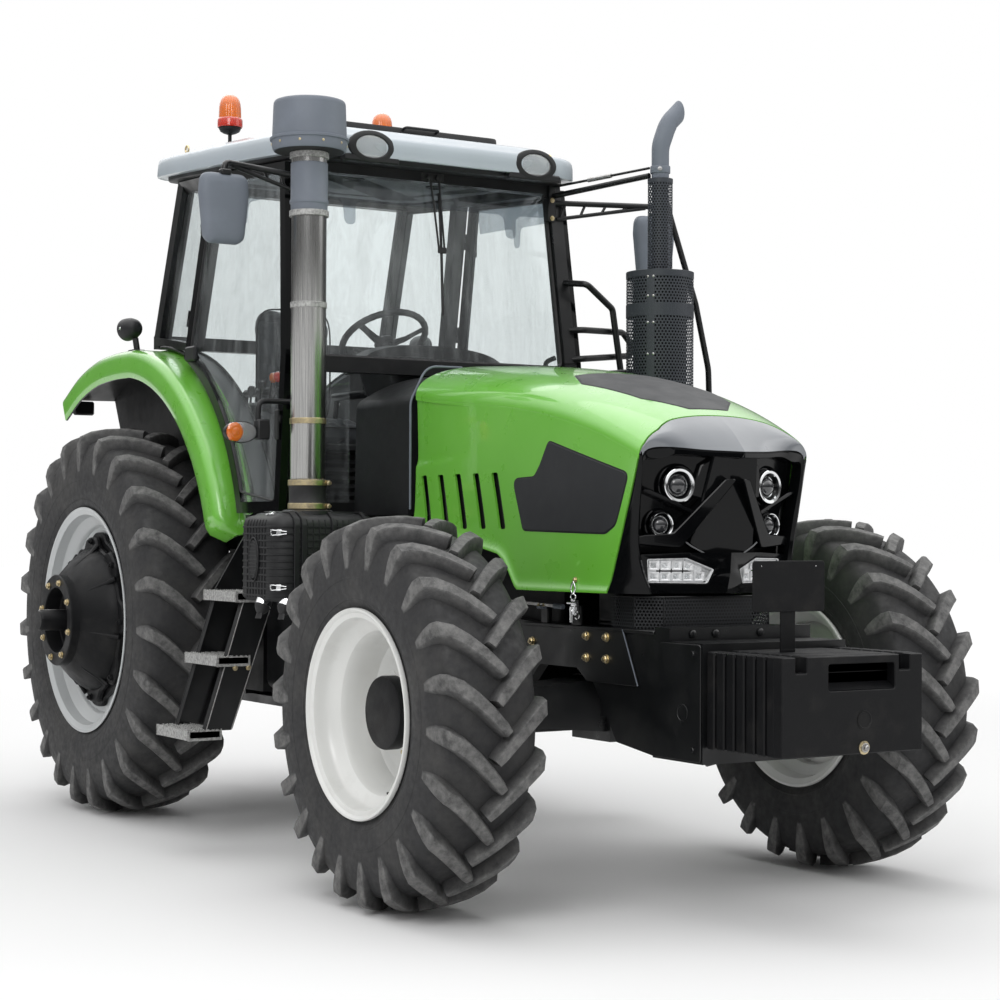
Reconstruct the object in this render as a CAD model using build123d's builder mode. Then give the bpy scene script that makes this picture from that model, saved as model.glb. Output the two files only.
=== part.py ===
"""Farm tractor with a cab, four driven wheels, front ballast and a rear linkage.

Millimetres. +X is the tractor's left, -Y is forward, +Z is up. The origin is on the ground,
under the middle of the tractor's length. Heights are above the ground and lengths along the
tractor are counted from the rear axle, positive to the rear: point() and the plane functions
turn them into the row's frame.
"""
import os
from math import cos, radians, sin, sqrt, tan

from build123d import *

os.makedirs("parts", exist_ok=True)

# ---------------------------------------------------------------- driving dimensions
wheelbase = 2850.0
front_track = 1880.0
rear_track = 1580.0
front_tyre_radius = 665.0
front_tyre_width = 378.0
front_rim_radius = 330.2
rear_tyre_radius = 870.0
rear_tyre_width = 440.0
rear_rim_radius = 482.6
rim_lip = 25.4
rim_wall = 9.0
face_gap = 0.3          # between faces of pieces that slide or turn on each other
seam = 5.0              # between panels that open
running_fit = 0.05      # radial, shaft in its hole

weights_reach = 1233.0  # front axle to the face of the ballast
link_eye_y = 1080.0     # rear axle to the lower-link eyes
link_eye_radius = 38.0
link_eye_z = 560.0
link_spacing = 870.0    # between the lower-link eyes

hood_rear_y = -1985.0
hood_nose_reach = 667.0  # front axle to the tip of the nose
hood_wall = 12.0
hood_hinge_z = 1884.0
hood_pin_radius = 9.0
hinge_ear_x = (40.0, 80.0)    # fixed ear of a hood hinge, then the hood's lug
hinge_lug_x = (84.0, 112.0)
cowl_gap = 38.0               # room for the hood's rear lip as it tips

cab_half_width = 645.0   # middle of the side pillars at the waist
cab_front_y = -1475.0    # foot of the windscreen
cab_floor_z = 1300.0
cab_waist_z = 2000.0
cab_top_z = 2790.0
wheel_height = 2110.0     # centre of the steering wheel
cab_side_lean = 2.5      # degrees, the sides lean in
floor_thickness = 40.0
pillar = 60.0
glass_thickness = 6.0

front_axle_y = -wheelbase
front_axle_z = front_tyre_radius
rear_axle_z = rear_tyre_radius
nose_y = front_axle_y - hood_nose_reach
hinge_y = hood_rear_y - 30
cowl_front_y = hood_rear_y + cowl_gap
rear_axle_y = (wheelbase + weights_reach - link_eye_y - link_eye_radius) / 2


# ---------------------------------------------------------------- places and simple bodies
def point(x, y, z):
    """A point given by its length behind the rear axle, in the row's frame."""
    return Vector(x, rear_axle_y + y, z)


def side(x=0.0):
    """Plane seen from the tractor's left: local x runs rearward, local y is up."""
    return Plane(origin=point(x, 0, 0), x_dir=(0, 1, 0), z_dir=(1, 0, 0))


def level(z=0.0):
    """Horizontal plane: local x is X, local y runs rearward from the rear axle."""
    return Plane(origin=point(0, 0, z), x_dir=(1, 0, 0), z_dir=(0, 0, 1))


def across(y):
    """Plane across the tractor, facing forward: local x is X, local y is up."""
    return Plane(origin=point(0, y, 0), x_dir=(1, 0, 0), z_dir=(0, -1, 0))


def block(x, y, z, mode=Mode.ADD):
    """A box between the two values of each pair."""
    middle = point(sum(x) / 2, sum(y) / 2, sum(z) / 2)
    with Locations(middle):
        Box(abs(x[1] - x[0]), abs(y[1] - y[0]), abs(z[1] - z[0]), mode=mode)


def bar(start, end, width, depth, width_dir=(1, 0, 0), mode=Mode.ADD):
    """A straight bar of rectangular section."""
    foot, head = point(*start), point(*end)
    with BuildSketch(Plane(origin=foot, x_dir=width_dir, z_dir=head - foot)) as section:
        Rectangle(width, depth)
    extrude(section.sketch, amount=(head - foot).length, mode=mode)


def rod(start, end, radius, mode=Mode.ADD):
    """A straight round bar."""
    foot, head = point(*start), point(*end)
    with BuildSketch(Plane(origin=foot, z_dir=head - foot)) as section:
        Circle(radius)
    extrude(section.sketch, amount=(head - foot).length, mode=mode)


def tube_path(points, bend_radius, tube_radius):
    """A bent tube through the points, with round bends."""
    corners = [point(*p) for p in points]
    with BuildLine() as path:
        FilletPolyline(*corners, radius=bend_radius)
    first = path.line.edges().sort_by_distance(corners[0])[0]
    with BuildSketch(Plane(origin=corners[0], z_dir=corners[1] - corners[0])) as section:
        Circle(tube_radius)
    sweep(section.sketch, path=path.line)


def prism(plane, points, amount, both=False, mode=Mode.ADD):
    """A polygon pushed out from its plane."""
    with BuildSketch(plane) as section:
        with BuildLine():
            Polyline(*points, close=True)
        make_face()
    extrude(section.sketch, amount=amount, both=both, mode=mode)


def keep(builder, name):
    """Labels a finished piece and writes it."""
    builder.part.label = name
    export_step(builder.part, f"parts/{name}.step")


# ---------------------------------------------------------------- wheels
# One row a wheel pair: tyre and rim sizes, then x of the lip, disc and hub faces from the track.
wheel_kinds = {
    "front": dict(track=front_track, axle_y=front_axle_y, radius=front_tyre_radius,
                  width=front_tyre_width, rim=front_rim_radius, rim_width=330.0, lip_face=185.0,
                  disc_face=-50.0, disc_hole=112.0),
    "rear": dict(track=rear_track, axle_y=0.0, radius=rear_tyre_radius,
                 width=rear_tyre_width, rim=rear_rim_radius, rim_width=386.0, lip_face=205.0,
                 disc_face=105.0, disc_hole=300.0),
}
disc_thickness = 14.0
tyre_shoulder = 34.0

spindle_radius = 45.0
kingpin_x = 620.0
knuckle_face_x = 800.0
front_hub_radius = 125.0
front_hub_face_x = 995.0
front_hub_flange_radius = 175.0

axle_bar_radius = 47.0
axle_bar_end_x = 1200.0
rear_axle_end_x = 548.0
rear_centre_face_x = 1120.0


def wheel_plane(kind, sign):
    """Plane on the wheel's centre, its normal pointing outward."""
    centre = point(sign * kind["track"] / 2, kind["axle_y"], kind["radius"])
    return Plane(origin=centre, x_dir=(0, 1, 0), z_dir=(sign, 0, 0))


def tyre_outline(kind):
    """Half section of a tyre: local x outward, local y the radius."""
    half, bead = kind["width"] / 2, kind["rim_width"] / 2 - 1
    outer, lip = kind["radius"], kind["rim"] + rim_lip + 2
    middle = (lip + outer) / 2
    shoulder = outer - tyre_shoulder
    with BuildLine() as edge_line:
        Polyline((-bead, lip), (-bead, kind["rim"]), (bead, kind["rim"]), (bead, lip))
        ThreePointArc((bead, lip), (half, middle - 20), (half - 9, shoulder))
        ThreePointArc((half - 9, shoulder), (0, outer), (9 - half, shoulder))
        ThreePointArc((9 - half, shoulder), (-half, middle - 20), (-bead, lip))
    make_face(edge_line.edges())


def rim_outline(kind):
    """Section of the rim and its disc: the tyre's side first, then back along the inside."""
    seat, lip = kind["rim"] - face_gap, kind["rim"] + rim_lip
    edge, half = kind["lip_face"], kind["rim_width"] / 2
    well, inner = seat - 55, seat - rim_wall
    with BuildLine() as edge_line:
        Polyline(
            (edge, lip), (half, lip), (half, seat), (half - 45, seat),
            (half - 75, well + rim_wall), (75 - half, well + rim_wall), (45 - half, seat),
            (-half, seat), (-half, lip), (-edge, lip), (-edge, lip - 12),
            (-half - rim_wall, lip - 12), (-half - rim_wall, inner), (40 - half, inner),
            (70 - half, well), (half - 70, well), (half - 40, inner),
            (half + rim_wall, inner), (half + rim_wall, lip - 12), (edge, lip - 12), close=True)
    make_face(edge_line.edges())
    disc, hole = kind["disc_face"], kind["disc_hole"]
    with Locations((disc - disc_thickness / 2, (well + hole + 4) / 2)):
        Rectangle(disc_thickness, well + 4 - hole)


def revolve_section(plane, outline, kind=None):
    """Turns an outline about the wheel's axis."""
    section_plane = Plane(origin=plane.origin, x_dir=plane.z_dir, z_dir=(0, -plane.z_dir.X, 0))
    with BuildSketch(section_plane) as section:
        if kind is None:
            outline()
        else:
            outline(kind)
    revolve(section.sketch, axis=Axis(plane.origin, plane.z_dir))


for place, sign in (("left", 1), ("right", -1)):
    for end, kind in wheel_kinds.items():
        plane = wheel_plane(kind, sign)
        with BuildPart() as tyre:
            revolve_section(plane, tyre_outline, kind)
        keep(tyre, f"tyre_{end}_{place}")
        with BuildPart() as rim:
            revolve_section(plane, rim_outline, kind)
        keep(rim, f"rim_{end}_{place}")

    # Planetary hub of a front wheel: a flange behind the disc, a drum and a raised cap.
    front = wheel_kinds["front"]
    disc_back_x = front_track / 2 + front["disc_face"] - disc_thickness
    hub_steps = (  # from x, to x, radius
        (knuckle_face_x + seam, disc_back_x, front_hub_flange_radius),
        (disc_back_x, front_hub_face_x - 30, front["disc_hole"] - 1),
        (front_hub_face_x - 60, front_hub_face_x, front_hub_radius),
    )
    with BuildPart() as hub_front:
        for start_x, end_x, radius in hub_steps:
            rod((sign * start_x, front_axle_y, front_axle_z),
                (sign * end_x, front_axle_y, front_axle_z), radius)
        rod((sign * (knuckle_face_x - 10), front_axle_y, front_axle_z),
            (sign * (disc_back_x + 20), front_axle_y, front_axle_z),
            spindle_radius + running_fit, mode=Mode.SUBTRACT)
    keep(hub_front, f"hub_front_{place}")

    # Cast centre of a rear wheel on its bar axle, with the open flange that clamps it.
    rear = wheel_kinds["rear"]
    disc_x = rear_track / 2 + rear["disc_face"]
    with BuildPart() as hub_rear:
        rod((sign * disc_x, 0, rear_axle_z), (sign * (disc_x + 50), 0, rear_axle_z), 395)
        with BuildSketch(Plane(origin=point(sign * (disc_x + 50), 0, rear_axle_z),
                               z_dir=(sign, 0, 0))) as dome_foot:
            Circle(360)
        with BuildSketch(Plane(origin=point(sign * (rear_centre_face_x - 40), 0, rear_axle_z),
                               z_dir=(sign, 0, 0))) as dome_top:
            Circle(205)
        loft([dome_foot.sketch.face(), dome_top.sketch.face()], ruled=True)
        rod((sign * (rear_centre_face_x - 40), 0, rear_axle_z),
            (sign * rear_centre_face_x, 0, rear_axle_z), 200)
        rod((sign * (rear_centre_face_x - 70), 0, rear_axle_z),
            (sign * (rear_centre_face_x + 5), 0, rear_axle_z), 140, mode=Mode.SUBTRACT)
        rod((sign * (rear_axle_end_x + face_gap), 0, rear_axle_z),
            (sign * axle_bar_end_x, 0, rear_axle_z), axle_bar_radius)
    keep(hub_rear, f"hub_rear_{place}")

# ---------------------------------------------------------------- front axle and steering
trunnion_radius = 75.0
trunnion_half_height = 120.0
knuckle_plate = 32.0
pivot_radius = 70.0
steer_arm_y = 210.0      # kingpin to the tie-rod eye, rearward
steer_arm_x = 560.0      # tie-rod eye from the middle of the tractor
tie_rod_radius = 17.0
steer_arm_thickness = 26.0
tie_rod_z = front_axle_z - trunnion_half_height - knuckle_plate / 2
tie_rod_lift = steer_arm_thickness / 2 + seam + tie_rod_radius

with BuildPart() as front_axle:
    for sign in (1, -1):
        with BuildSketch(Plane(origin=point(sign * 160, front_axle_y, front_axle_z),
                               z_dir=(sign, 0, 0))) as root:
            Rectangle(190, 190)
        with BuildSketch(Plane(origin=point(sign * (kingpin_x - 40), front_axle_y, front_axle_z),
                               z_dir=(sign, 0, 0))) as tip:
            Rectangle(120, 120)
        loft([root.sketch.face(), tip.sketch.face()], ruled=True)
        rod((sign * kingpin_x, front_axle_y, front_axle_z - trunnion_half_height),
            (sign * kingpin_x, front_axle_y, front_axle_z + trunnion_half_height),
            trunnion_radius)
    block((-165, 165), (front_axle_y - 120, front_axle_y + 120),
          (front_axle_z - 130, front_axle_z + 100))
    rod((0, front_axle_y - 215, front_axle_z + 10), (0, front_axle_y + 250, front_axle_z + 10),
        pivot_radius)
keep(front_axle, "front_axle")

for place, sign in (("left", 1), ("right", -1)):
    with BuildPart() as knuckle:
        for way in (1, -1):
            near = front_axle_z + way * (trunnion_half_height + face_gap)
            far = near + way * knuckle_plate
            rod((sign * kingpin_x, front_axle_y, near), (sign * kingpin_x, front_axle_y, far),
                trunnion_radius)
            block((sign * kingpin_x, sign * (knuckle_face_x - 60)),
                  (front_axle_y - trunnion_radius, front_axle_y + trunnion_radius), (near, far))
        block((sign * (kingpin_x + trunnion_radius + 25), sign * (knuckle_face_x - 40)),
              (front_axle_y - 95, front_axle_y + 95),
              (front_axle_z - trunnion_half_height - 20, front_axle_z + trunnion_half_height + 20))
        rod((sign * (knuckle_face_x - 45), front_axle_y, front_axle_z),
            (sign * knuckle_face_x, front_axle_y, front_axle_z), 135)
        rod((sign * knuckle_face_x, front_axle_y, front_axle_z),
            (sign * (knuckle_face_x + 60), front_axle_y, front_axle_z), spindle_radius)
        arm_low = tie_rod_z - steer_arm_thickness / 2
        with BuildSketch(level(arm_low)) as arm:
            with BuildLine():
                Polyline((sign * (kingpin_x - 30), front_axle_y + 40),
                         (sign * (kingpin_x + 50), front_axle_y + 40),
                         (sign * (steer_arm_x + 32), front_axle_y + steer_arm_y),
                         (sign * (steer_arm_x - 32), front_axle_y + steer_arm_y), close=True)
            make_face()
            with Locations((sign * steer_arm_x, front_axle_y + steer_arm_y)):
                Circle(32)
        extrude(arm.sketch, amount=steer_arm_thickness)
    keep(knuckle, f"knuckle_{place}")

tie_rod_level = tie_rod_z + tie_rod_lift
with BuildPart() as tie_rod:
    rod((-steer_arm_x, front_axle_y + steer_arm_y, tie_rod_level),
        (steer_arm_x, front_axle_y + steer_arm_y, tie_rod_level), tie_rod_radius)
    for sign in (1, -1):
        rod((sign * steer_arm_x, front_axle_y + steer_arm_y,
             tie_rod_z + steer_arm_thickness / 2 + face_gap),
            (sign * steer_arm_x, front_axle_y + steer_arm_y, tie_rod_level + 24), 24)
keep(tie_rod, "tie_rod")

# ---------------------------------------------------------------- frame, engine and driveline
frame_half_width = 285.0
frame_top_z = 935.0
frame_low_z = 560.0
rail = 40.0
frame_front_y = front_axle_y - 560
engine_front_y = front_axle_y + 330
engine_rear_y = -1650.0
block_rear_y = -2000.0        # the engine block ends and its flywheel housing starts
engine_half_width = 240.0
gearbox_rear_y = -330.0

with BuildPart() as front_frame:
    for sign in (1, -1):
        rail_outline = (  # length behind the rear axle, height
            (frame_front_y, frame_top_z), (front_axle_y, frame_top_z),
            (engine_front_y + 500, frame_top_z + 60),
            (engine_front_y + 500, 800), (front_axle_y + 330, 760), (front_axle_y + 260, 700),
            (front_axle_y + 150, 800), (front_axle_y - 150, 800), (front_axle_y - 230, 700),
            (front_axle_y - 330, frame_low_z), (frame_front_y, frame_low_z - 30))
        prism(side(sign * (frame_half_width - rail)), rail_outline, sign * rail)
    block((-frame_half_width, frame_half_width), (frame_front_y, frame_front_y + 60),
          (frame_low_z, frame_top_z))
    for start_y, end_y in ((-340, -225), (260, 340)):
        block((-frame_half_width + 5, frame_half_width - 5),
              (front_axle_y + start_y, front_axle_y + end_y), (640, 800))
    block((-frame_half_width + 5, frame_half_width - 5),
          (front_axle_y - 340, front_axle_y + 340), (830, 900))
    rod((0, front_axle_y - 345, front_axle_z + 10), (0, front_axle_y + 345, front_axle_z + 10),
        pivot_radius + face_gap, mode=Mode.SUBTRACT)
keep(front_frame, "front_frame")

driveshaft_radius = 38.0
pinion_z = front_axle_z + 10   # the driveshaft leaves through the axle's rear pivot
transfer_z = 475.0
transfer_y = -1200.0
sump_z = pinion_z + driveshaft_radius + 12
gearbox_low_z = 575.0
engine_base_z = 905.0
engine_top_z = 1480.0
gearbox_top_z = 1180.0
axle_housing_low_z = rear_axle_z - 330
axle_housing_top_z = rear_axle_z + 260

with BuildPart() as engine:
    block((-engine_half_width, engine_half_width), (front_axle_y + 60, block_rear_y),
          (engine_base_z, engine_top_z))
    block((-engine_half_width, engine_half_width), (engine_front_y + 10, block_rear_y),
          (sump_z, engine_base_z))
    block((-engine_half_width, engine_half_width), (block_rear_y, engine_rear_y),
          (sump_z, gearbox_top_z))
keep(engine, "engine")

with BuildPart() as transmission:
    block((-260, 260), (engine_rear_y, engine_rear_y + 160), (gearbox_low_z + 30, gearbox_top_z))
    block((-215, 215), (engine_rear_y + 160, gearbox_rear_y), (gearbox_low_z, 1100))
    block((-120, 120), (transfer_y, transfer_y + 350), (transfer_z - 60, gearbox_low_z))
keep(transmission, "transmission")

axle_shoulder_z = rear_axle_z + 190   # narrower above, between the lift arms

with BuildPart() as rear_axle:
    block((-250, 250), (gearbox_rear_y, 330), (axle_housing_low_z, axle_shoulder_z))
    block((-180, 180), (gearbox_rear_y, 330), (axle_shoulder_z, axle_housing_top_z))
    for sign in (1, -1):
        rod((sign * 240, 0, rear_axle_z), (sign * 470, 0, rear_axle_z), 150)
        rod((sign * 470, 0, rear_axle_z), (sign * rear_axle_end_x, 0, rear_axle_z), 125)
keep(rear_axle, "rear_axle")

with BuildPart() as driveshaft:
    slope = (pinion_z - transfer_z) / (transfer_y - front_axle_y - 250)
    rod((0, front_axle_y + 260, pinion_z - 10 * slope),
        (0, transfer_y - 10, transfer_z + 10 * slope), driveshaft_radius)
    rod((0, front_axle_y + 250, pinion_z - 4), (0, front_axle_y + 275, pinion_z - 4), 30)
    rod((0, transfer_y - 25, transfer_z + 3), (0, transfer_y, transfer_z + 3), 30)
keep(driveshaft, "driveshaft")

# ---------------------------------------------------------------- front ballast
weights_front_y = front_axle_y - weights_reach
weights_rear_y = weights_front_y + 403
weight_half_width = 289.0
weight_low_z = 582.0
weight_top_z = 895.0
slab_count = 8
bolt_x, bolt_z = 31.0, 621.0             # the bolt through all slabs
pocket_x, pocket_z = (-104.0, 177.0), (774.0, 871.0)
pocket_depth = 55.0
notch_x, notch_depth = (195.0, 237.0), 28.0

with BuildPart() as weight_carrier:
    block((-300, 300), (weights_rear_y, frame_front_y), (530, 918))
    block((-300, 300), (frame_front_y - 90, frame_front_y - 10), (918, 962))
keep(weight_carrier, "weight_carrier")

slab_pitch = (weights_rear_y - weights_front_y) / slab_count
with BuildPart() as front_weights:
    for index in range(slab_count):
        front_y = weights_front_y + index * slab_pitch
        block((-weight_half_width, weight_half_width), (front_y, front_y + slab_pitch),
              (weight_low_z, weight_top_z))
    for index in range(1, slab_count):
        for sign in (1, -1):
            groove_y = weights_front_y + index * slab_pitch
            block((sign * (weight_half_width - 10), sign * (weight_half_width + 5)),
                  (groove_y - 6, groove_y + 6), (weight_low_z - 5, weight_top_z + 5),
                  mode=Mode.SUBTRACT)
    block(pocket_x, (weights_front_y - 5, weights_front_y + pocket_depth), pocket_z,
          mode=Mode.SUBTRACT)
    for sign in (1, -1):
        block((sign * notch_x[0], sign * notch_x[1]), (weights_front_y - 5, weights_rear_y + 5),
              (weight_top_z - notch_depth, weight_top_z + 5), mode=Mode.SUBTRACT)
    rod((bolt_x, weights_front_y, bolt_z), (bolt_x, weights_rear_y, bolt_z), 14)
keep(front_weights, "front_weights")

plate_y = front_axle_y - 1000
plate_x, plate_z = (-236.0, 60.0), (1024.0, 1187.0)
plate_stay_x = sum(plate_x) / 2
with BuildPart() as number_plate:
    block(plate_x, (plate_y - 4, plate_y), plate_z)
    bar((plate_stay_x, plate_y + 4, weight_top_z), (plate_stay_x, plate_y + 4, plate_z[1] - 37),
        60, 8)
keep(number_plate, "number_plate")

with BuildPart() as lower_grille:
    block((-290, 290), (front_axle_y - 520, front_axle_y - 300), (frame_top_z, 1060))
keep(lower_grille, "lower_grille")

# ---------------------------------------------------------------- hood
hood_low_z = 1070.0
hood_length = hood_rear_y - nose_y
hood_sections = (  # share of the hood's length, half width, height of the side seam, top height
    (0.00, 402, 1795, 1930),
    (0.34, 416, 1740, 1893),
    (0.65, 402, 1672, 1812),
    (0.97, 356, 1500, 1625),
)
shoulder_radius = 55.0


def hood_body(inset, extra):
    """The hood's outside, or its inside when inset by the wall."""
    faces = []
    for share, half, seam_z, top_z in hood_sections:
        y = hood_rear_y - share * hood_length
        y += extra if share == 0 else 0
        y -= extra if share == hood_sections[-1][0] else 0
        half, seam_z, top_z = half - inset, seam_z - inset, top_z - inset
        with BuildSketch(across(y)) as section:
            with BuildLine():
                Polyline((-half, seam_z), (-half - 8, 900), (half + 8, 900), (half, seam_z))
                ThreePointArc((half, seam_z), (0, top_z), (-half, seam_z))
            make_face()
            corners = section.vertices().group_by(Axis.Y)[-1]
            fillet(corners, radius=shoulder_radius - inset / 2)
        faces.append(section.sketch.face())
    return faces


# Where the green hood gives way to the black nose, seen from the side.
nose_seam = (  # length behind the nose tip, height
    (267, 1000), (258, 1074), (101, 1548), (108, 1600), (150, 1658), (160, 2000))
hood_lower_edge = (  # length behind the rear axle, height
    (hood_rear_y + 130, 1330), (front_axle_y + 250, 1200), (front_axle_y + 100, hood_low_z),
    (nose_y - 100, hood_low_z), (nose_y - 100, 800), (hood_rear_y + 130, 800))
louvre_count = 5
louvre_pitch = 131.0
louvre_front_y = -2597.0
louvre_width = 44.0

with BuildPart() as hood:
    loft(hood_body(0, 0))
    loft(hood_body(hood_wall, 5), mode=Mode.SUBTRACT)
    seam_points = [(nose_y + back, height) for back, height in nose_seam]
    prism(side(), [*seam_points, (nose_y - 100, 2000), (nose_y - 100, 1000)], 600, both=True,
          mode=Mode.SUBTRACT)
    prism(side(), hood_lower_edge, 600, both=True, mode=Mode.SUBTRACT)
    for index in range(louvre_count):
        top_y = louvre_front_y + index * louvre_pitch
        slot = ((top_y, 1490), (top_y + louvre_width, 1490),
                (top_y + louvre_width - 60, 1285), (top_y - 60, 1285))
        prism(side(), slot, 600, both=True, mode=Mode.SUBTRACT)
    for sign in (1, -1):
        block((sign * hinge_lug_x[0], sign * hinge_lug_x[1]), (hinge_y - 16, hinge_y + 16),
              (hood_hinge_z - 16, hood_hinge_z + 30))
        rod((sign * hinge_lug_x[0], hinge_y, hood_hinge_z),
            (sign * hinge_lug_x[1], hinge_y, hood_hinge_z), hood_pin_radius + running_fit,
            mode=Mode.SUBTRACT)
keep(hood, "hood")

nose_half_width = 349.0
nose_side = (  # length behind the nose tip, height: the front and underside of the nose
    (134, 1070), (78, 1110), (74, 1195), (20, 1420), (0, 1553), (22, 1585), (143.5, 1650))
nose_sweep = 110.0       # the nose's corners lie this far behind its tip
nose_plan = ((-nose_half_width, 330), (-nose_half_width, nose_sweep), (0, 0),
             (nose_half_width, nose_sweep), (nose_half_width, 330))
nose_face = (  # half width, height: the nose seen from the front
    (296, 1060), (336, 1239), (nose_half_width + 1, 1400), (nose_half_width + 1, 1565),
    (200, 1652))
lamp_rows = (  # x, height, radius
    (193, 1434, 65), (234, 1301, 45))
with BuildPart() as hood_nose:
    nose_back = [(back - 0.5, height) for back, height in nose_seam[3:0:-1]]
    nose_outline = [(nose_y + back, height) for back, height in (*nose_side, *nose_back)]
    prism(side(), nose_outline, nose_half_width, both=True)
    with BuildSketch(level(900)) as plan:
        with BuildLine():
            Polyline(*[(x, nose_y + y) for x, y in nose_plan], close=True)
        make_face()
    extrude(plan.sketch, amount=1000, mode=Mode.INTERSECT)
    with BuildSketch(across(nose_y + 400)) as front_view:
        with BuildLine():
            Polyline(*nose_face, *[(-x, z) for x, z in reversed(nose_face)], close=True)
        make_face()
    extrude(front_view.sketch, amount=800, mode=Mode.INTERSECT)
    for lamp_x, lamp_z, lamp_radius in lamp_rows:
        for sign in (1, -1):
            seat_y = nose_y + nose_sweep * lamp_x / nose_half_width + 28
            rod((sign * lamp_x, seat_y - 120, lamp_z), (sign * lamp_x, seat_y, lamp_z),
                lamp_radius + 1, mode=Mode.SUBTRACT)
keep(hood_nose, "hood_nose")

with BuildPart() as headlamps:
    for lamp_x, lamp_z, lamp_radius in lamp_rows:
        for sign in (1, -1):
            seat_y = nose_y + nose_sweep * lamp_x / nose_half_width + 28
            rod((sign * lamp_x, seat_y - 24, lamp_z), (sign * lamp_x, seat_y, lamp_z),
                lamp_radius)
keep(headlamps, "headlamps")

# ---------------------------------------------------------------- fenders
fender_outer_x = 820.0
fender_inner_x = 548.0
fender_wall = 14.0
fender_lip = 135.0
fender_round = 34.0
fender_arch_z = 970.0      # centre of the arch over the rear axle
fender_radius = 1130.0
fender_low_z = 1262.0
fender_rear = (760.0, 1925.0)   # the tail of the fender, length and height


def fender_curve(inset):
    """The fender's arch from its front foot to its tail."""
    radius = fender_radius - inset
    foot_y = -sqrt((radius + 8) ** 2 - (fender_low_z - fender_arch_z) ** 2)
    tail_y, tail_z = fender_rear[0] - inset * 0.1, fender_rear[1] - inset
    shoulder = radians(52)
    ThreePointArc((foot_y, fender_low_z), (-radius * sin(shoulder), fender_arch_z
                  + radius * cos(shoulder)), (-100, fender_arch_z + radius))
    ThreePointArc((-100, fender_arch_z + radius), (340, fender_arch_z + radius - 22),
                  (tail_y, tail_z))
    return (foot_y, fender_low_z), (tail_y, tail_z)


def fender_band(x, depth_from, depth_to, amount, mode=Mode.ADD):
    """The band of the arch between two depths under its skin, from x outward."""
    with BuildSketch(side(x)) as section:
        with BuildLine() as outline:
            outer_foot, outer_tail = fender_curve(depth_from)
            inner_foot, inner_tail = fender_curve(depth_to)
            Line(outer_foot, inner_foot)
            Line(outer_tail, inner_tail)
        make_face(outline.edges())
    extrude(section.sketch, amount=amount, mode=mode)


with BuildPart() as rear_fenders:
    width = fender_outer_x - fender_inner_x
    fender_band(fender_inner_x, 0, fender_lip, width)
    outer_edges = rear_fenders.edges().filter_by(GeomType.CIRCLE)
    outer_edges = outer_edges.group_by(Axis.X)[-1].sort_by(SortBy.LENGTH)[-4:]
    skin_edges = outer_edges.filter_by(lambda edge: edge.radius > fender_radius - 20)
    fillet(skin_edges, radius=fender_round)
    fender_band(fender_inner_x - 1, fender_wall, fender_lip + 60, width - fender_wall + 1,
                mode=Mode.SUBTRACT)
    with BuildSketch(side(fender_inner_x - fender_wall)) as web:
        with BuildLine() as outline:
            foot, tail = fender_curve(0)
            Polyline(tail, (420, fender_low_z), foot)
        make_face(outline.edges())
    extrude(web.sketch, amount=fender_wall)
    mirror(about=Plane.YZ)
keep(rear_fenders, "rear_fenders")

# ---------------------------------------------------------------- cab
roof_pitch = 3.7          # degrees, the roof rises to the rear
roof_middle_y = -800.0
roof_low_z = 2830.0       # underside of the roof over roof_middle_y
roof_plane = Plane(origin=point(0, roof_middle_y, roof_low_z), x_dir=(1, 0, 0),
                   z_dir=(0, -sin(radians(roof_pitch)), cos(radians(roof_pitch))))
roof_band = 92.0
roof_crown = 50.0
pillar_face = pillar / 2
cab_inner_x = fender_inner_x - fender_wall
floor_edge_x = cab_half_width + 82
cab_rear_y = 60.0
sill_z = 1950.0
a_pillar = ((cab_half_width + 22, cab_front_y, cab_floor_z + floor_thickness),
            (cab_half_width, cab_front_y, cab_waist_z),
            (cab_half_width - 35, cab_front_y + 90, cab_top_z + 30))
b_pillar = ((cab_half_width, -435, 2075), (cab_half_width - 35, -625, 2860))
rear_pillar_x = cab_inner_x - pillar_face - 4     # clear of the fender
c_foot = (rear_pillar_x, cab_rear_y, cab_floor_z + floor_thickness)
c_knee = (rear_pillar_x, cab_rear_y, 2165)
c_pillar = ((590, cab_rear_y, 2150), (572, -185, 2890))
cab_bars = (  # foot, head, depth along the tractor
    (a_pillar[0], a_pillar[1], pillar), (a_pillar[1], a_pillar[2], pillar),
    (b_pillar[0], b_pillar[1], pillar), (c_foot, c_knee, pillar),
    (c_pillar[0], c_pillar[1], pillar))


def roof_height(y):
    """Height of the roof's underside."""
    return roof_low_z + (y - roof_middle_y) * tan(radians(roof_pitch))


header = (cab_half_width - 34, cab_front_y + 88, roof_height(cab_front_y + 88) - 20)
shoulder_rail = (cab_half_width - 34, -620, roof_height(-620) - 20)
tail_rail = (573, -180, roof_height(-180) - 20)
cab_rails = (  # start, end, width across the rail
    ((0, header[1], header[2]), header), ((0, cab_front_y, sill_z),
                                           (cab_half_width + 25, cab_front_y, sill_z)),
    ((0, cab_front_y, cab_floor_z + 60),
     (cab_half_width + 35, cab_front_y, cab_floor_z + 60)),
    (header, shoulder_rail), (shoulder_rail, tail_rail),
    ((0, tail_rail[1], tail_rail[2]), tail_rail),
    ((c_knee[0] - pillar_face, cab_rear_y, 2145), (620, cab_rear_y, 2145)),
    ((0, cab_rear_y, 2145), (c_knee[0], cab_rear_y, 2145)),
)
screen_half = cab_half_width - 15
screen_top_half = cab_half_width - 53
quarter_rear_x = 592.0
waist_rail = ((cab_half_width, -435, 2085), (quarter_rear_x, cab_rear_y, 2150))
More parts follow.
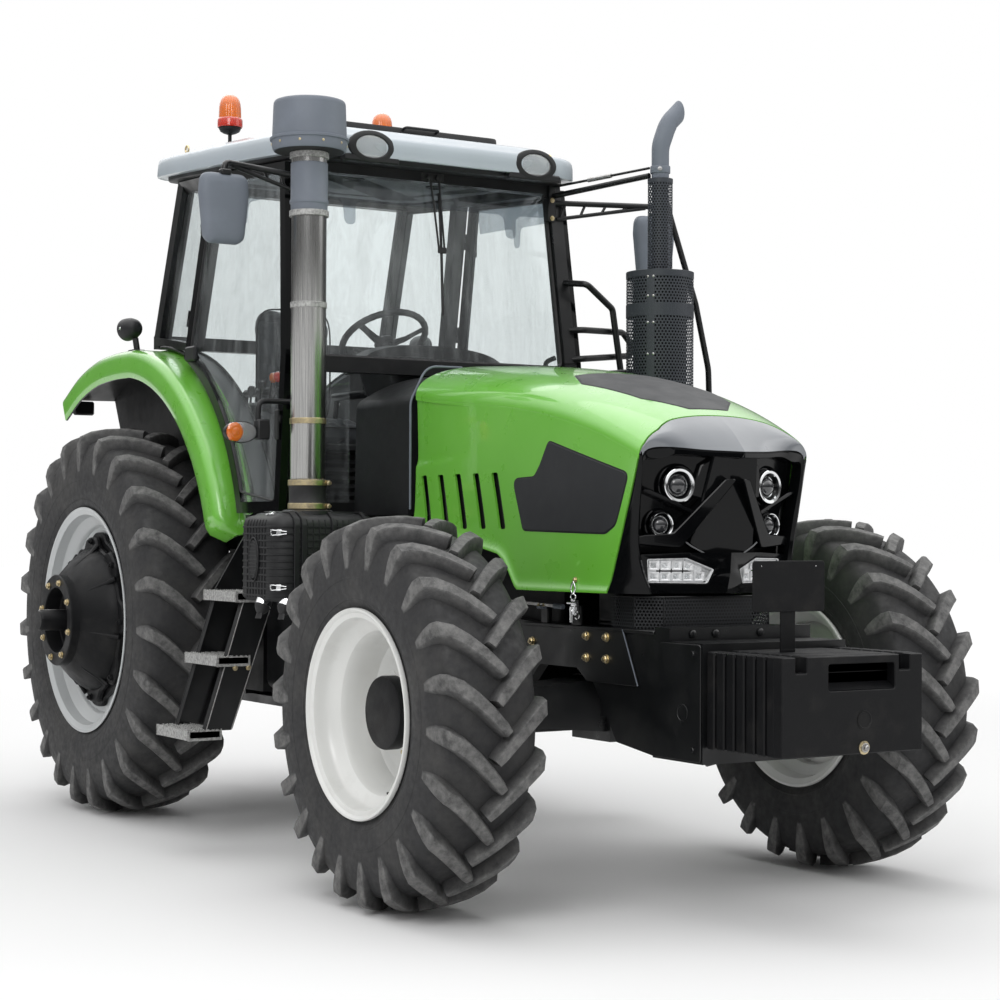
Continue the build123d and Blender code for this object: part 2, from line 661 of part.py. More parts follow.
cab_panes = (  # four corners each, seen from outside
    ((-screen_half, cab_front_y, 1970), (screen_half, cab_front_y, 1970),
     (screen_top_half, cab_front_y + 88, 2775), (-screen_top_half, cab_front_y + 88, 2775)),
    ((420, cab_front_y, cab_floor_z + 75), (screen_half + 20, cab_front_y, cab_floor_z + 75),
     (screen_half, cab_front_y, 1930), (420, cab_front_y, 1930)),
    ((-screen_half - 20, cab_front_y, cab_floor_z + 75), (-420, cab_front_y, cab_floor_z + 75),
     (-420, cab_front_y, 1930), (-screen_half, cab_front_y, 1930)),
    ((cab_half_width, -445, 2095), (quarter_rear_x, cab_rear_y - 10, 2160),
     (575, -185, 2840), (cab_half_width - 33, -605, 2800)),
    ((-quarter_rear_x, cab_rear_y - 10, 2160), (-cab_half_width, -445, 2095),
     (33 - cab_half_width, -605, 2800), (-575, -185, 2840)),
    ((590, cab_rear_y, 2160), (-590, cab_rear_y, 2160), (-570, -175, 2850), (570, -175, 2850)),
    ((485, cab_rear_y, 1590), (-485, cab_rear_y, 1590), (-485, cab_rear_y, 2130),
     (485, cab_rear_y, 2130)),
)


def pane(corners, thickness, mode=Mode.ADD):
    """A flat pane of glass with four corners, centred on the plane of three of them."""
    places = [point(*corner) for corner in corners]
    along = places[1] - places[0]
    up = places[3] - places[0]
    plane = Plane(origin=places[0], x_dir=along, z_dir=along.cross(up))
    flat = [plane.to_local_coords(place) for place in places]
    with BuildSketch(plane) as outline:
        with BuildLine():
            Polyline(*[(corner.X, corner.Y) for corner in flat], close=True)
        make_face()
    extrude(outline.sketch, amount=thickness / 2, both=True, mode=mode)


with BuildPart() as cab_floor:
    floor_plan = (  # x, length behind the rear axle
        (floor_edge_x, cab_front_y - pillar_face), (floor_edge_x, -1150),
        (cab_inner_x, -1130), (cab_inner_x, cab_rear_y + pillar_face))
    mirrored = [(-x, y) for x, y in reversed(floor_plan)]
    prism(level(cab_floor_z), [*floor_plan, *mirrored], floor_thickness)
    block((-200, 200), (cab_front_y + 60, cab_front_y + 180), (1100, cab_floor_z))
    block((-200, 200), (-60, 60), (axle_housing_top_z, cab_floor_z))
    block((-cab_inner_x, cab_inner_x), (-1100, -60), (1200, cab_floor_z))
    block((-c_foot[0] + pillar_face, c_foot[0] - pillar_face), (cab_rear_y, cab_rear_y + 30),
          (cab_floor_z + floor_thickness, 1590))
keep(cab_floor, "cab_floor")

# Doors: the hinge line leans forward, behind the door's rear edge.
door_gap = 25.0            # to the fender
door_frame_width = 46.0
door_thickness = 32.0
pane_overlap = 10.0        # of the glass in its rebate
hinge_low = (-450.0, 2060.0)    # length, height
hinge_high = (-623.0, 2790.0)
hinge_pin_radius = 8.0
hinge_barrel_radius = 14.0
hinge_barrel = 36.0
door_plane = Plane(origin=point(cab_half_width + pillar_face + seam, 0, cab_waist_z),
                   x_dir=(0, 1, 0), z_dir=(cos(radians(cab_side_lean)), 0,
                                           sin(radians(cab_side_lean))))
hinge_line_x = door_thickness / 2


def hinge_point(height):
    """A point of the left door's hinge axis, in the row's frame."""
    share = (height - hinge_low[1]) / (hinge_high[1] - hinge_low[1])
    y = hinge_low[0] + share * (hinge_high[0] - hinge_low[0])
    return door_plane.from_local_coords(
        Vector(y, height - cab_waist_z, hinge_line_x))


hinge_axis = (hinge_point(hinge_high[1]) - hinge_point(hinge_low[1])).normalized()
hinge_heights = (2170.0, 2600.0)


def hinge_barrel_at(height, offset, length, radius, mode=Mode.ADD):
    """A length of hinge barrel on the door's axis."""
    start = hinge_point(height) + hinge_axis * offset
    with BuildSketch(Plane(origin=start, z_dir=hinge_axis)) as section:
        Circle(radius)
    extrude(section.sketch, amount=length, mode=mode)


def hinge_leaf(height, offset, towards):
    """The plate that ties a barrel to the pillar or to the door."""
    start = hinge_point(height) + hinge_axis * offset
    with BuildSketch(Plane(origin=start, x_dir=(0, 1, 0), z_dir=hinge_axis)) as section:
        with BuildLine():
            Polyline(*towards, close=True)
        make_face()
    extrude(section.sketch, amount=hinge_barrel)


def door_outline():
    """The left door in its own plane."""
    radius = fender_radius + door_gap
    foot_y = -sqrt(radius ** 2 - (1345 - fender_arch_z) ** 2)
    meet = (-469, 2030)
    middle = radians(47)
    corners = (  # length, height
        (foot_y, 1345), (cab_front_y - 10, 1345), (cab_front_y - 10, cab_waist_z),
        (cab_front_y + 78, roof_height(cab_front_y + 78) - 22),
        (-650, roof_height(-650) - 22), meet)
    with BuildLine() as outline:
        Polyline(*[(y, z - cab_waist_z) for y, z in corners])
        ThreePointArc((meet[0], meet[1] - cab_waist_z),
                      (-radius * sin(middle), fender_arch_z + radius * cos(middle) - cab_waist_z),
                      (foot_y, 1345 - cab_waist_z))
    make_face(outline.edges())


def door_face(inset, depth=0):
    """The door's outline, drawn in by an inset, at a depth in the door."""
    with BuildSketch(door_plane.offset(depth)) as face:
        door_outline()
        if inset:
            offset(amount=-inset, mode=Mode.REPLACE)
    return face.sketch


with BuildPart() as door_pane:
    extrude(door_face(door_frame_width - pane_overlap, door_thickness / 2),
            amount=glass_thickness)

for place, sign in (("left", 1), ("right", -1)):
    with BuildPart() as door:
        extrude(door_face(0), amount=door_thickness)
        extrude(door_face(door_frame_width), amount=door_thickness, mode=Mode.SUBTRACT)
        add(door_pane.part, mode=Mode.SUBTRACT)
        for height in hinge_heights:
            hinge_leaf(height, hinge_barrel + face_gap, ((-34, -8), (-34, 8), (0, 8), (0, -8)))
            hinge_barrel_at(height, hinge_barrel + face_gap, hinge_barrel, hinge_barrel_radius)
            hinge_barrel_at(height, hinge_barrel, hinge_barrel * 2,
                            hinge_pin_radius + running_fit, mode=Mode.SUBTRACT)
        if sign < 0:
            mirror(about=Plane.YZ, mode=Mode.REPLACE)
    keep(door, f"door_{place}")
    with BuildPart() as door_glass:
        add(door_pane.part)
        if sign < 0:
            mirror(about=Plane.YZ, mode=Mode.REPLACE)
    keep(door_glass, f"door_glass_{place}")

with BuildPart() as cab_frame:
    for foot, head, depth in cab_bars:
        bar(foot, head, pillar, depth)
    for start, end in cab_rails:
        bar(start, end, pillar, pillar, width_dir=(0, 1, 0))
    bar(*waist_rail, pillar, 36)
    for height in hinge_heights:
        hinge_leaf(height, 0, ((-8, 0), (8, 0), (24, 30), (4, 30)))
        hinge_barrel_at(height, 0, hinge_barrel, hinge_barrel_radius)
        hinge_barrel_at(height, 0, hinge_barrel * 2, hinge_pin_radius)
    mirror(about=Plane.YZ)
    with BuildSketch(roof_plane) as over_roof:
        Rectangle(2400, 2400)
    extrude(over_roof.sketch, amount=300, mode=Mode.SUBTRACT)
    for corners in cab_panes:
        pane(corners, glass_thickness, mode=Mode.SUBTRACT)
    add(cab_floor.part, mode=Mode.SUBTRACT)
keep(cab_frame, "cab_frame")

with BuildPart() as cab_glass:
    for corners in cab_panes:
        pane(corners, glass_thickness)
keep(cab_glass, "cab_glass")

roof_plan = ((550, -812), (700, -640), (718, 0), (712, 640), (650, 770), (480, 800))
with BuildPart() as work_lamps:
    for lamp_y, facing in ((-1600, 1), (-12, -1)):
        with BuildSketch(Plane(origin=point(393, lamp_y, roof_height(lamp_y) + 48),
                               x_dir=(1, 0, 0), z_dir=(0, -facing, 0))) as lens:
            Ellipse(73, 36)
        extrude(lens.sketch, amount=22)
    mirror(about=Plane.YZ)
keep(work_lamps, "work_lamps")

with BuildPart() as cab_roof:
    outline = [*roof_plan, *[(-x, y) for x, y in reversed(roof_plan)]]
    with BuildSketch(roof_plane) as band:
        with BuildLine():
            Polyline(*outline, close=True)
        make_face()
        fillet(band.vertices(), radius=60)
    extrude(band.sketch, amount=roof_band)
    fillet(cab_roof.faces().sort_by(Axis.Z)[-1].edges(), radius=26)
    crown = []
    for rise, shrink_x, shrink_y, corner in ((-8, 0.93, 0.93, 60), (roof_crown, 0.80, 0.84, 50)):
        with BuildSketch(roof_plane.offset(roof_band + rise)) as section:
            with BuildLine():
                Polyline(*[(x * shrink_x, y * shrink_y) for x, y in outline], close=True)
            make_face()
            fillet(section.vertices(), radius=corner)
        crown.append(section.sketch.face())
    loft(crown, ruled=True)
    add(work_lamps.part, mode=Mode.SUBTRACT)
keep(cab_roof, "cab_roof")

# ---------------------------------------------------------------- cowl and hood hinge
cowl_low_z = 1340.0

with BuildPart() as cowl:
    with BuildSketch(across(cowl_front_y)) as section:
        with BuildLine():
            Polyline((-402, 1790), (-410, cowl_low_z), (410, cowl_low_z), (402, 1790))
            ThreePointArc((402, 1790), (0, 1918), (-402, 1790))
        make_face()
        fillet(section.vertices().group_by(Axis.Y)[-1], radius=50)
    extrude(amount=-(cab_front_y - pillar_face - cowl_front_y))
    for sign in (1, -1):
        ear = (sign * hinge_ear_x[0], sign * hinge_ear_x[1])
        block(ear, (cowl_front_y, hinge_y + 12), (hood_hinge_z - 36, hood_hinge_z - 18))
        block(ear, (hinge_y - 12, hinge_y + 12), (hood_hinge_z - 36, hood_hinge_z + 12))
        rod((sign * 60, hinge_y, hood_hinge_z), (sign * hinge_lug_x[1], hinge_y, hood_hinge_z),
            hood_pin_radius)
keep(cowl, "cowl")

# ---------------------------------------------------------------- seat and controls
floor_top_z = cab_floor_z + floor_thickness
seat_y = -300.0
wheel_centre = (0, -1000, wheel_height)
column_tilt = 35.0
column_axis = Vector(0, sin(radians(column_tilt)), cos(radians(column_tilt)))

with BuildPart() as seat_base:
    block((-190, 190), (seat_y - 200, seat_y + 180), (floor_top_z, floor_top_z + 330))
keep(seat_base, "seat_base")

with BuildPart() as backrest:
    block((-225, 225), (seat_y + 150, seat_y + 260), (floor_top_z + 400, floor_top_z + 1010))
    fillet(backrest.edges(), radius=35)

with BuildPart() as seat:
    block((-240, 240), (seat_y - 230, seat_y + 240), (floor_top_z + 330.3, floor_top_z + 440))
    fillet(seat.edges(), radius=30)
    add(backrest.part)
keep(seat, "seat")

with BuildPart() as console:
    block((-170, 170), (cab_front_y + pillar_face, -1150), (floor_top_z, 1880))
    with BuildSketch(Plane(origin=point(*wheel_centre) - column_axis * 451,
                           z_dir=column_axis)) as column:
        Circle(32)
    extrude(column.sketch, amount=420)
keep(console, "console")

with BuildPart() as steering_wheel:
    hub_plane = Plane(origin=point(*wheel_centre), x_dir=(1, 0, 0), z_dir=column_axis)
    with BuildSketch(Plane(origin=hub_plane.origin, x_dir=column_axis, z_dir=(1, 0, 0))) as rim_cut:
        with Locations((0, 190)):
            Circle(15)
    revolve(rim_cut.sketch, axis=Axis(hub_plane.origin, column_axis))
    with BuildSketch(hub_plane.offset(-30)) as boss:
        Circle(45)
    extrude(boss.sketch, amount=40)
    for turn in (90, 210, 330):
        spoke = Vector(cos(radians(turn)), 0, 0) + hub_plane.y_dir * sin(radians(turn))
        with BuildSketch(Plane(origin=hub_plane.origin, x_dir=column_axis, z_dir=spoke)) as cut:
            Rectangle(10, 28)
        extrude(cut.sketch, amount=185)
keep(steering_wheel, "steering_wheel")

# ---------------------------------------------------------------- intake, exhaust, tanks, steps
intake_x, intake_y = -745.0, -1750.0
intake_radius = 68.0
cleaner_top_z = 1355.0
precleaner_low_z = 2745.0
precleaner_high_z = 2945.0
precleaner_radius = 144.0
precleaner_lip = 10.0
pillar_bracket_x = (cab_half_width - 25, cab_half_width + 35)
pillar_front_y = cab_front_y - pillar_face

with BuildPart() as air_cleaner:
    block((-950, -500), (-1890, -1560), (970, cleaner_top_z))
    fillet(air_cleaner.edges().filter_by(Axis.Z), radius=25)
    block((-505, -260), (-1645, -1570), (1000, 1060))
keep(air_cleaner, "air_cleaner")

with BuildPart() as air_intake:
    rod((intake_x, intake_y, cleaner_top_z), (intake_x, intake_y, precleaner_low_z),
        intake_radius)
    rod((intake_x, intake_y, precleaner_low_z), (intake_x, intake_y, precleaner_high_z),
        precleaner_radius)
    rod((intake_x, intake_y, precleaner_low_z + 50), (intake_x, intake_y, precleaner_low_z + 60),
        precleaner_radius + precleaner_lip)
    block((intake_x + intake_radius - 15, -pillar_bracket_x[0]),
          (intake_y - 12, pillar_front_y), (1925, 1965))
keep(air_intake, "air_intake")

exhaust_x, exhaust_y = 787.0, -1960.0
muffler_guard_radius = 142.0
muffler_guard_z = (1440.0, 2360.0)
pipe_guard_radius = 53.0
pipe_guard_top_z = 2752.0
tail_pipe_radius = 37.0
tail_bend_z = 2930.0
guard_rail_radius = 13.0
guard_rail = tuple((exhaust_x + out, exhaust_y + 140, height) for out, height in (
    (158, 2620), (293, 2260), (363, 1980), (378, 1550)))    # bowed tube outside the guard

with BuildPart() as exhaust:
    rod((exhaust_x, exhaust_y, muffler_guard_z[0]), (exhaust_x, exhaust_y, muffler_guard_z[1]),
        muffler_guard_radius)
    rod((exhaust_x, exhaust_y, muffler_guard_z[1] - 10), (exhaust_x, exhaust_y, pipe_guard_top_z),
        pipe_guard_radius)
    tube_path(((exhaust_x, exhaust_y, pipe_guard_top_z - 20), (exhaust_x, exhaust_y, tail_bend_z),
               (exhaust_x + 95, exhaust_y, tail_bend_z + 165)), 150, tail_pipe_radius)
    tube_path(((exhaust_x + 20, exhaust_y, pipe_guard_top_z - 52), *guard_rail,
               (exhaust_x + 75, exhaust_y + 60, muffler_guard_z[0] + 30)), 60, guard_rail_radius)
    tube_path(((exhaust_x, exhaust_y, muffler_guard_z[0] + 30), (exhaust_x, exhaust_y, 1235),
               (engine_half_width, exhaust_y - 60, 1235)), 90, 40)
    block(pillar_bracket_x, (pillar_front_y - 8, pillar_front_y), (1922, 1978))
    bar((pillar_bracket_x[0] + 30, pillar_front_y - 4, 1950),
        (exhaust_x - 60, exhaust_y + 110, 1950), 40, 12)
    bar((cab_half_width - 30, cab_front_y + 60, 2742), (exhaust_x - 20, exhaust_y + 20, 2800),
        22, 26)
    add(engine.part, mode=Mode.SUBTRACT)
    add(cab_frame.part, mode=Mode.SUBTRACT)
keep(exhaust, "exhaust")

with BuildPart() as fuel_tanks:
    block((215, 520), (-1470, -930), (600, 1075))
    fillet(fuel_tanks.edges().filter_by(Axis.Y), radius=50)
    mirror(about=Plane.YZ)
keep(fuel_tanks, "fuel_tanks")

step_rows = (  # middle x, height of the tread, middle length, width along the tractor
    (905, 1030, -1340, 230), (955, 780, -1320, 240), (1060, 500, -1310, 260))
with BuildPart() as steps:
    for cheek_y in (-1475, -1185):
        cheek = (  # x, height
            (cab_half_width - 25, cab_floor_z), (floor_edge_x, cab_floor_z), (960, 1040),
            (1130, 490), (1010, 490), (850, 960))
        prism(across(cheek_y), cheek, 10)
    for tread_x, tread_z, tread_y, tread_width in step_rows:
        block((tread_x - 68, tread_x + 68), (-1480, -1190), (tread_z - 26, tread_z))
    mirror(about=Plane.YZ)
keep(steps, "steps")

# ---------------------------------------------------------------- lamps, beacons, mirrors
mirror_x, mirror_y, mirror_z = 1030.0, -1586.0, 2525.0
mirror_arm_z = 2705.0
handrail_radius = 14.0
handrail_back_y = pillar_front_y - handrail_radius - 6
handrail_front_y = handrail_back_y - 2 * handrail_radius - 7
handrail_rows = (  # length, heights of the two feet, (reach from the cab's side, height) of bends
    (handrail_front_y, 2360, 1870, ((45, 2345), (180, 2245), (228, 1960), (55, 1880))),
    (handrail_back_y, 2150, 2020, ((50, 2150), (260, 2150), (305, 2100), (305, 2050),
                                   (50, 2025))))
with BuildPart() as mirrors:
    block((mirror_x - 105, mirror_x + 105), (mirror_y - 30, mirror_y + 25),
          (mirror_z - 140, mirror_z + 140))
    fillet(mirrors.edges().filter_by(Axis.Y), radius=35)
    tube_path(((mirror_x, mirror_y, mirror_z + 130), (mirror_x, mirror_y, mirror_arm_z),
               (cab_half_width - 60, cab_front_y + 50, mirror_arm_z)), 30, 13)
    bar((mirror_x - 40, mirror_y + 10, mirror_arm_z - 6),
        (cab_half_width - 40, cab_front_y + 30, mirror_arm_z - 70), 14, 18)
    mirror(about=Plane.YZ)
    add(cab_frame.part, mode=Mode.SUBTRACT)
keep(mirrors, "mirrors")

beacon_x, beacon_y = 396.0, -250.0
beacon_stalk_z = roof_height(beacon_y) + roof_band
beacon_foot_z = 3130.0
beacon_top_z = 3270.0
beacon_radius = 58.0

with BuildPart() as beacons:
    rod((beacon_x, beacon_y, beacon_stalk_z), (beacon_x, beacon_y, beacon_foot_z), 9)
    rod((beacon_x, beacon_y, beacon_foot_z), (beacon_x, beacon_y, beacon_top_z), beacon_radius)
    fillet(beacons.faces().sort_by(Axis.Z)[-1].edges(), radius=36)
    mirror(about=Plane.YZ)
    add(cab_roof.part, mode=Mode.SUBTRACT)
keep(beacons, "beacons")



def pillar_axis(height):
    """A point on the left front pillar's axis."""
    foot, head = (a_pillar[0], a_pillar[1]) if height < cab_waist_z else (a_pillar[1], a_pillar[2])
    share = (height - foot[2]) / (head[2] - foot[2])
    return tuple(low + share * (high - low) for low, high in zip(foot, head))


with BuildPart() as handrails:
    for rail_y, top_z, foot_z, bends in handrail_rows:
        path = [(cab_half_width + reach, rail_y, height) for reach, height in bends]
        tube_path((pillar_axis(top_z), *path, pillar_axis(foot_z)), 30, handrail_radius)
    for foot, head in ((a_pillar[0], a_pillar[1]), (a_pillar[1], a_pillar[2])):
        bar(foot, head, pillar, pillar, mode=Mode.SUBTRACT)
keep(handrails, "handrails")

with BuildPart() as turn_signals:
    block((870, 1010), (-1590, -1530), (1640, 1720))
    fillet(turn_signals.edges(), radius=18)
    tube_path(((900, -1560, 1700), (900, -1560, 1830),
               (cab_half_width - 5, cab_front_y - 20, 1830)), 40, 11)
    mirror(about=Plane.YZ)
    add(cab_frame.part, mode=Mode.SUBTRACT)
keep(turn_signals, "turn_signals")

# ---------------------------------------------------------------- rear linkage
rock_y, rock_z = 200.0, rear_axle_z + 345
arm_eye_y, arm_eye_z = 640.0, rear_axle_z + 280
link_front_y, link_front_z = 120.0, rear_axle_z - 300
link_front_x = 290.0
rod_link_y = 640.0
top_link_y, top_link_z = 420.0, rear_axle_z + 140
top_link_bore = 12.9
link_bore = 14.5
drawbar_pin_radius = 16.5
drawbar_pin_y = 590.0
drawbar_z = rear_axle_z - 400
pto_z = rear_axle_z - 170

with BuildPart() as hitch_frame:
    block((-60, 60), (-700, 560), (drawbar_z - 20, drawbar_z + 20))
    rod((0, 560, drawbar_z - 20), (0, 560, drawbar_z + 20), 60)
    block((-60, 60), (560, 640), (drawbar_z - 20, drawbar_z + 20))
    block((-90, 90), (200, 330), (drawbar_z + 20, axle_housing_low_z))
    rod((0, drawbar_pin_y, drawbar_z - 30), (0, drawbar_pin_y, drawbar_z + 30),
        drawbar_pin_radius, mode=Mode.SUBTRACT)
    for sign in (1, -1):
        block((sign * 30, sign * 55), (330, top_link_y + 35), (top_link_z - 45, top_link_z + 45))
        rod((sign * 20, top_link_y, top_link_z), (sign * 60, top_link_y, top_link_z),
            top_link_bore, mode=Mode.SUBTRACT)
        block((sign * 250, sign * 272), (link_front_y - 60, link_front_y + 60),
              (axle_housing_low_z, axle_housing_low_z + 100))
        rod((sign * 262, link_front_y, link_front_z), (sign * 325, link_front_y, link_front_z),
            20)
        block((sign * 120, sign * 150), (rock_y - 60, rock_y + 60),
              (axle_housing_top_z, rock_z + 60))
    rod((-330, rock_y, rock_z), (330, rock_y, rock_z), 32)
    rod((0, 330, pto_z), (0, 440, pto_z), 17.4)
    rod((0, 330, pto_z), (0, 345, pto_z), 60)
keep(hitch_frame, "hitch_frame")

with BuildPart() as lift_arms:
    for sign in (1, -1):
        rod((sign * 200, rock_y, rock_z), (sign * 245, rock_y, rock_z), 60)
        with BuildSketch(side(sign * 200)) as arm:
            with BuildLine():
                Polyline((rock_y, rock_z - 55), (arm_eye_y, arm_eye_z - 28),
                         (arm_eye_y, arm_eye_z + 28), (rock_y, rock_z + 55), close=True)
            make_face()
            with Locations((arm_eye_y, arm_eye_z)):
                Circle(34)
        extrude(arm.sketch, amount=sign * 40)
        rod((sign * 150, rock_y, rock_z), (sign * 260, rock_y, rock_z), 32 + running_fit,
            mode=Mode.SUBTRACT)
    block((-201, 201), (rock_y + 195, rock_y + 240), (rock_z - 30, rock_z + 10))
keep(lift_arms, "lift_arms")

with BuildPart() as lower_links:
    for sign in (1, -1):
        bar((sign * link_front_x, link_front_y, link_front_z),
            (sign * link_spacing / 2, link_eye_y, link_eye_z), 26, 70)
        rod((sign * (link_front_x - 16), link_front_y, link_front_z),
            (sign * (link_front_x + 18), link_front_y, link_front_z), 40)
        rod((sign * (link_front_x - 30), link_front_y, link_front_z),
            (sign * (link_front_x + 40), link_front_y, link_front_z), 20 + running_fit,
            mode=Mode.SUBTRACT)
        rod((sign * (link_spacing / 2 - 22), link_eye_y, link_eye_z),
            (sign * (link_spacing / 2 + 22), link_eye_y, link_eye_z), link_eye_radius)
        rod((sign * (link_spacing / 2 - 40), link_eye_y, link_eye_z),
            (sign * (link_spacing / 2 + 40), link_eye_y, link_eye_z), link_bore,
            mode=Mode.SUBTRACT)
keep(lower_links, "lower_links")

link_share = (rod_link_y - link_front_y) / (link_eye_y - link_front_y)
rod_link_x = link_front_x + link_share * (link_spacing / 2 - link_front_x) - 13
rod_link_z = link_front_z + link_share * (link_eye_z - link_front_z)
with BuildPart() as lift_rods:
    for sign in (1, -1):
        upper = (sign * 262, arm_eye_y, arm_eye_z)
        lower = (sign * (rod_link_x - 34), rod_link_y, rod_link_z)
        rod(upper, lower, 14)
        rod((sign * 240.3, *upper[1:]), (sign * 282, *upper[1:]), 32)
        rod((lower[0] - 15, *lower[1:]), (lower[0] + 15, *lower[1:]), 28)
        rod((sign * 272, arm_eye_y, arm_eye_z - 80), (sign * 300, rod_link_y, rod_link_z + 260), 26)
keep(lift_rods, "lift_rods")
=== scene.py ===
import math
from math import cos, pi, radians, sin

import bmesh
import bpy
from mathutils import Matrix, Vector
from mathutils.geometry import tessellate_polygon


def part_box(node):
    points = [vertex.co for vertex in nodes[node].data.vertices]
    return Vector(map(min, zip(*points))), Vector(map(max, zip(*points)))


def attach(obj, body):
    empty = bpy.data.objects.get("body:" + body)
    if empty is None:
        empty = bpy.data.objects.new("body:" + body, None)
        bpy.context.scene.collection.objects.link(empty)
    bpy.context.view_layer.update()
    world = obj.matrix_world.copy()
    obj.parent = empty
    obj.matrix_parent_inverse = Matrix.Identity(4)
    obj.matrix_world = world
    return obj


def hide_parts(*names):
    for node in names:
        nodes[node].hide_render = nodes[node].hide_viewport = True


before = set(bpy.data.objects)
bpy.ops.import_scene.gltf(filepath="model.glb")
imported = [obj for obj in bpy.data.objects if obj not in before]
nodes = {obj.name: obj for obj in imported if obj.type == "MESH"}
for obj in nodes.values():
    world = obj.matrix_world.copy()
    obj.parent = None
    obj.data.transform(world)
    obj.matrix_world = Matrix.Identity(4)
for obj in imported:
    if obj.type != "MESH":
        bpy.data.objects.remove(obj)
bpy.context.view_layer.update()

REAR = sum(corner.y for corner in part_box("tyre_rear_left")) / 2     # the rear axle
SIDES = (("left", 1), ("right", -1))
UP = (0, 0, 1)


# ------------------------------------------------------------------ camera
STANDPOINT = (-4.4431, -7.6081, 1.2797)
AIM = (31.946, 0.828, 0.242)            # yaw, pitch and roll in degrees
LENS = 76.03                            # millimetres


def add_camera():
    """The photo's own view, from calibration."""
    yaw, pitch, roll = (radians(turn) for turn in AIM)
    ahead = Vector((sin(yaw) * cos(pitch), cos(yaw) * cos(pitch), sin(pitch)))
    right = Vector((cos(yaw), -sin(yaw), 0))
    up = right.cross(ahead)
    across = right * cos(roll) + up * sin(roll)
    upright = up * cos(roll) - right * sin(roll)
    data = bpy.data.cameras.new("Camera")
    data.sensor_width = 36
    data.lens = LENS
    data.clip_end = 200
    camera = bpy.data.objects.new("Camera", data)
    bpy.context.scene.collection.objects.link(camera)
    camera.matrix_world = Matrix.Translation(STANDPOINT) @ Matrix(
        (across, upright, -ahead)).transposed().to_4x4()
    bpy.context.scene.camera = camera


add_camera()


# ------------------------------------------------------------------ outlines and paths
def P(x, y, z):
    """A point by its length behind the rear axle."""
    return Vector((x, REAR + y, z))


def frame_of(axis):
    """Two unit vectors square to an axis."""
    axis = Vector(axis).normalized()
    side = Vector((0, 0, 1)).cross(axis)
    if side.length < 1e-3:
        side = Vector((1, 0, 0))
    side.normalize()
    return side, axis.cross(side)


def turns(count, more=0):
    """Angles of a full turn in even steps, with as many more as are asked for."""
    return [2 * pi * k / count for k in range(count + more)]


def rounded(points, radius, steps=5, closed=False):
    """A path or outline with its corners rounded."""
    points = [Vector(p) for p in points]
    radii = list(radius) if hasattr(radius, "__len__") else [radius] * len(points)
    out = []
    for i, corner in enumerate(points):
        if not closed and i in (0, len(points) - 1) or radii[i] <= 0:
            out.append(corner)
            continue
        back, on = points[i - 1] - corner, points[(i + 1) % len(points)] - corner
        turn = back.angle(on)
        if turn > radians(178):
            out.append(corner)
            continue
        reach = min(radii[i] / math.tan(turn / 2), back.length * 0.49, on.length * 0.49)
        start, end = corner + back.normalized() * reach, corner + on.normalized() * reach
        for k in range(steps + 1):
            t = k / steps
            out.append(start * (1 - t) ** 2 + corner * 2 * t * (1 - t) + end * t * t)
    return out


def smooth(points, steps=4):
    """A Catmull-Rom curve through points."""
    points = [Vector(p) for p in points]
    ends = [points[0] * 2 - points[1], *points, points[-1] * 2 - points[-2]]
    out = []
    for a, b, c, d in zip(ends, ends[1:], ends[2:], ends[3:]):
        for k in range(steps):
            t = k / steps
            out.append(0.5 * (2 * b + (c - a) * t + (2 * a - 5 * b + 4 * c - d) * t * t
                              + (3 * b - a - 3 * c + d) * t ** 3))
    return [*out, points[-1]]


def sides_of(outline):
    """The sides of a closed outline, as pairs of points."""
    return zip(outline, [*outline[1:], outline[0]])


def distances(points):
    """How far along a path each of its points lies."""
    out = [0.0]
    for a, b in zip(points, points[1:]):
        out.append(out[-1] + (b - a).length)
    return out


def inset(outline, distance):
    """A flat outline drawn in from its edges."""
    if not distance:
        return list(outline)
    area = sum(a[0] * b[1] - b[0] * a[1] for a, b in sides_of(outline))
    way = 1 if area > 0 else -1
    out = []
    for i, p in enumerate(outline):
        a = Vector(p) - Vector(outline[i - 1])
        b = Vector(outline[(i + 1) % len(outline)]) - Vector(p)
        if a.length < 1e-7 or b.length < 1e-7:
            a = b = a if a.length > b.length else b
        na = Vector((-a[1], a[0])).normalized()
        nb = Vector((-b[1], b[0])).normalized()
        mean = na + nb
        mean *= way * distance / max(0.4, mean.length_squared / 2)
        out.append(Vector((p[0] + mean[0], p[1] + mean[1])))
    return out


# ------------------------------------------------------------------ mesh pieces
# Hexagonal pattern: a row's height in pitches, and how far a cell's corners reach.
HEX_ROW, HEX_ACROSS, HEX_UP = 0.866, 0.577, 0.667


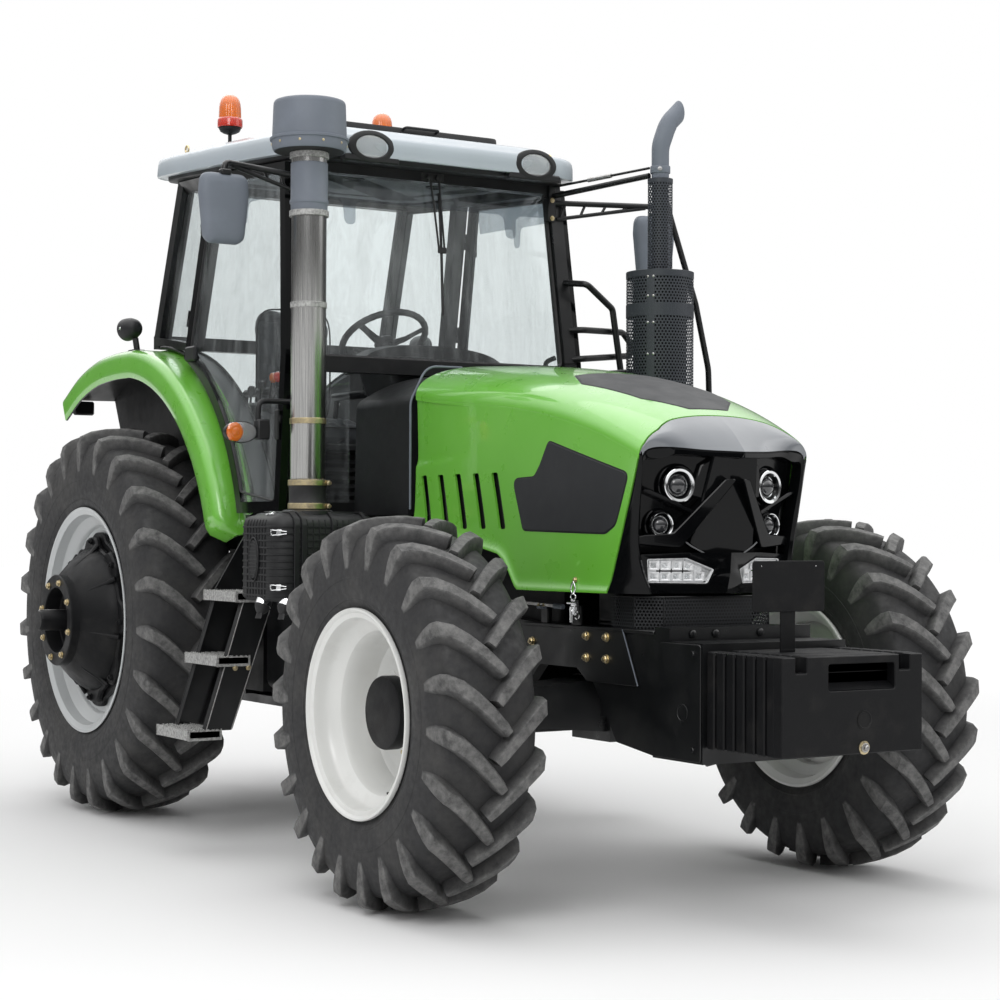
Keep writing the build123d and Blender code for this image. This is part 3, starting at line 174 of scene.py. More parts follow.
class Form:
    """Collects the shells of one piece, with a material number for each face."""

    def __init__(self):
        self.verts, self.faces, self.slots, self.wear = [], [], [], []

    def add(self, verts, faces, slot=0, wear=0.0):
        base = len(self.verts)
        self.verts += [tuple(v) for v in verts]
        self.wear += list(wear) if hasattr(wear, "__len__") else [wear] * len(verts)
        self.faces += [tuple(base + i for i in face) for face in faces]
        self.slots += [slot] * len(faces)

    def grid(self, rows, slot=0, around=False, loop=False, caps=False, wear=0.0):
        """Quads between rows of points."""
        wide, high = len(rows[0]), len(rows)
        faces = []
        for r in range(high if loop else high - 1):
            for c in range(wide if around else wide - 1):
                s, d = (r + 1) % high, (c + 1) % wide
                faces.append((r * wide + c, r * wide + d, s * wide + d, s * wide + c))
        if caps:
            faces.append(tuple(range(wide))[::-1])
            faces.append(tuple((high - 1) * wide + i for i in range(wide)))
        self.add([p for row in rows for p in row], faces, slot, wear)

    def lathe(self, origin, axis, profile, slot=0, steps=48, loop=False, caps=True):
        """Turns (along, radius) pairs about an axis."""
        axis = Vector(axis).normalized()
        u, v = frame_of(axis)
        rows = []
        for along, radius in profile:
            middle = Vector(origin) + axis * along
            rows.append([middle + (u * cos(2 * pi * k / steps) + v * sin(2 * pi * k / steps))
                         * max(radius, 2e-4) for k in range(steps)])
        self.grid(rows, slot, around=True, loop=loop, caps=caps and not loop)

    def rod(self, start, end, radius, slot=0, steps=20, edge=0.0015):
        """A round bar with softened ends."""
        start, end = Vector(start), Vector(end)
        length = (end - start).length
        edge = min(edge, radius / 2, length / 3)
        self.lathe(start, end - start, ((0, radius - edge), (edge, radius),
                                        (length - edge, radius), (length, radius - edge)),
                   slot, steps)

    def tube(self, points, radius, slot=0, sides=14, bend=0.0, caps=True, flat=1.0, steps=5):
        """A round or flattened tube along a path."""
        path = rounded(points, bend, steps) if bend else [Vector(p) for p in points]
        radii = list(radius) if hasattr(radius, "__len__") else [radius] * len(path)
        first = (path[1] - path[0]).normalized()
        u, _ = frame_of(first)
        rows = []
        for i, p in enumerate(path):
            ahead = (path[min(i + 1, len(path) - 1)] - path[max(i - 1, 0)]).normalized()
            u = (u - ahead * u.dot(ahead)).normalized()
            v = ahead.cross(u)
            rows.append([p + (u * cos(2 * pi * k / sides) + v * sin(2 * pi * k / sides) * flat)
                         * radii[i] for k in range(sides)])
        self.grid(rows, slot, around=True, caps=caps)

    def block(self, low, high, slot=0, edge=0.003, place=None):
        """A box with softened edges, from its low to its high corner."""
        low, high = Vector(low), Vector(high)
        low, high = (Vector(map(min, low, high)), Vector(map(max, low, high)))
        edge = min(edge, *((high - low) / 3))
        verts, number = [], {}
        corners = [(i, j, k) for i in (0, 1) for j in (0, 1) for k in (0, 1)]
        for c in corners:
            for face in range(3):
                p = Vector([(low, high)[c[a]][a] for a in range(3)])
                for a in range(3):
                    if a != face:
                        p[a] += edge if c[a] == 0 else -edge
                number[c, face] = len(verts)
                verts.append(place(p) if place else p)
        faces = [tuple(number[c, face] for face in range(3)) for c in corners]
        for a in range(3):
            b, d = (a + 1) % 3, (a + 2) % 3
            for end in (0, 1):
                ring = []
                for s, t in ((0, 0), (1, 0), (1, 1), (0, 1)):
                    c = [0, 0, 0]
                    c[a], c[b], c[d] = end, s, t
                    ring.append(number[tuple(c), a])
                faces.append(tuple(ring))
            for s in (0, 1):
                for t in (0, 1):
                    c = [0, 0, 0]
                    c[b], c[d] = s, t
                    e = list(c)
                    e[a] = 1
                    c, e = tuple(c), tuple(e)
                    faces.append((number[c, b], number[c, d], number[e, d], number[e, b]))
        self.add(verts, faces, slot)

    def plate(self, outline, place, low, high, slot=0, edge=0.002):
        """An outline pushed from depth low to high; place(u, v, depth) puts it in the frame."""
        edge = min(edge, abs(high - low) / 2.5)
        way = 1 if high > low else -1
        rings = ((low, edge), (low + way * edge, 0), (high - way * edge, 0), (high, edge))
        if edge <= 0:
            rings = ((low, 0), (high, 0))
        rows = [[place(p[0], p[1], depth) for p in inset(outline, draw)] for depth, draw in rings]
        self.grid(rows, slot, around=True, caps=True)

    def pocketed(self, outline, hole, place, low, high, floor, slot=0, edge=0.003):
        """An outline pushed from depth low to high, with a pocket sunk in its low face."""
        first = len(self.verts)
        self.grid([[place(p[0], p[1], depth) for p in inset(outline, draw)] for depth, draw in
                   ((low, edge), (low + edge, 0), (high - edge, 0), (high, edge))], slot,
                  around=True)
        back = len(self.verts) - len(outline)
        second = len(self.verts)
        self.grid([[place(p[0], p[1], depth) for p in inset(hole, draw)] for depth, draw in
                   ((low, -edge), (low + edge, 0), (floor, 0))], slot, around=True)
        bottom = len(self.verts) - len(hole)
        loops = [[Vector((p[0], p[1], 0)) for p in loop]
                 for loop in (inset(outline, edge), inset(hole, -edge))]
        front = [tuple(first + i if i < len(outline) else second + i - len(outline)
                       for i in face) for face in tessellate_polygon(loops)]
        front.append(tuple(back + i for i in range(len(outline))))
        front.append(tuple(bottom + i for i in range(len(hole))))
        self.faces += front
        self.slots += [slot] * len(front)

    def bolt(self, at, axis, size=0.011, slot=0, stud=0.4):
        """A hexagon head on a washer, with a domed end."""
        at, axis = Vector(at), Vector(axis).normalized()
        self.lathe(at, axis, ((0, size * 1.35), (size * 0.2, size * 1.35), (size * 0.25, size)),
                   slot, 16)
        u, v = frame_of(axis)
        rows = []
        for along, radius in ((size * 0.2, 1.1), (size * 0.85, 1.1), (size, 0.95)):
            rows.append([at + axis * along + (u * cos(pi * k / 3) + v * sin(pi * k / 3))
                         * radius * size for k in range(6)])
        self.grid(rows, slot, around=True, caps=True)
        if stud:
            self.lathe(at, axis, ((size * 0.9, size * 0.55), (size * (0.95 + stud), size * 0.55),
                                  (size * (1.05 + stud), size * 0.35)), slot, 12)

    def mesh_sheet(self, place, width, height, pitch, hole, slot=0, around=False):
        """A sheet of round holes in a hexagonal pattern; place(u, v) puts it in the frame."""
        across = max(1, round(width / pitch))
        step_u = width / across
        down = max(1, round(height / (step_u * HEX_ROW)))
        step_v = height / down
        for j in range(down):
            shift = 0.5 * (j % 2)
            for i in range(across if around else across - (j % 2)):
                middle = Vector(((i + 0.5 + shift) * step_u, (j + 0.5) * step_v))
                outer, inner = [], []
                for k in range(6):
                    a = pi / 6 + pi / 3 * k
                    reach = Vector((cos(a) * step_u * HEX_ACROSS, sin(a) * step_v * HEX_UP))
                    outer.append(place(*(middle + reach)))
                    inner.append(place(*(middle + reach.normalized() * hole)))
                self.grid([outer, inner], slot, around=True)


MATERIALS = {}


def piece(name, form, materials, body, replaces=(), angle=32):
    """Makes a Form into a piece that rides on a body."""
    mesh = bpy.data.meshes.new(name)
    mesh.from_pydata(form.verts, [], form.faces)
    for material in materials:
        mesh.materials.append(MATERIALS[material])
    mesh.polygons.foreach_set("material_index", form.slots)
    if any(form.wear):
        mesh.attributes.new("wear", "FLOAT", "POINT").data.foreach_set("value", form.wear)
    work = bmesh.new()
    work.from_mesh(mesh)
    bmesh.ops.recalc_face_normals(work, faces=work.faces)
    work.to_mesh(mesh)
    work.free()
    mesh.shade_smooth()
    mesh.set_sharp_from_angle(angle=radians(angle))
    obj = bpy.data.objects.new(name, mesh)
    bpy.context.scene.collection.objects.link(obj)
    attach(obj, body)
    if replaces:
        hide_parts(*replaces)
    return obj


# ------------------------------------------------------------------ materials
class Look:
    """A node material built around one Principled shader."""

    def __init__(self, name, colour, rough, metal=0.0, coat=0.0, coat_rough=0.06, level=0.5):
        self.material = bpy.data.materials.new(name)
        self.material.use_nodes = True
        self.tree = self.material.node_tree
        self.shader = self.tree.nodes["Principled BSDF"]
        self.put("Base Color", (*colour, 1))
        self.put("Roughness", rough)
        self.put("Metallic", metal)
        self.put("Coat Weight", coat)
        self.put("Coat Roughness", coat_rough)
        self.put("Specular IOR Level", level)
        self.colour = colour
        self.coords = self.tree.nodes.new("ShaderNodeTexCoord").outputs["Object"]
        MATERIALS[name] = self.material

    def put(self, socket, value):
        self.shader.inputs[socket].default_value = value

    def link(self, output, socket):
        self.tree.links.new(output, socket)

    def node(self, kind, **values):
        made = self.tree.nodes.new(kind)
        for key, value in values.items():
            setattr(made, key, value)
        return made

    def stretch(self, scale):
        """Object coordinates, scaled along each axis."""
        mapping = self.node("ShaderNodeMapping")
        mapping.inputs["Scale"].default_value = scale
        self.link(self.coords, mapping.inputs["Vector"])
        return mapping.outputs["Vector"]

    def noise(self, scale, detail=4.0, rough=0.55, stretch=None, distort=0.0):
        made = self.node("ShaderNodeTexNoise")
        made.inputs["Scale"].default_value = scale
        made.inputs["Detail"].default_value = detail
        made.inputs["Roughness"].default_value = rough
        made.inputs["Distortion"].default_value = distort
        self.link(self.stretch(stretch) if stretch else self.coords, made.inputs["Vector"])
        return made.outputs["Fac"]

    def pattern(self, kind, output, scale, distort=None, **values):
        """A wave or cell texture over the object's coordinates."""
        made = self.node("ShaderNodeTex" + kind, **values)
        made.inputs["Scale"].default_value = scale
        if distort is not None:
            made.inputs["Distortion"].default_value = distort
        self.link(self.coords, made.inputs["Vector"])
        return made.outputs[output]

    def ramp(self, factor, low, high, start=0.0, end=1.0):
        """A value moved from start to end as the factor goes from low to high."""
        made = self.node("ShaderNodeMapRange")
        for key, value in zip(("From Min", "From Max", "To Min", "To Max"),
                              (low, high, start, end)):
            made.inputs[key].default_value = value
        self.link(factor, made.inputs["Value"])
        return made.outputs["Result"]

    def math(self, kind, a, b):
        made = self.node("ShaderNodeMath", operation=kind)
        for socket, value in zip(made.inputs, (a, b)):
            if isinstance(value, (int, float)):
                socket.default_value = value
            else:
                self.link(value, socket)
        return made.outputs[0]

    def tint(self, factor, other, base=None):
        """Base colour moved to another colour by a factor."""
        made = self.node("ShaderNodeMix", data_type="RGBA")
        made.inputs["Factor"].default_value = 0
        self.link(factor, made.inputs["Factor"])
        if base is None:
            made.inputs["A"].default_value = (*self.colour, 1)
        else:
            self.link(base, made.inputs["A"])
        made.inputs["B"].default_value = (*other, 1)
        self.link(made.outputs["Result"], self.shader.inputs["Base Color"])
        return made.outputs["Result"]

    def roughen(self, factor, low, high, start, end):
        self.link(self.ramp(factor, low, high, start, end), self.shader.inputs["Roughness"])

    def bump(self, height, strength, distance, normal=None):
        made = self.node("ShaderNodeBump")
        made.inputs["Strength"].default_value = strength
        made.inputs["Distance"].default_value = distance
        self.link(height, made.inputs["Height"])
        if normal is not None:
            self.link(normal, made.inputs["Normal"])
        self.link(made.outputs["Normal"], self.shader.inputs["Normal"])
        return made.outputs["Normal"]


def finish(name, colour, rough, patches=None, gloss=None, grain=None, **shading):
    """A Look with patches of another colour, uneven gloss and a fine grain.

    patches: the noise, the factor's low and high, the most it mixes in, and the other colour
    gloss: the noise, its low and high, and the roughness at each
    grain: the noise, the bump's strength and its distance
    """
    look = Look(name, colour, rough, **shading)
    if patches:
        noise, low, high, most, other = patches
        look.tint(look.ramp(look.noise(*noise), low, high, 0.0, most), other)
    if gloss:
        noise, *span = gloss
        look.roughen(look.noise(*noise), *span)
    if grain:
        noise, strength, distance = grain
        look.bump(look.noise(*noise), strength, distance)
    return look


def make_materials():
    """All the finishes, each with its own grain, wear and dirt."""
    # Sprayed body paint under a clear coat, with orange peel and a little road dust.
    look = finish("green_paint", (0.150, 0.490, 0.045), 0.30,
                  ((2.3, 3), 0.35, 0.7, 0.5, (0.190, 0.545, 0.070)),
                  ((14, 6), 0.3, 0.75, 0.24, 0.42), coat=0.9, coat_rough=0.05)
    look.bump(look.noise(260, 2), 0.05, 0.0006, look.bump(look.noise(5, 2), 0.06, 0.004))

    for name, colour, rough in (("black_paint", (0.0065, 0.0070, 0.0080), 0.36),
                                ("frame_black", (0.0050, 0.0055, 0.0062), 0.33)):
        finish(name, colour, rough, ((6, 8, 0.65), 0.52, 0.9, 0.25, (0.060, 0.058, 0.053)),
               ((9, 6), 0.3, 0.7, rough - 0.06, rough + 0.2), ((180, 3), 0.12, 0.0006),
               coat=0.12, coat_rough=0.18, level=0.38)

    finish("black_gloss", (0.0028, 0.0031, 0.0036), 0.16,
           ((4, 5), 0.5, 0.9, 0.3, (0.009, 0.0095, 0.010)), ((7, 5), 0.35, 0.75, 0.10, 0.26),
           ((90, 2), 0.04, 0.0008), coat=0.11, coat_rough=0.03, level=0.14)
    # The visor's glossy black, lightened to a satin grey: painted reflection of the sky.
    finish("satin_visor", (0.165, 0.178, 0.195), 0.30,
           ((5, 6), 0.4, 0.8, 0.4, (0.205, 0.218, 0.236)), ((11, 6), 0.3, 0.7, 0.26, 0.44),
           ((420, 2), 0.08, 0.0004), coat=0.8, coat_rough=0.12)

    for name, colour, rough, grain in (("black_plastic", (0.0085, 0.0090, 0.0100), 0.46, 320),
                                       ("matt_panel", (0.0185, 0.0200, 0.0225), 0.52, 420),
                                       ("exhaust_black", (0.036, 0.041, 0.050), 0.42, 300),
                                       ("grey_plastic", (0.150, 0.170, 0.202), 0.50, 360)):
        pale = tuple(c * 1.5 + 0.006 for c in colour)
        finish(name, colour, rough, ((5, 7, 0.62), 0.48, 0.85, 0.4, pale),
               ((8, 5), 0.3, 0.7, rough - 0.05, rough + 0.12), ((grain, 2), 0.22, 0.0005),
               level=0.4)

    finish("roof_grey", (0.430, 0.485, 0.530), 0.34,
           ((3, 6), 0.42, 0.85, 0.5, (0.36, 0.40, 0.43)), ((10, 5), 0.3, 0.7, 0.28, 0.46),
           ((240, 2), 0.07, 0.0006), coat=0.5, coat_rough=0.12)
    finish("cast_black", (0.0060, 0.0062, 0.0070), 0.45,
           ((7, 8, 0.66), 0.52, 0.9, 0.3, (0.062, 0.058, 0.052)),
           ((12, 6), 0.3, 0.7, 0.34, 0.6), ((140, 5, 0.6), 0.35, 0.0012),
           coat=0.03, coat_rough=0.25, level=0.17)
    for name, colour in (("white_rim", (0.76, 0.765, 0.745)), ("grey_rim", (0.54, 0.56, 0.565))):
        finish(name, colour, 0.34, ((5, 8, 0.66), 0.52, 0.9, 0.4, (0.36, 0.34, 0.30)),
               ((9, 6), 0.3, 0.7, 0.28, 0.5), ((160, 3), 0.08, 0.0006),
               coat=0.35, coat_rough=0.15)

    # Rubber: paler and scuffed on the lugs, dusty between them, fine scratches all over.
    look = Look("tyre", (0.0240, 0.0240, 0.0252), 0.60, level=0.4)
    wear = look.node("ShaderNodeAttribute", attribute_name="wear").outputs["Fac"]
    scuff = look.math("MULTIPLY", wear, look.ramp(look.noise(26, 8, 0.7), 0.34, 0.68, 0.15, 1.0))
    base = look.tint(scuff, (0.190, 0.188, 0.184))
    dusty = look.math("SUBTRACT", look.ramp(look.noise(5.5, 8, 0.68), 0.46, 0.76, 0.0, 0.62),
                      look.math("MULTIPLY", wear, 0.2))
    base = look.tint(look.math("MAXIMUM", dusty, 0.0), (0.072, 0.070, 0.066), base)
    scratch = look.noise(9, 9, 0.75, stretch=(9, 1.5, 26), distort=1.5)
    look.tint(look.ramp(scratch, 0.70, 0.80, 0.0, 0.45), (0.19, 0.188, 0.18), base)
    look.roughen(look.noise(40, 5), 0.3, 0.7, 0.52, 0.8)
    look.bump(look.noise(300, 3), 0.3, 0.0006, look.bump(look.noise(22, 5), 0.25, 0.003))

    # Brushed tube: fine lines along the grain and faint heat stains.
    look = Look("stainless", (0.47, 0.468, 0.455), 0.26, metal=1.0)
    lines = look.noise(60, 3, 0.6, stretch=(14, 14, 0.05))
    look.tint(look.ramp(lines, 0.38, 0.62, 0.0, 0.85), (0.24, 0.24, 0.24))
    look.roughen(lines, 0.3, 0.7, 0.16, 0.38)
    look.bump(lines, 0.12, 0.0005)

    finish("chrome", (0.78, 0.79, 0.80), 0.10, None, ((40, 3), 0.3, 0.7, 0.06, 0.2),
           ((200, 2), 0.04, 0.0003), metal=1.0)
    finish("zinc", (0.62, 0.52, 0.31), 0.34,
           ((120, 4), 0.4, 0.7, 0.8, (0.42, 0.36, 0.27)), ((150, 4), 0.3, 0.7, 0.28, 0.5),
           ((400, 2), 0.1, 0.0003), metal=1.0)
    finish("steel", (0.42, 0.42, 0.42), 0.36,
           ((60, 5), 0.4, 0.75, 0.7, (0.20, 0.17, 0.14)), ((80, 4), 0.3, 0.7, 0.28, 0.5),
           ((300, 3), 0.1, 0.0004), metal=1.0)
    # Galvanised treads, scoured and speckled.
    finish("galvanised", (0.50, 0.50, 0.49), 0.55,
           ((95, 6, 0.7), 0.42, 0.62, 0.85, (0.20, 0.20, 0.195)),
           ((70, 4), 0.3, 0.7, 0.45, 0.7), ((130, 5, 0.7), 0.5, 0.0015), metal=0.55)
    # Near-black: black in its own right on dials, hinge lugs and joints; painted shade on the
    # sheets set behind openings.
    finish("dark_cavity", (0.006, 0.006, 0.0065), 0.6, grain=((60, 3), 0.2, 0.001))
    finish("rubber_seal", (0.012, 0.012, 0.013), 0.58, None, ((30, 4), 0.3, 0.7, 0.5, 0.7),
           ((150, 3), 0.15, 0.0006))
    finish("cab_grey", (0.16, 0.165, 0.17), 0.55,
           ((6, 6), 0.45, 0.8, 0.4, (0.10, 0.10, 0.105)), None, ((350, 2), 0.2, 0.0005))

    look = Look("seat_fabric", (0.055, 0.058, 0.064), 0.85)
    look.put("Sheen Weight", 0.35)
    look.put("Sheen Roughness", 0.5)
    weave = look.pattern("Wave", "Fac", 220, 0.8, wave_type="BANDS", bands_direction="DIAGONAL")
    look.tint(look.ramp(weave, 0.3, 0.8, 0.0, 0.5), (0.095, 0.10, 0.11))
    look.bump(weave, 0.35, 0.0006)

    for name, colour in (("amber", (0.95, 0.20, 0.012)), ("red_lens", (0.75, 0.035, 0.012))):
        look = Look(name, colour, 0.14, coat=0.8, coat_rough=0.03)
        look.put("Transmission Weight", 0.35)
        look.put("IOR", 1.49)
        ribs = look.pattern("Wave", "Fac", 40, wave_type="BANDS", bands_direction="Z")
        look.tint(look.ramp(ribs, 0.2, 0.9, 0.0, 0.5),
                  tuple(min(1, c * 1.25 + 0.02) for c in colour))
        look.bump(ribs, 0.2, 0.0008)

    look = Look("lamp_glass", (0.93, 0.95, 0.96), 0.05, coat=0.5, coat_rough=0.03)
    look.put("Transmission Weight", 0.78)
    look.put("IOR", 1.45)
    look.bump(look.pattern("Voronoi", "Distance", 90), 0.25, 0.001)

    look = Look("reflector", (0.88, 0.89, 0.90), 0.25, metal=0.2)
    look.bump(look.pattern("Voronoi", "Distance", 60), 0.6, 0.003)

    finish("dark_lens", (0.030, 0.031, 0.034), 0.06, gloss=((30, 3), 0.3, 0.7, 0.04, 0.12),
           coat=1.0, coat_rough=0.02)
    finish("mirror_glass", (0.80, 0.82, 0.83), 0.03, gloss=((12, 4), 0.3, 0.7, 0.02, 0.09),
           metal=1.0)

    # Cab glass: clear with a green-grey cast, dust in streaks, stronger gloss when seen flat.
    for name, tint, dust in (("window_glass", (0.955, 0.975, 0.975), 0.05),
                             ("tinted_glass", (0.50, 0.53, 0.56), 0.05)):
        look = Look(name, (0.80, 0.83, 0.84), 0.5)
        clear = look.node("ShaderNodeBsdfTransparent")
        clear.inputs["Color"].default_value = (*tint, 1)
        gloss = look.node("ShaderNodeBsdfGlossy")
        gloss.inputs["Color"].default_value = (0.92, 0.95, 0.97, 1)
        gloss.inputs["Roughness"].default_value = 0.035
        facing = look.node("ShaderNodeLayerWeight")
        facing.inputs["Blend"].default_value = 0.5
        glance = look.math("POWER", facing.outputs["Facing"], 5.0)
        shine = look.node("ShaderNodeMixShader")
        look.link(look.math("ADD", look.math("MULTIPLY", glance, 0.96), 0.04),
                  shine.inputs["Fac"])
        look.link(clear.outputs["BSDF"], shine.inputs[1])
        look.link(gloss.outputs["BSDF"], shine.inputs[2])
        streaks = look.noise(5, 9, 0.7, stretch=(3, 3, 0.6), distort=0.6)
        film = look.node("ShaderNodeMixShader")
        look.link(look.ramp(streaks, 0.45, 0.75, 0.015, dust * 2.4), film.inputs["Fac"])
        look.link(shine.outputs["Shader"], film.inputs[1])
        look.link(look.shader.outputs["BSDF"], film.inputs[2])
        output = look.tree.nodes["Material Output"]
        look.link(film.outputs["Shader"], output.inputs["Surface"])


make_materials()


# ------------------------------------------------------------------ stage and light
def make_stage():
    """The floor, the white backdrop and the lamps of the studio."""
    floor_mesh = bpy.data.meshes.new("floor")
    far = 60
    floor_mesh.from_pydata([(-far, -far, 0), (far, -far, 0), (far, far, 0), (-far, far, 0)], [],
                           [(0, 1, 2, 3)])
    # A pale floor that runs out into the white backdrop a few metres off.
    look = Look("pale_floor", (0.93, 0.93, 0.93), 0.85, level=0.1)
    reach = look.node("ShaderNodeVectorMath", operation="LENGTH")
    look.link(look.coords, reach.inputs[0])
    fade = look.ramp(reach.outputs["Value"], 4.0, 11.0)
    look.tint(fade, (0, 0, 0))
    look.put("Emission Color", (1, 1, 1, 1))
    look.link(fade, look.shader.inputs["Emission Strength"])
    look.bump(look.noise(30, 3), 0.02, 0.001)
    floor_mesh.materials.append(MATERIALS["pale_floor"])
    floor = bpy.data.objects.new("floor", floor_mesh)
    bpy.context.scene.collection.objects.link(floor)

    world = bpy.data.worlds.new("studio")
    bpy.context.scene.world = world
    world.use_nodes = True
    tree = world.node_tree
    coords = tree.nodes.new("ShaderNodeTexCoord")
    split = tree.nodes.new("ShaderNodeSeparateXYZ")
    tree.links.new(coords.outputs["Generated"], split.inputs[0])

    def sky(low_z, high_z, low, high, kind):
        height = tree.nodes.new("ShaderNodeMapRange")
        height.interpolation_type = kind
        for key, value in zip(("From Min", "From Max", "To Min", "To Max"),
                              (low_z, high_z, low, high)):
            height.inputs[key].default_value = value
        tree.links.new(split.outputs["Z"], height.inputs["Value"])
        glow = tree.nodes.new("ShaderNodeBackground")
        tree.links.new(height.outputs["Result"], glow.inputs["Color"])
        return glow.outputs["Background"]

    def choose(ray, no, yes):
        path = tree.nodes.new("ShaderNodeLightPath")
        mix = tree.nodes.new("ShaderNodeMixShader")
        tree.links.new(path.outputs[ray], mix.inputs["Fac"])
        tree.links.new(no, mix.inputs[1])
        tree.links.new(yes, mix.inputs[2])
        return mix.outputs["Shader"]

    # Soft light from above, dim at the sides in reflections, white behind.
    soft = sky(0.0, 1.0, 0.46, 1.0, "LINEAR")
    shine = sky(0.04, 0.80, 0.035, 2.1, "SMOOTHSTEP")
    white = tree.nodes.new("ShaderNodeBackground")
    white.inputs["Color"].default_value = (1, 1, 1, 1)
    seen = choose("Is Camera Ray", choose("Is Glossy Ray", soft, shine),
                  white.outputs["Background"])
    tree.links.new(seen, tree.nodes["World Output"].inputs["Surface"])

    target = Vector((0, 0, 1.2))
    for name, place, size, power in (("key", (-5.5, -6.0, 6.5), 4.0, 170),
                                     ("fill", (6.5, -4.5, 5.0), 5.0, 60),
                                     ("back", (1.0, 7.5, 6.5), 6.0, 70),
                                     ("top", (0.0, 0.0, 8.5), 7.0, 110)):
        light = bpy.data.lights.new(name, "AREA")
        light.shape = "DISK"
        light.size = size
        light.energy = power
        lamp = bpy.data.objects.new(name, light)
        bpy.context.scene.collection.objects.link(lamp)
        lamp.location = place
        lamp.rotation_euler = (Vector(place) - target).to_track_quat("Z", "Y").to_euler()
    bpy.context.scene.view_settings.view_transform = "Standard"


make_stage()


# ------------------------------------------------------------------ wheels
FRONT_TRACK, REAR_TRACK = 0.94, 0.79        # from the middle of the tractor to a rim's middle
SECTION_STEPS = 144
SPREAD_FROM = 5                             # first station of a lug that lies on the sidewall
FRONT_TYRE = dict(
    lugs=22, turn=0.0,      # then (x, radius): under the lugs, over them, and down the sidewall
    skin=((0, .620), (.05, .619), (.10, .614), (.138, .603), (.158, .588), (.170, .565),
          (.1785, .535), (.1835, .505), (.1855, .485)),
    crown=((0, .665), (.05, .6635), (.10, .658), (.146, .648), (.178, .630), (.187, .600),
           (.188, .560), (.1866, .523), (.1858, .492)),
    wall=((.1862, .455), (.1848, .420), (.178, .385), (.1655, .3605), (.164, .357), (.164, .331)),
    lag=(0, .052, .098, .134, .152, .160, .163, .165, .166))
REAR_TYRE = dict(
    lugs=23, turn=0.05,
    skin=((0, .822), (.06, .8205), (.12, .814), (.162, .802), (.186, .784), (.199, .756),
          (.209, .722), (.2145, .690), (.2165, .665)),
    crown=((0, .870), (.06, .868), (.12, .861), (.172, .849), (.207, .828), (.218, .794),
           (.2195, .750), (.2183, .708), (.2168, .672)),
    wall=((.2175, .630), (.2165, .585), (.209, .545), (.194, .5125), (.192, .509), (.192, .484)),
    lag=(0, .064, .120, .160, .180, .188, .191, .193, .194))


def middle_of(name):
    """The centre of a CAD piece's box."""
    low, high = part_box(name)
    return (low + high) / 2


def make_tyre(name, body, kind):
    """A tyre turned from its section, with its lugs laid between skin and crown."""
    centre = middle_of(name)
    form = Form()

    def at(x, radius, angle):
        return centre + Vector((x, -radius * sin(angle), radius * cos(angle)))

    half = smooth([Vector(p) for p in (*kind["skin"], *kind["wall"][:-2])], 3)
    half += [Vector(p) for p in kind["wall"][-2:]]
    section = [Vector((-p.x, p.y)) for p in reversed(half[1:])] + half
    rows = [[at(p.x, p.y, 2 * pi * k / SECTION_STEPS) for k in range(SECTION_STEPS)]
            for p in section]
    form.grid(rows, around=True, loop=True)

    skin = [Vector(p) for p in kind["skin"]]
    crown = [Vector(p) for p in kind["crown"]]
    count = len(skin)
    reach = distances(crown)
    radius = crown[0].y
    # Half widths of a lug at its foot and at its top, station by station.
    base_half = (.026, .029, .032, .036, .040, .040, .036, .028, .018)
    top_half = (.016, .018, .020, .023, .026, .027, .025, .020, .012)

    def along(curve, distance):
        """A point on a section curve at a distance over the crown, negative past the middle."""
        d = abs(distance)
        for i in range(count - 1):
            if d <= reach[i + 1] or i == count - 2:
                t = (d - reach[i]) / (reach[i + 1] - reach[i])
                p = curve[i].lerp(curve[i + 1], min(t, 1.0))
                return Vector((math.copysign(p.x, distance), p.y))

    stations = [(-0.018, -0.020, 0.8)] + [(reach[i], kind["lag"][i], 1.0) for i in range(count)]
    for side in (1, -1):
        for lug in range(kind["lugs"]):
            start = 2 * pi * (lug + (0.5 if side < 0 else 0)) / kind["lugs"] + kind["turn"]
            rows, wear = [], []
            for i, (u, lag, share) in enumerate(stations):
                k = max(i - 1, 0)
                before = stations[max(i - 1, 0)]
                after = stations[min(i + 1, count)]
                along_dir = Vector((after[0] - before[0], after[1] - before[1])).normalized()
                if i >= SPREAD_FROM:
                    along_dir = Vector((1, 0.1)).normalized()
                normal = Vector((-along_dir.y, along_dir.x))
                row = []
                for way, level, half_width in (
                        (-1, -0.12, base_half[k]), (-1, 0.86, top_half[k] + 0.0035),
                        (-1, 1.0, top_half[k] - 0.002), (1, 1.0, top_half[k] - 0.002),
                        (1, 0.86, top_half[k] + 0.0035), (1, -0.12, base_half[k])):
                    du = u + normal.x * way * half_width * share * (
                        0.35 if i >= SPREAD_FROM else 1)
                    dt = lag + normal.y * way * half_width * share
                    low_p, high_p = along(skin, du), along(crown, du)
                    p = low_p.lerp(high_p, level)
                    row.append(at(p.x * side, p.y, start - dt / radius))
                    wear.append(1.0 if level > 0.95 else 0.55 if level > 0.5 else 0.0)
                rows.append(row)
            form.grid(rows, caps=False, wear=wear)
            base = len(form.verts) - len(rows) * 6
            end = len(form.verts) - 6
            form.add([], [tuple(i - len(form.verts) for i in range(base, base + 6)),
                          tuple(i - len(form.verts) for i in range(end, end + 6))])
            for r in range(len(rows) - 1):
                a = base + r * 6 - len(form.verts)
                form.add([], [(a, a + 5, a + 11, a + 6)])
    # Moulding rings on the sidewall.
    for way in (1, -1):
        for ring_x, ring_radius in (kind["wall"][0], kind["wall"][2]):
            form.lathe(centre + Vector((way * ring_x, 0, 0)), (way, 0, 0),
                       ((-.002, ring_radius + .004), (.0008, ring_radius + .0025),
                        (.0008, ring_radius - .0025), (-.002, ring_radius - .004)),
                       steps=SECTION_STEPS, caps=False)
    piece(name + ".form", form, ["tyre"], body, (name,), angle=40)


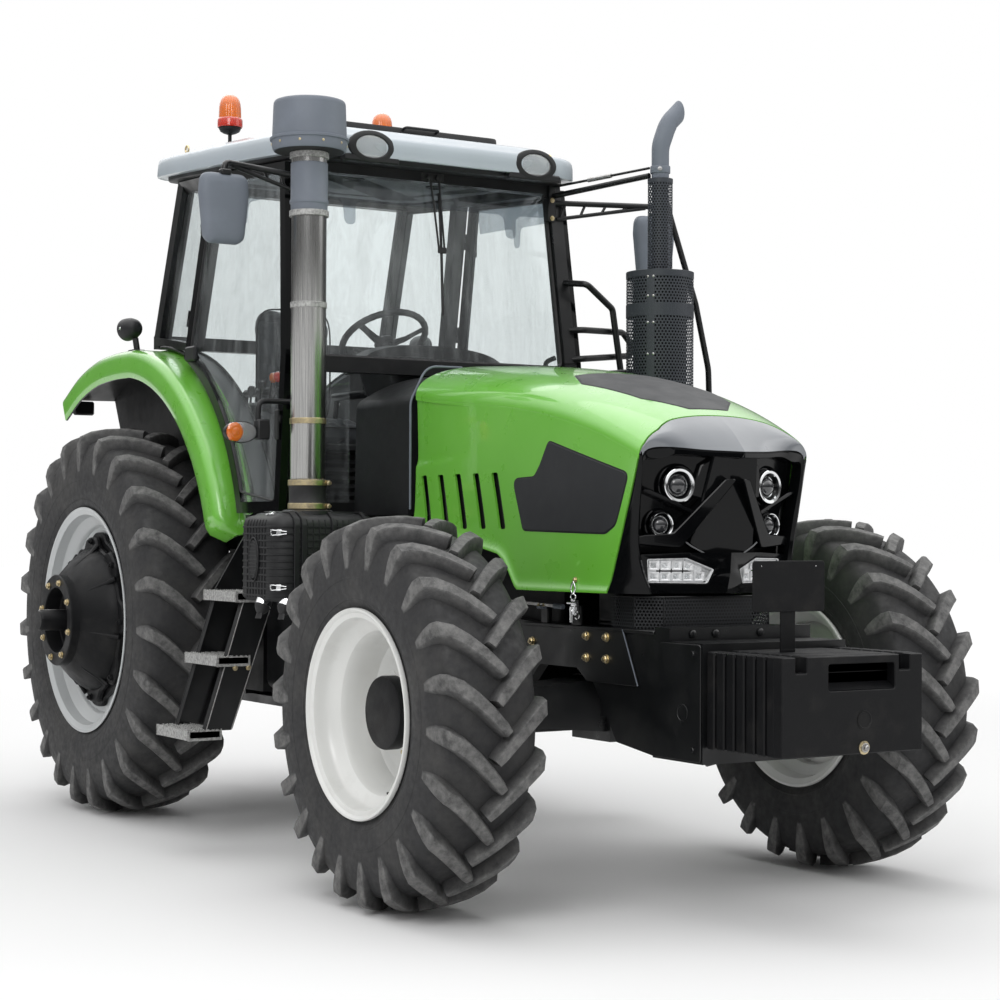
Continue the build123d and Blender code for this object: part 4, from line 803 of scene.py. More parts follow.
def lobed(radius, depth, count, turn=0.0, steps=192, sharp=2.6):
    """An outline with rounded lobes."""
    out = []
    for k in range(steps):
        a = 2 * pi * k / steps
        lobe = math.tanh(sharp * cos(count * (a + turn))) / math.tanh(sharp)
        r = radius - depth / 2 + depth / 2 * lobe
        out.append(Vector((r * cos(a), r * sin(a))))
    return out


def make_front_wheel(place, sign):
    """A front wheel: tyre, rim and its bolted hub."""
    body = f"wheel_front_{place}"
    make_tyre(f"tyre_front_{place}", body, FRONT_TYRE)
    centre = middle_of(f"rim_front_{place}")
    middle = Vector((sign * FRONT_TRACK, centre.y, centre.z))
    out = (sign, 0, 0)

    rim = Form()
    face = [(.163, .3295), (.165, .350), (.170, .3545), (.178, .3553), (.184, .353), (.185, .347),
            (.181, .3415), (.175, .338), (.172, .330), (.168, .3225), (.150, .319), (.128, .318),
            (.112, .310), (.098, .293), (.086, .277), (.070, .270), (.030, .2675), (-.010, .266),
            (-.034, .258), (-.047, .240), (-.0505, .215), (-.0505, .130), (-.0505, .1125),
            (-.0635, .1125), (-.0635, .215), (-.060, .245), (-.050, .266), (-.045, .2735),
            (-.090, .2745), (-.100, .285), (-.118, .312), (-.150, .3205), (-.168, .3225),
            (-.174, .336), (-.184, .345), (-.185, .3525), (-.176, .3553), (-.165, .350),
            (-.163, .3295), (-.130, .3285), (-.108, .300), (-.094, .2835), (.070, .280),
            (.094, .292), (.116, .322), (.130, .3285)]
    rim.lathe(middle, out, face, steps=96, loop=True)
    for k in range(10):
        a = 2 * pi * k / 10
        at = middle + Vector((sign * -.0505, cos(a) * .185, sin(a) * .185))
        rim.lathe(at, out, ((0, .020), (.0015, .020), (.002, .0175)), 0, 20)
    rim.tube([middle + Vector((sign * x, -.2, -.243)) for x in (.128, .165)], .004, 1, 10)
    piece(f"rim_front_{place}.form", rim, ["white_rim", "black_plastic"], body,
          (f"rim_front_{place}",), angle=28)

    hub = Form()
    face = [(-.134, .165), (-.128, .174), (-.072, .175), (-.0642, .172), (-.0642, .111),
            (.018, .1105), (.020, .119), (.026, .1245), (.066, .1248), (.074, .1215),
            (.077, .112), (.0765, .060), (.0772, .020), (.0772, 0)]
    hub.lathe(middle, out, face, steps=72)
    for k in range(10):
        a = 2 * pi * k / 10
        at = middle + Vector((sign * -.049, cos(a) * .148, sin(a) * .148))
        hub.bolt(at, out, .0125, 1, 0.9)
    piece(f"hub_front_{place}.form", hub, ["cast_black", "zinc"], body,
          (f"hub_front_{place}",), angle=30)


def make_rear_wheel(place, sign):
    """A rear wheel: tyre, rim and the lobed hub on its stub."""
    body = f"wheel_rear_{place}"
    make_tyre(f"tyre_rear_{place}", body, REAR_TYRE)
    centre = middle_of(f"rim_rear_{place}")
    middle = Vector((sign * REAR_TRACK, centre.y, centre.z))
    out = (sign, 0, 0)

    rim = Form()
    face = [(.191, .4815), (.193, .500), (.198, .5065), (.203, .5075), (.2049, .502),
            (.2035, .495), (.199, .490), (.196, .480), (.192, .4745), (.168, .471), (.150, .466),
            (.134, .448), (.126, .432), (.118, .424), (.1045, .418), (.1045, .302), (.0915, .302),
            (.0915, .424), (.060, .4275), (-.100, .4275), (-.124, .430), (-.146, .462),
            (-.170, .472), (-.195, .4745), (-.199, .488), (-.2045, .495), (-.2045, .503),
            (-.198, .5065), (-.193, .500), (-.191, .4815), (-.150, .480), (-.128, .450),
            (-.112, .437), (.112, .437), (.128, .450), (.150, .480)]
    rim.lathe(middle, out, face, steps=128, loop=True)
    piece(f"rim_rear_{place}.form", rim, ["grey_rim"], body, (f"rim_rear_{place}",),
          angle=28)

    hub = Form()

    def flat(u, v, depth):
        return middle + Vector((sign * depth, u, v))

    hub.plate(lobed(.394, .034, 8), flat, .1052, .131, 0, edge=.006)
    hub.plate(lobed(.372, .040, 8, 0.06), flat, .130, .160, 0, edge=.008)
    hub.lathe(middle, out, ((.158, .322), (.172, .318), (.200, .300), (.240, .265), (.272, .232),
                            (.288, .209), (.291, .2045), (.300, .2035), (.326, .2035),
                            (.330, .1995), (.330, .148), (.327, .1455), (.262, .141),
                            (.258, .135), (.258, .0)), steps=96)
    for k in range(0, 16, 2):
        a = 2 * pi * (k + .5) / 16
        spine = [middle + Vector((sign * x, cos(a) * r, sin(a) * r))
                 for x, r in ((.159, .342), (.190, .300), (.240, .257), (.280, .213))]
        hub.tube(spine, (.011, .010, .008, .005), 0, 8)
    for k in range(8):
        a = 2 * pi * (k + .35) / 8
        hub.bolt(middle + Vector((sign * .330, cos(a) * .173, sin(a) * .173)), out, .0115, 1, 0.25)
        a = 2 * pi * k / 8
        hub.bolt(middle + Vector((sign * .160, cos(a) * .351, sin(a) * .351)), out, .013, 0, 0.5)
    stub = [(-.24, .046), (.398, .046), (.404, .0445), (.410, .041)]
    hub.lathe(middle, out, stub, steps=48)
    hub.lathe(middle, out, ((.405, .0425), (.4085, .034), (.4085, .0)), 0, 40, caps=False)
    hub.block((sign * (REAR_TRACK + .272), REAR - .0085, centre.z + .036),
              (sign * (REAR_TRACK + .406), REAR + .0085, centre.z + .0478), 2, .0012)
    piece(f"hub_rear_{place}.form", hub, ["cast_black", "zinc", "steel"], body,
          (f"hub_rear_{place}",), angle=30)


for place, sign in SIDES:
    make_front_wheel(place, sign)
    make_rear_wheel(place, sign)


# ------------------------------------------------------------------ hood
HOOD = ((-1.985, .402, 1.795, 1.930), (-2.506, .416, 1.740, 1.893),      # length, half width,
        (-2.981, .402, 1.672, 1.812), (-3.471, .356, 1.500, 1.625))     # seam and top heights
HOOD_REAR = -1.985
HOOD_SKIN = 0.004       # how far the hood's skin lies inside its stations
CROWN = 2.25            # exponent of the rounded section of the hood's top
# The hood's lower edge (length, height) and its seam with the nose (height, length).
LOW_EDGE = ((-1.985, 1.307), (-2.56, 1.207), (-2.62, 1.196), (-2.665, 1.170), (-2.70, 1.125),
            (-2.728, 1.085), (-2.745, 1.070), (-3.6, 1.070))
NOSE_SEAM = ((1.07, -3.258), (1.183, -3.291), (1.333, -3.338), (1.449, -3.379), (1.53, -3.407),
             (1.575, -3.414), (1.62, -3.404), (1.655, -3.375), (1.70, -3.362))


def lookup(table, key, column=1):
    """Straight interpolation in a table sorted by its first column, either way."""
    rows = table if table[0][0] < table[-1][0] else table[::-1]
    if key <= rows[0][0]:
        return rows[0][column]
    for a, b in zip(rows, rows[1:]):
        if key <= b[0]:
            return a[column] + (b[column] - a[column]) * (key - a[0]) / (b[0] - a[0])
    return rows[-1][column]


def hood_value(y, column):
    """One of the hood's sizes at a length, on a smooth curve through its stations."""
    xs = [row[0] for row in HOOD]
    total = 0.0
    for i, row in enumerate(HOOD):
        weight = 1.0
        for j, other in enumerate(xs):
            if j != i:
                weight *= (y - other) / (row[0] - other)
        total += weight * row[column]
    return total


def hood_half(y, z):
    """Half width of the hood's side at a length and height, with a crease and a flared hem."""
    seam_z, low_z = hood_value(y, 2), lookup(LOW_EDGE, y)
    half = hood_value(y, 1) - HOOD_SKIN
    waist = (z - low_z) / (seam_z - low_z)
    half -= 0.006 * sin(pi * min(max(waist, 0), 1))
    rear = max(0.0, 1 - (HOOD_REAR - y) / 0.42)
    crease = 1.555 - 0.02 * rear
    half += 0.010 * rear * (0.5 - 0.5 * math.tanh((z - crease) / 0.010))
    half -= 0.006 * rear
    half += 0.009 * math.exp(-max(z - low_z - 0.012, 0) / 0.016) if z < low_z + 0.1 else 0
    return half


def hood_top(y, share):
    """A point of the top's section: share 0 at the seam, 1 at the middle, 2 at the far seam."""
    seam_z, top_z = hood_value(y, 2), hood_value(y, 3)
    half = hood_value(y, 1) - HOOD_SKIN
    a = pi / 2 * share
    power = 2 / CROWN
    c, s = cos(a), sin(a)
    x = math.copysign(abs(c) ** power, c) * half
    z = seam_z + (top_z - seam_z) * abs(s) ** power
    return x, z


def seam_front(z_of_y):
    """Where the hood meets the nose along a line of its surface."""
    y = -3.37
    for _ in range(14):
        y = 0.5 * y + 0.5 * lookup(NOSE_SEAM, z_of_y(y))
    return y


def edge_of(rows):
    """The points round the edge of a grid."""
    return [*rows[0], *(row[-1] for row in rows[1:]), *rows[-1][-2::-1],
            *(row[0] for row in rows[-2:0:-1])]


def shell(form, rows, thickness, slot=0):
    """A closed skin of even thickness behind a grid of points."""
    high, wide = len(rows), len(rows[0])
    inner = []
    for r in range(high):
        line = []
        for c in range(wide):
            a = rows[min(r + 1, high - 1)][c] - rows[max(r - 1, 0)][c]
            b = rows[r][min(c + 1, wide - 1)] - rows[r][max(c - 1, 0)]
            line.append(rows[r][c] - a.cross(b).normalized() * thickness)
        inner.append(line)
    form.grid(rows, slot)
    form.grid(inner, slot)
    form.grid([edge_of(rows), edge_of(inner)], slot, around=True)


def rings_to_middle(form, outline, place, slot=0, steps=6, middle=None):
    """Fills an outline with rings that follow a curved place."""
    middle = middle or sum((Vector(p) for p in outline), Vector((0, 0))) / len(outline)
    rows = [[place(*(middle + (Vector(p) - middle) * (1 - k / steps))) for p in outline]
            for k in range(steps)]
    rows.append([place(*(middle + (Vector(p) - middle) * 0.02)) for p in outline])
    form.grid(rows, slot, around=True, caps=False)
    base = len(form.verts) - len(outline)
    form.add([], [tuple(base + i - len(form.verts) for i in range(len(outline)))], slot)


def divided(outline, pitch):
    """A closed outline with points added so that none of its sides is much over a pitch."""
    out = []
    for a, b in sides_of(outline):
        pieces = max(1, round((b - a).length / pitch))
        out += [a.lerp(b, k / pieces) for k in range(pieces)]
    return out


LOUVRES = [-2.597 + 0.131 * i for i in range(5)]       # top front corner of each slot
# Panels let into the hood: (length, height) on its sides, (across, length) on its top.
SIDE_PANEL = ((-2.925, 1.592), (-3.352, 1.472), (-3.285, 1.300), (-3.235, 1.272),
              (-2.768, 1.282), (-2.700, 1.463), (-2.835, 1.468), (-2.872, 1.510))
PANEL_ROUND = (.022, .022, .05, .05, .022, .028, .04, .04)
TOP_PANEL = ((-.205, -2.80), (.205, -2.80), (.262, -2.93), (.192, -3.19), (.082, -3.315),
             (-.082, -3.315), (-.192, -3.19), (-.262, -2.93))


def cut_mesh(obj, cutter):
    """Takes the cutter away from an object's mesh for good."""
    cut = obj.modifiers.new("cut", "BOOLEAN")
    cut.object = cutter
    cut.solver = "EXACT"
    bpy.context.view_layer.update()
    graph = bpy.context.evaluated_depsgraph_get()
    mesh = bpy.data.meshes.new_from_object(obj.evaluated_get(graph))
    obj.modifiers.clear()
    old = obj.data
    obj.data = mesh
    bpy.data.meshes.remove(old)
    bpy.data.objects.remove(cutter)


def plain_object(name, form):
    """A Form as a closed object without materials."""
    mesh = bpy.data.meshes.new(name)
    mesh.from_pydata(form.verts, [], form.faces)
    work = bmesh.new()
    work.from_mesh(mesh)
    bmesh.ops.remove_doubles(work, verts=work.verts, dist=1e-6)
    bmesh.ops.recalc_face_normals(work, faces=work.faces)
    work.to_mesh(mesh)
    work.free()
    obj = bpy.data.objects.new(name, mesh)
    bpy.context.scene.collection.objects.link(obj)
    return obj


def make_hood_side(place, sign):
    """One side of the hood, with its slots cut through and the true surface's normals."""
    form = Form()
    rows = []
    for k in range(41):
        v = k / 40
        front = seam_front(lambda y: lookup(LOW_EDGE, y)
                           + v * (hood_value(y, 2) - .003 - lookup(LOW_EDGE, y)))
        row = []
        for j in range(91):
            y = HOOD_REAR + (front + 0.002 - HOOD_REAR) * j / 90
            low_z, seam_z = lookup(LOW_EDGE, y), hood_value(y, 2) - 0.003
            z = low_z + v * (seam_z - low_z)
            row.append(P(sign * hood_half(y, z), y, z))
        rows.append(row)
    shell(form, rows, 0.009 * sign)
    skin = plain_object(f"hood.side_{place}", form)
    slots = Form()
    for top_y in LOUVRES:
        outline = rounded([(top_y, 1.490), (top_y + .044, 1.490), (top_y - .016, 1.285),
                           (top_y - .060, 1.285)], .010, 4, closed=True)
        slots.plate(outline, lambda u, v, d: P(d, u, v), sign * .33, sign * .46, edge=0)
    cut_mesh(skin, plain_object("slots", slots))
    mesh = skin.data
    mesh.materials.clear()
    mesh.materials.append(MATERIALS["green_paint"])
    mesh.shade_smooth()
    normals = []
    step = 1e-4
    true = {}
    for polygon in mesh.polygons:
        for index in polygon.vertices:
            if index not in true:
                p = mesh.vertices[index].co
                y, z = p.y - REAR, p.z
                dy = (hood_half(y + step, z) - hood_half(y - step, z)) / (2 * step)
                dz = (hood_half(y, z + step) - hood_half(y, z - step)) / (2 * step)
                true[index] = Vector((sign, -dy, -dz)).normalized()
            along = polygon.normal.dot(true[index])
            normals.append(true[index] if along > 0.8 else
                           -true[index] if along < -0.8 else polygon.normal)
    mesh.normals_split_custom_set(normals)
    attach(skin, "hood")
    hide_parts("hood")

    def on_side(y, z, lift):
        return P(sign * (hood_half(y, z) + lift), y, z)

    trim = Form()
    dense = divided(rounded(SIDE_PANEL, PANEL_ROUND, 5, closed=True), 0.03)
    gap = [[on_side(*p, lift) for p in inset(dense, draw)]
           for draw, lift in ((-.005, -.001), (-.004, .0006), (.001, .0004))]
    trim.grid(gap, 1, around=True)
    rim = [[on_side(*p, lift) for p in inset(dense, draw)]
           for draw, lift in ((0, -.001), (.0006, .0022), (.003, .0034))]
    trim.grid(rim, 0, around=True)
    rings_to_middle(trim, inset(dense, .003), lambda y, z: on_side(y, z, .0034), 0, 8,
                    Vector((-3.03, 1.41)))
    # Inner panel behind the slots: a dark sheet of painted shade for the hollow inside the hood.
    back = [[P(sign * (hood_half(y, z) - .024), y, z) for y in
             [-2.72 + .06 * i for i in range(12)]] for z in (1.26, 1.33, 1.40, 1.47, 1.52)]
    shell(trim, back, 0.003 * sign, 1)
    for top_y in LOUVRES:
        for k in range(2):
            y0 = top_y + .010 + .018 * k
            trim.tube([on_side(y0, 1.497, -.018), on_side(y0 - .063, 1.278, -.018)], .0022, 1, 8)
    piece(f"hood.side_trim_{place}", trim, ["matt_panel", "dark_cavity"], "hood")


def make_hood_top():
    """The hood's top with its panel, hems, and a dark liner of painted shade under it."""
    form = Form()
    rows = []
    shares = [1 - cos(pi * (k / 56)) for k in range(57)]
    for share in shares:
        front = seam_front(lambda y: hood_top(y, share)[1])
        row = []
        for j in range(81):
            y = HOOD_REAR + (front + 0.002 - HOOD_REAR) * j / 80
            x, z = hood_top(y, share)
            row.append(P(x, y, z))
        rows.append(row)
    for end, way in ((0, 1), (-1, -1)):
        edge = rows[end]
        hem = [p + Vector((-.006 * way, 0, -.010)) for p in edge]
        roll = [p + Vector((-.0008 * way, 0, -.0012)) for p in edge]
        rows = [hem, roll, *rows] if end == 0 else [*rows, roll, hem]
    form.grid(rows, 0)
    inner = [[p + Vector((0, 0, -.012)) * (1 if 2 < i < len(rows) - 3 else .3) for p in row]
             for i, row in enumerate(rows)]
    form.grid(inner, 0)
    for row, under in ((rows[0], inner[0]), (rows[-1], inner[-1]),
                       ([r[0] for r in rows], [r[0] for r in inner]),
                       ([r[-1] for r in rows], [r[-1] for r in inner])):
        form.grid([row, under], 0)

    def on_top(x, y, lift):
        seam_z, top_z = hood_value(y, 2), hood_value(y, 3)
        half = hood_value(y, 1) - HOOD_SKIN
        z = seam_z + (top_z - seam_z) * max(1 - abs(x / half) ** CROWN, 0) ** (1 / CROWN)
        return P(x, y, z + lift)

    dense = divided(rounded(TOP_PANEL, .012, 4, closed=True), 0.025)
    form.grid([[on_top(*p, lift) for p in inset(dense, draw)]
               for draw, lift in ((-.004, -.001), (-.003, .0006), (.002, .0005))], 2,
              around=True)
    form.grid([[on_top(*p, lift) for p in inset(dense, draw)]
               for draw, lift in ((0, -.001), (.001, .0016), (.004, .0022))], 1, around=True)
    rings_to_middle(form, inset(dense, .004), lambda x, y: on_top(x, y, .0022), 1, 10,
                    Vector((0, -3.06)))
    # Rear hem, hinge lugs and a dark inner liner, a sheet of painted shade seen past the seam.
    liner = []
    for k in range(31):
        share = 2 * k / 30
        row = []
        for j in range(41):
            y = HOOD_REAR - .02 + (-3.34 - HOOD_REAR) * j / 40
            x, z = hood_top(y, share)
            row.append(P(x * .965, y, z - .022 - .03 * abs(x)))
        liner.append(row)
    form.grid(liner, 2)
    for side in (1, -1):
        form.block(P(side * .084, -2.031, 1.868), P(side * .112, -1.999, 1.910), 2, .003)
    piece("hood.top", form, ["green_paint", "matt_panel", "dark_cavity"], "hood",
          ("hood",), angle=38)


for place, sign in SIDES:
    make_hood_side(place, sign)
make_hood_top()


# ------------------------------------------------------------------ nose and lamps
NOSE_TIP = -3.517
NOSE_STRIPS = 24        # strips of skin from the hem to the top's seam, and on to its middle
# Height, and how far the front leans back there.
LEAN = ((1.07, .098), (1.11, .078), (1.195, .074), (1.42, .020), (1.553, .0), (1.60, .02))


def nose(x, z, depth=0.0):
    """A point on the swept, leaning front of the nose, at a depth behind it."""
    return P(x, NOSE_TIP + lookup(LEAN, z) + .110 * abs(x) / .349 + depth, z)


def nose_skin(form):
    """The skin from the hood out to its crest, and the lip that folds into the recess."""
    # The line where the nose leaves the hood, from the hem to the middle of the top.
    back = []
    for k in range(NOSE_STRIPS + 1):
        v = k / NOSE_STRIPS
        y = seam_front(lambda y: lookup(LOW_EDGE, y)
                       + v * (hood_value(y, 2) - lookup(LOW_EDGE, y)))
        z = lookup(LOW_EDGE, y) + v * (hood_value(y, 2) - lookup(LOW_EDGE, y))
        back.append((hood_half(y, z) - .0025, y - .003, z))
    for k in range(1, NOSE_STRIPS + 1):
        share = k / NOSE_STRIPS
        y = seam_front(lambda y: hood_top(y, share)[1])
        x, z = hood_top(y, share)
        back.append((max(x - .002, 0), y - .003, z - .0025))
    # The crest that the skin runs out to: up the corner, then along the visor.
    crest_steps, corner_spans = 6, 5
    crest = smooth([(.300, -3.392, 1.070), (.322, -3.372, 1.150), (.338, -3.368, 1.239),
                    (.346, -3.384, 1.350), (.348, -3.402, 1.450), (.346, -3.410, 1.530),
                    (.318, -3.420, 1.556), (.250, -3.443, 1.560), (.130, -3.478, 1.552),
                    (.0, -3.5155, 1.548)], crest_steps)
    crest_lengths = distances(crest)
    split = corner_spans * crest_steps

    def crest_at(share):
        """Share 0 to 1 up the corner, 1 to 2 along the visor."""
        i0, i1, t = (0, split, share) if share <= 1 else (split, len(crest) - 1, share - 1)
        target = crest_lengths[i0] + (crest_lengths[i1] - crest_lengths[i0]) * t
        for i in range(i0, i1):
            if target <= crest_lengths[i + 1] + 1e-9:
                w = (target - crest_lengths[i]) / (crest_lengths[i + 1] - crest_lengths[i])
                return crest[i].lerp(crest[i + 1], w)
        return crest[i1]

    for side in (1, -1):
        def put(p):
            return P(side * p[0], p[1], p[2])
        for slot in (0, 1):
            rows = []
            start = slot * NOSE_STRIPS
            for k in range(start, start + NOSE_STRIPS + 1):
                a, b = Vector(back[k]), crest_at(k / NOSE_STRIPS)
                row = []
                for j in range(9):
                    t = j / 8
                    p = a.lerp(b, t)
                    bulge = sin(pi * t)
                    if slot == 0:
                        p.x += .004 * bulge
                    else:
                        ridge = max(0, 1 - abs((k - NOSE_STRIPS) / NOSE_STRIPS - .34) / .5)
                        p.z += .016 * bulge * (0.55 + .75 * ridge)
                        p.y -= .003 * bulge
                    row.append(put(p))
                rows.append(row)
            form.grid(rows, slot)
        # The lip folds round the crest and runs back into the recess.
        rows = []
        for k in range(2 * NOSE_STRIPS + 1):
            b = crest_at(k / NOSE_STRIPS)
            corner = max(0, min(1, (k - 14) / 12)) if k < 30 else 1
            inward = Vector((-.016 * (1 - corner) - .006 * corner, 0, -.020 * corner))
            dip = .018 * math.exp(-((b.x - .292) / .045) ** 2) if k > NOSE_STRIPS else 0
            lip = b + inward * .35 + Vector((0, -.0015, -dip * .3))
            edge = b + inward + Vector((0, .006, -dip))
            deep = edge + Vector((-.012 * (1 - corner), .046, -.004 * corner))
            rows.append([put(b), put(lip), put(edge), put(deep)])
        form.grid(rows, 2)


def nose_face(form, side):
    """The face under the shelf, with the opening for the light strip."""
    strip = [(side * x, z) for x, z in ((.286, 1.190), (.147, 1.193), (.050, 1.153),
                                        (.072, 1.100), (.280, 1.103))]
    strip = rounded(strip, (.010, .012, .006, .012, .010), 4, closed=True)
    outer = [(0, 1.070), (side * .150, 1.070), (side * .300, 1.070), (side * .322, 1.150),
             (side * .3285, 1.200), (side * .17, 1.208), (0, 1.208), (0, 1.14)]
    middle = Vector((side * .17, 1.146))
    border = []
    for p in strip:
        ray = Vector(p) - middle
        best = None
        for a, b in sides_of(outer):
            a, b = Vector(a) - middle, Vector(b) - middle
            cross = ray.x * (b - a).y - ray.y * (b - a).x
            if abs(cross) < 1e-9:
                continue
            t = (a.x * (b - a).y - a.y * (b - a).x) / cross
            s = (a.x * ray.y - a.y * ray.x) / cross
            if t > 0 and -1e-6 <= s <= 1 + 1e-6 and (best is None or t < best):
                best = t
        border.append(middle + ray * best)
    for corner in outer:
        near = min(range(len(border)), key=lambda i: (border[i] - Vector(corner)).length)
        border[near] = Vector(corner)
    rows = [[nose(p[0], p[1], 0) for p in border], [nose(p[0], p[1], 0) for p in strip],
            [nose(p[0], p[1], .0015) for p in inset(strip, .002)],
            [nose(p[0], p[1], .016) for p in inset(strip, .004)]]
    form.grid(rows, 2, around=True)
    form.grid([[nose(p[0], p[1], .0145) for p in inset(strip, draw)] for draw in (.003, .03)],
              2, around=True)


def nose_panel(form):
    """The middle panel with a bright outline under it."""
    shield = [(-.080, 1.2015), (.080, 1.2015), (.134, 1.234), (.122, 1.33), (.094, 1.535),
              (-.094, 1.535), (-.122, 1.33), (-.134, 1.234)]
    shield = rounded(shield, .008, 3, closed=True)
    form.plate(shield, nose, .052, .016, 2, .004)
    form.tube([nose(x, z, .0145) for x, z in ((-.152, 1.243), (-.134, 1.231), (-.080, 1.2035),
                                             (0, 1.2035), (.080, 1.2035), (.134, 1.231),
                                             (.152, 1.243))], .0028, 3, 8, .006)


def nose_blades(form, side):
    """The boomerang trim round a lamp, its blade and its wedge."""
    arm = [(.010, 1.458), (.052, 1.455), (.146, 1.343), (.205, 1.272), (.300, 1.266),
           (.338, 1.256), (.330, 1.236), (.172, 1.222)]
    arm = rounded([(side * x, z) for x, z in arm], (.01, .01, .01, .02, .01, .008, .01, .03),
                  4, closed=True)
    form.plate(arm, nose, .055, .004, 2, .003)
    rows = [[nose(p[0], p[1], d) for p in inset(arm, draw)]
            for draw, d in ((.0035, .0036), (.0055, .0125))]
    form.grid(rows, 2, around=True)
    blade = [(.146, 1.338), (.142, 1.349), (.300, 1.4195), (.322, 1.421), (.324, 1.414)]
    form.plate([(side * x, z) for x, z in blade], nose, .055, .010, 2, .0025)
    wedge = [(.060, 1.470), (.108, 1.388), (.152, 1.40), (.125, 1.50), (.09, 1.525)]
    form.plate([(side * x, z) for x, z in wedge], nose, .055, .030, 2, .004)


def nose_lamps(form, side):
    """Two lamps, each a socket in the recess, a bright ring and a projector lens."""
    for x, z, radius, ring in ((.193, 1.434, .059, .012), (.234, 1.301, .043, .0042)):
        middle = nose(side * x, z, .030)
        out = Vector((side * .17, -1, 0)).normalized()
        form.lathe(middle - out * .04, out, ((0, radius + .018), (.028, radius + .014),
                                             (.030, radius + .010), (.018, radius)), 2, 48,
                   caps=False)
        form.lathe(middle, out, ((-.012, radius), (.001, radius), (.005, radius - .0015),
                                 (.0065, radius - ring * .35), (.005, radius - ring),
                                 (-.004, radius - ring - .001)), 4, 56, caps=False)
        inner = radius - ring - .001
        form.lathe(middle, out, ((-.003, inner), (-.006, inner * .93), (-.016, inner * .80),
                                 (-.022, inner * .66)), 2, 48, caps=False)
        form.lathe(middle, out, ((-.022, inner * .72), (-.012, inner * .70),
                                 (-.003, inner * .60), (.003, inner * .42),
                                 (.0055, inner * .2), (.006, 0)), 6, 40)
        form.lathe(middle, out, ((-.017, inner * .82), (-.0125, inner * .80),
                                 (-.0125, inner * .73), (-.016, inner * .72)), 4, 40,
                   caps=False)


def nose_strip(form, side):
    """Two rows of cells behind a clear cover with a pale rim."""
    strip = [(side * x, z) for x, z in ((.283, 1.187), (.148, 1.190), (.054, 1.152),
                                        (.075, 1.103), (.277, 1.106))]
    strip = rounded(strip, (.008, .010, .005, .010, .008), 4, closed=True)
    form.grid([[nose(p[0], p[1], d) for p in inset(strip, draw)]
               for draw, d in ((0, .006), (.001, .0025), (.0035, .003), (.0045, .010))], 5,
              around=True)
    for row, (z0, z1) in enumerate(((1.1115, 1.1435), (1.1485, 1.181))):
        for i in range(5 - (1 if row else 0)):
            x0 = .272 - .0385 * i
            x1 = x0 - .0345
            drop = max(0, (.150 - x1) * .42) if row else 0
            cell = [(side * x0, z0), (side * x1, z0), (side * x1, z1 - drop),
                    (side * x0, z1 - max(0, (.150 - x0) * .42 if row else 0))]
            form.grid([[nose(p[0], p[1], d) for p in inset(cell, draw)]
                       for draw, d in ((0, .008), (.004, .0085), (.009, .0125))], 5,
                      around=True)
            cx = (x0 + x1) / 2
            cz = (z0 + z1 - drop) / 2
            form.lathe(nose(side * cx, cz, .0128), (side * .3, -1, 0),
                       ((-.001, .0075), (.002, .0068), (.0042, .0045), (.005, 0)), 7, 16)
    form.grid([[nose(p[0], p[1], .0135) for p in inset(strip, draw)]
               for draw in (.002, .035)], 5, around=True)
    form.grid([[nose(p[0], p[1], d) for p in inset(strip, draw)]
               for draw, d in ((.003, .0052), (.0042, .0042))], 7, around=True)


def make_nose():
    """The hood's nose with its recess, lamps and light strips."""
    form = Form()
    nose_skin(form)
    # Recess behind the lamps.
    form.grid([[nose(.338 * (i / 14 - 1), 1.185 + .365 * j / 12, .056) for i in range(29)]
               for j in range(13)], 2)
    for side in (1, -1):
        nose_face(form, side)
    # Shelf between the recess and the lower face, and the underside.
    form.grid([[nose(.3285 * (2 * i / 20 - 1), 1.2079, d) for i in range(21)]
               for d in (0, .03, .06)], 2)
    form.grid([[nose(.300 * (2 * i / 20 - 1), 1.0702, d) for i in range(21)]
               for d in (0, .06, .12)], 2)
    nose_panel(form)
    for side in (1, -1):
        nose_blades(form, side)
        nose_lamps(form, side)
        nose_strip(form, side)
    # The top strips of the skin take the visor's grey, which stands in for the sky's reflection:
    # painted reflection.
    piece("nose.form", form, ["black_gloss", "satin_visor", "black_gloss", "cab_grey", "chrome",
                              "reflector", "dark_lens", "lamp_glass"], "hood",
          ("hood_nose", "headlamps"), angle=30)


make_nose()


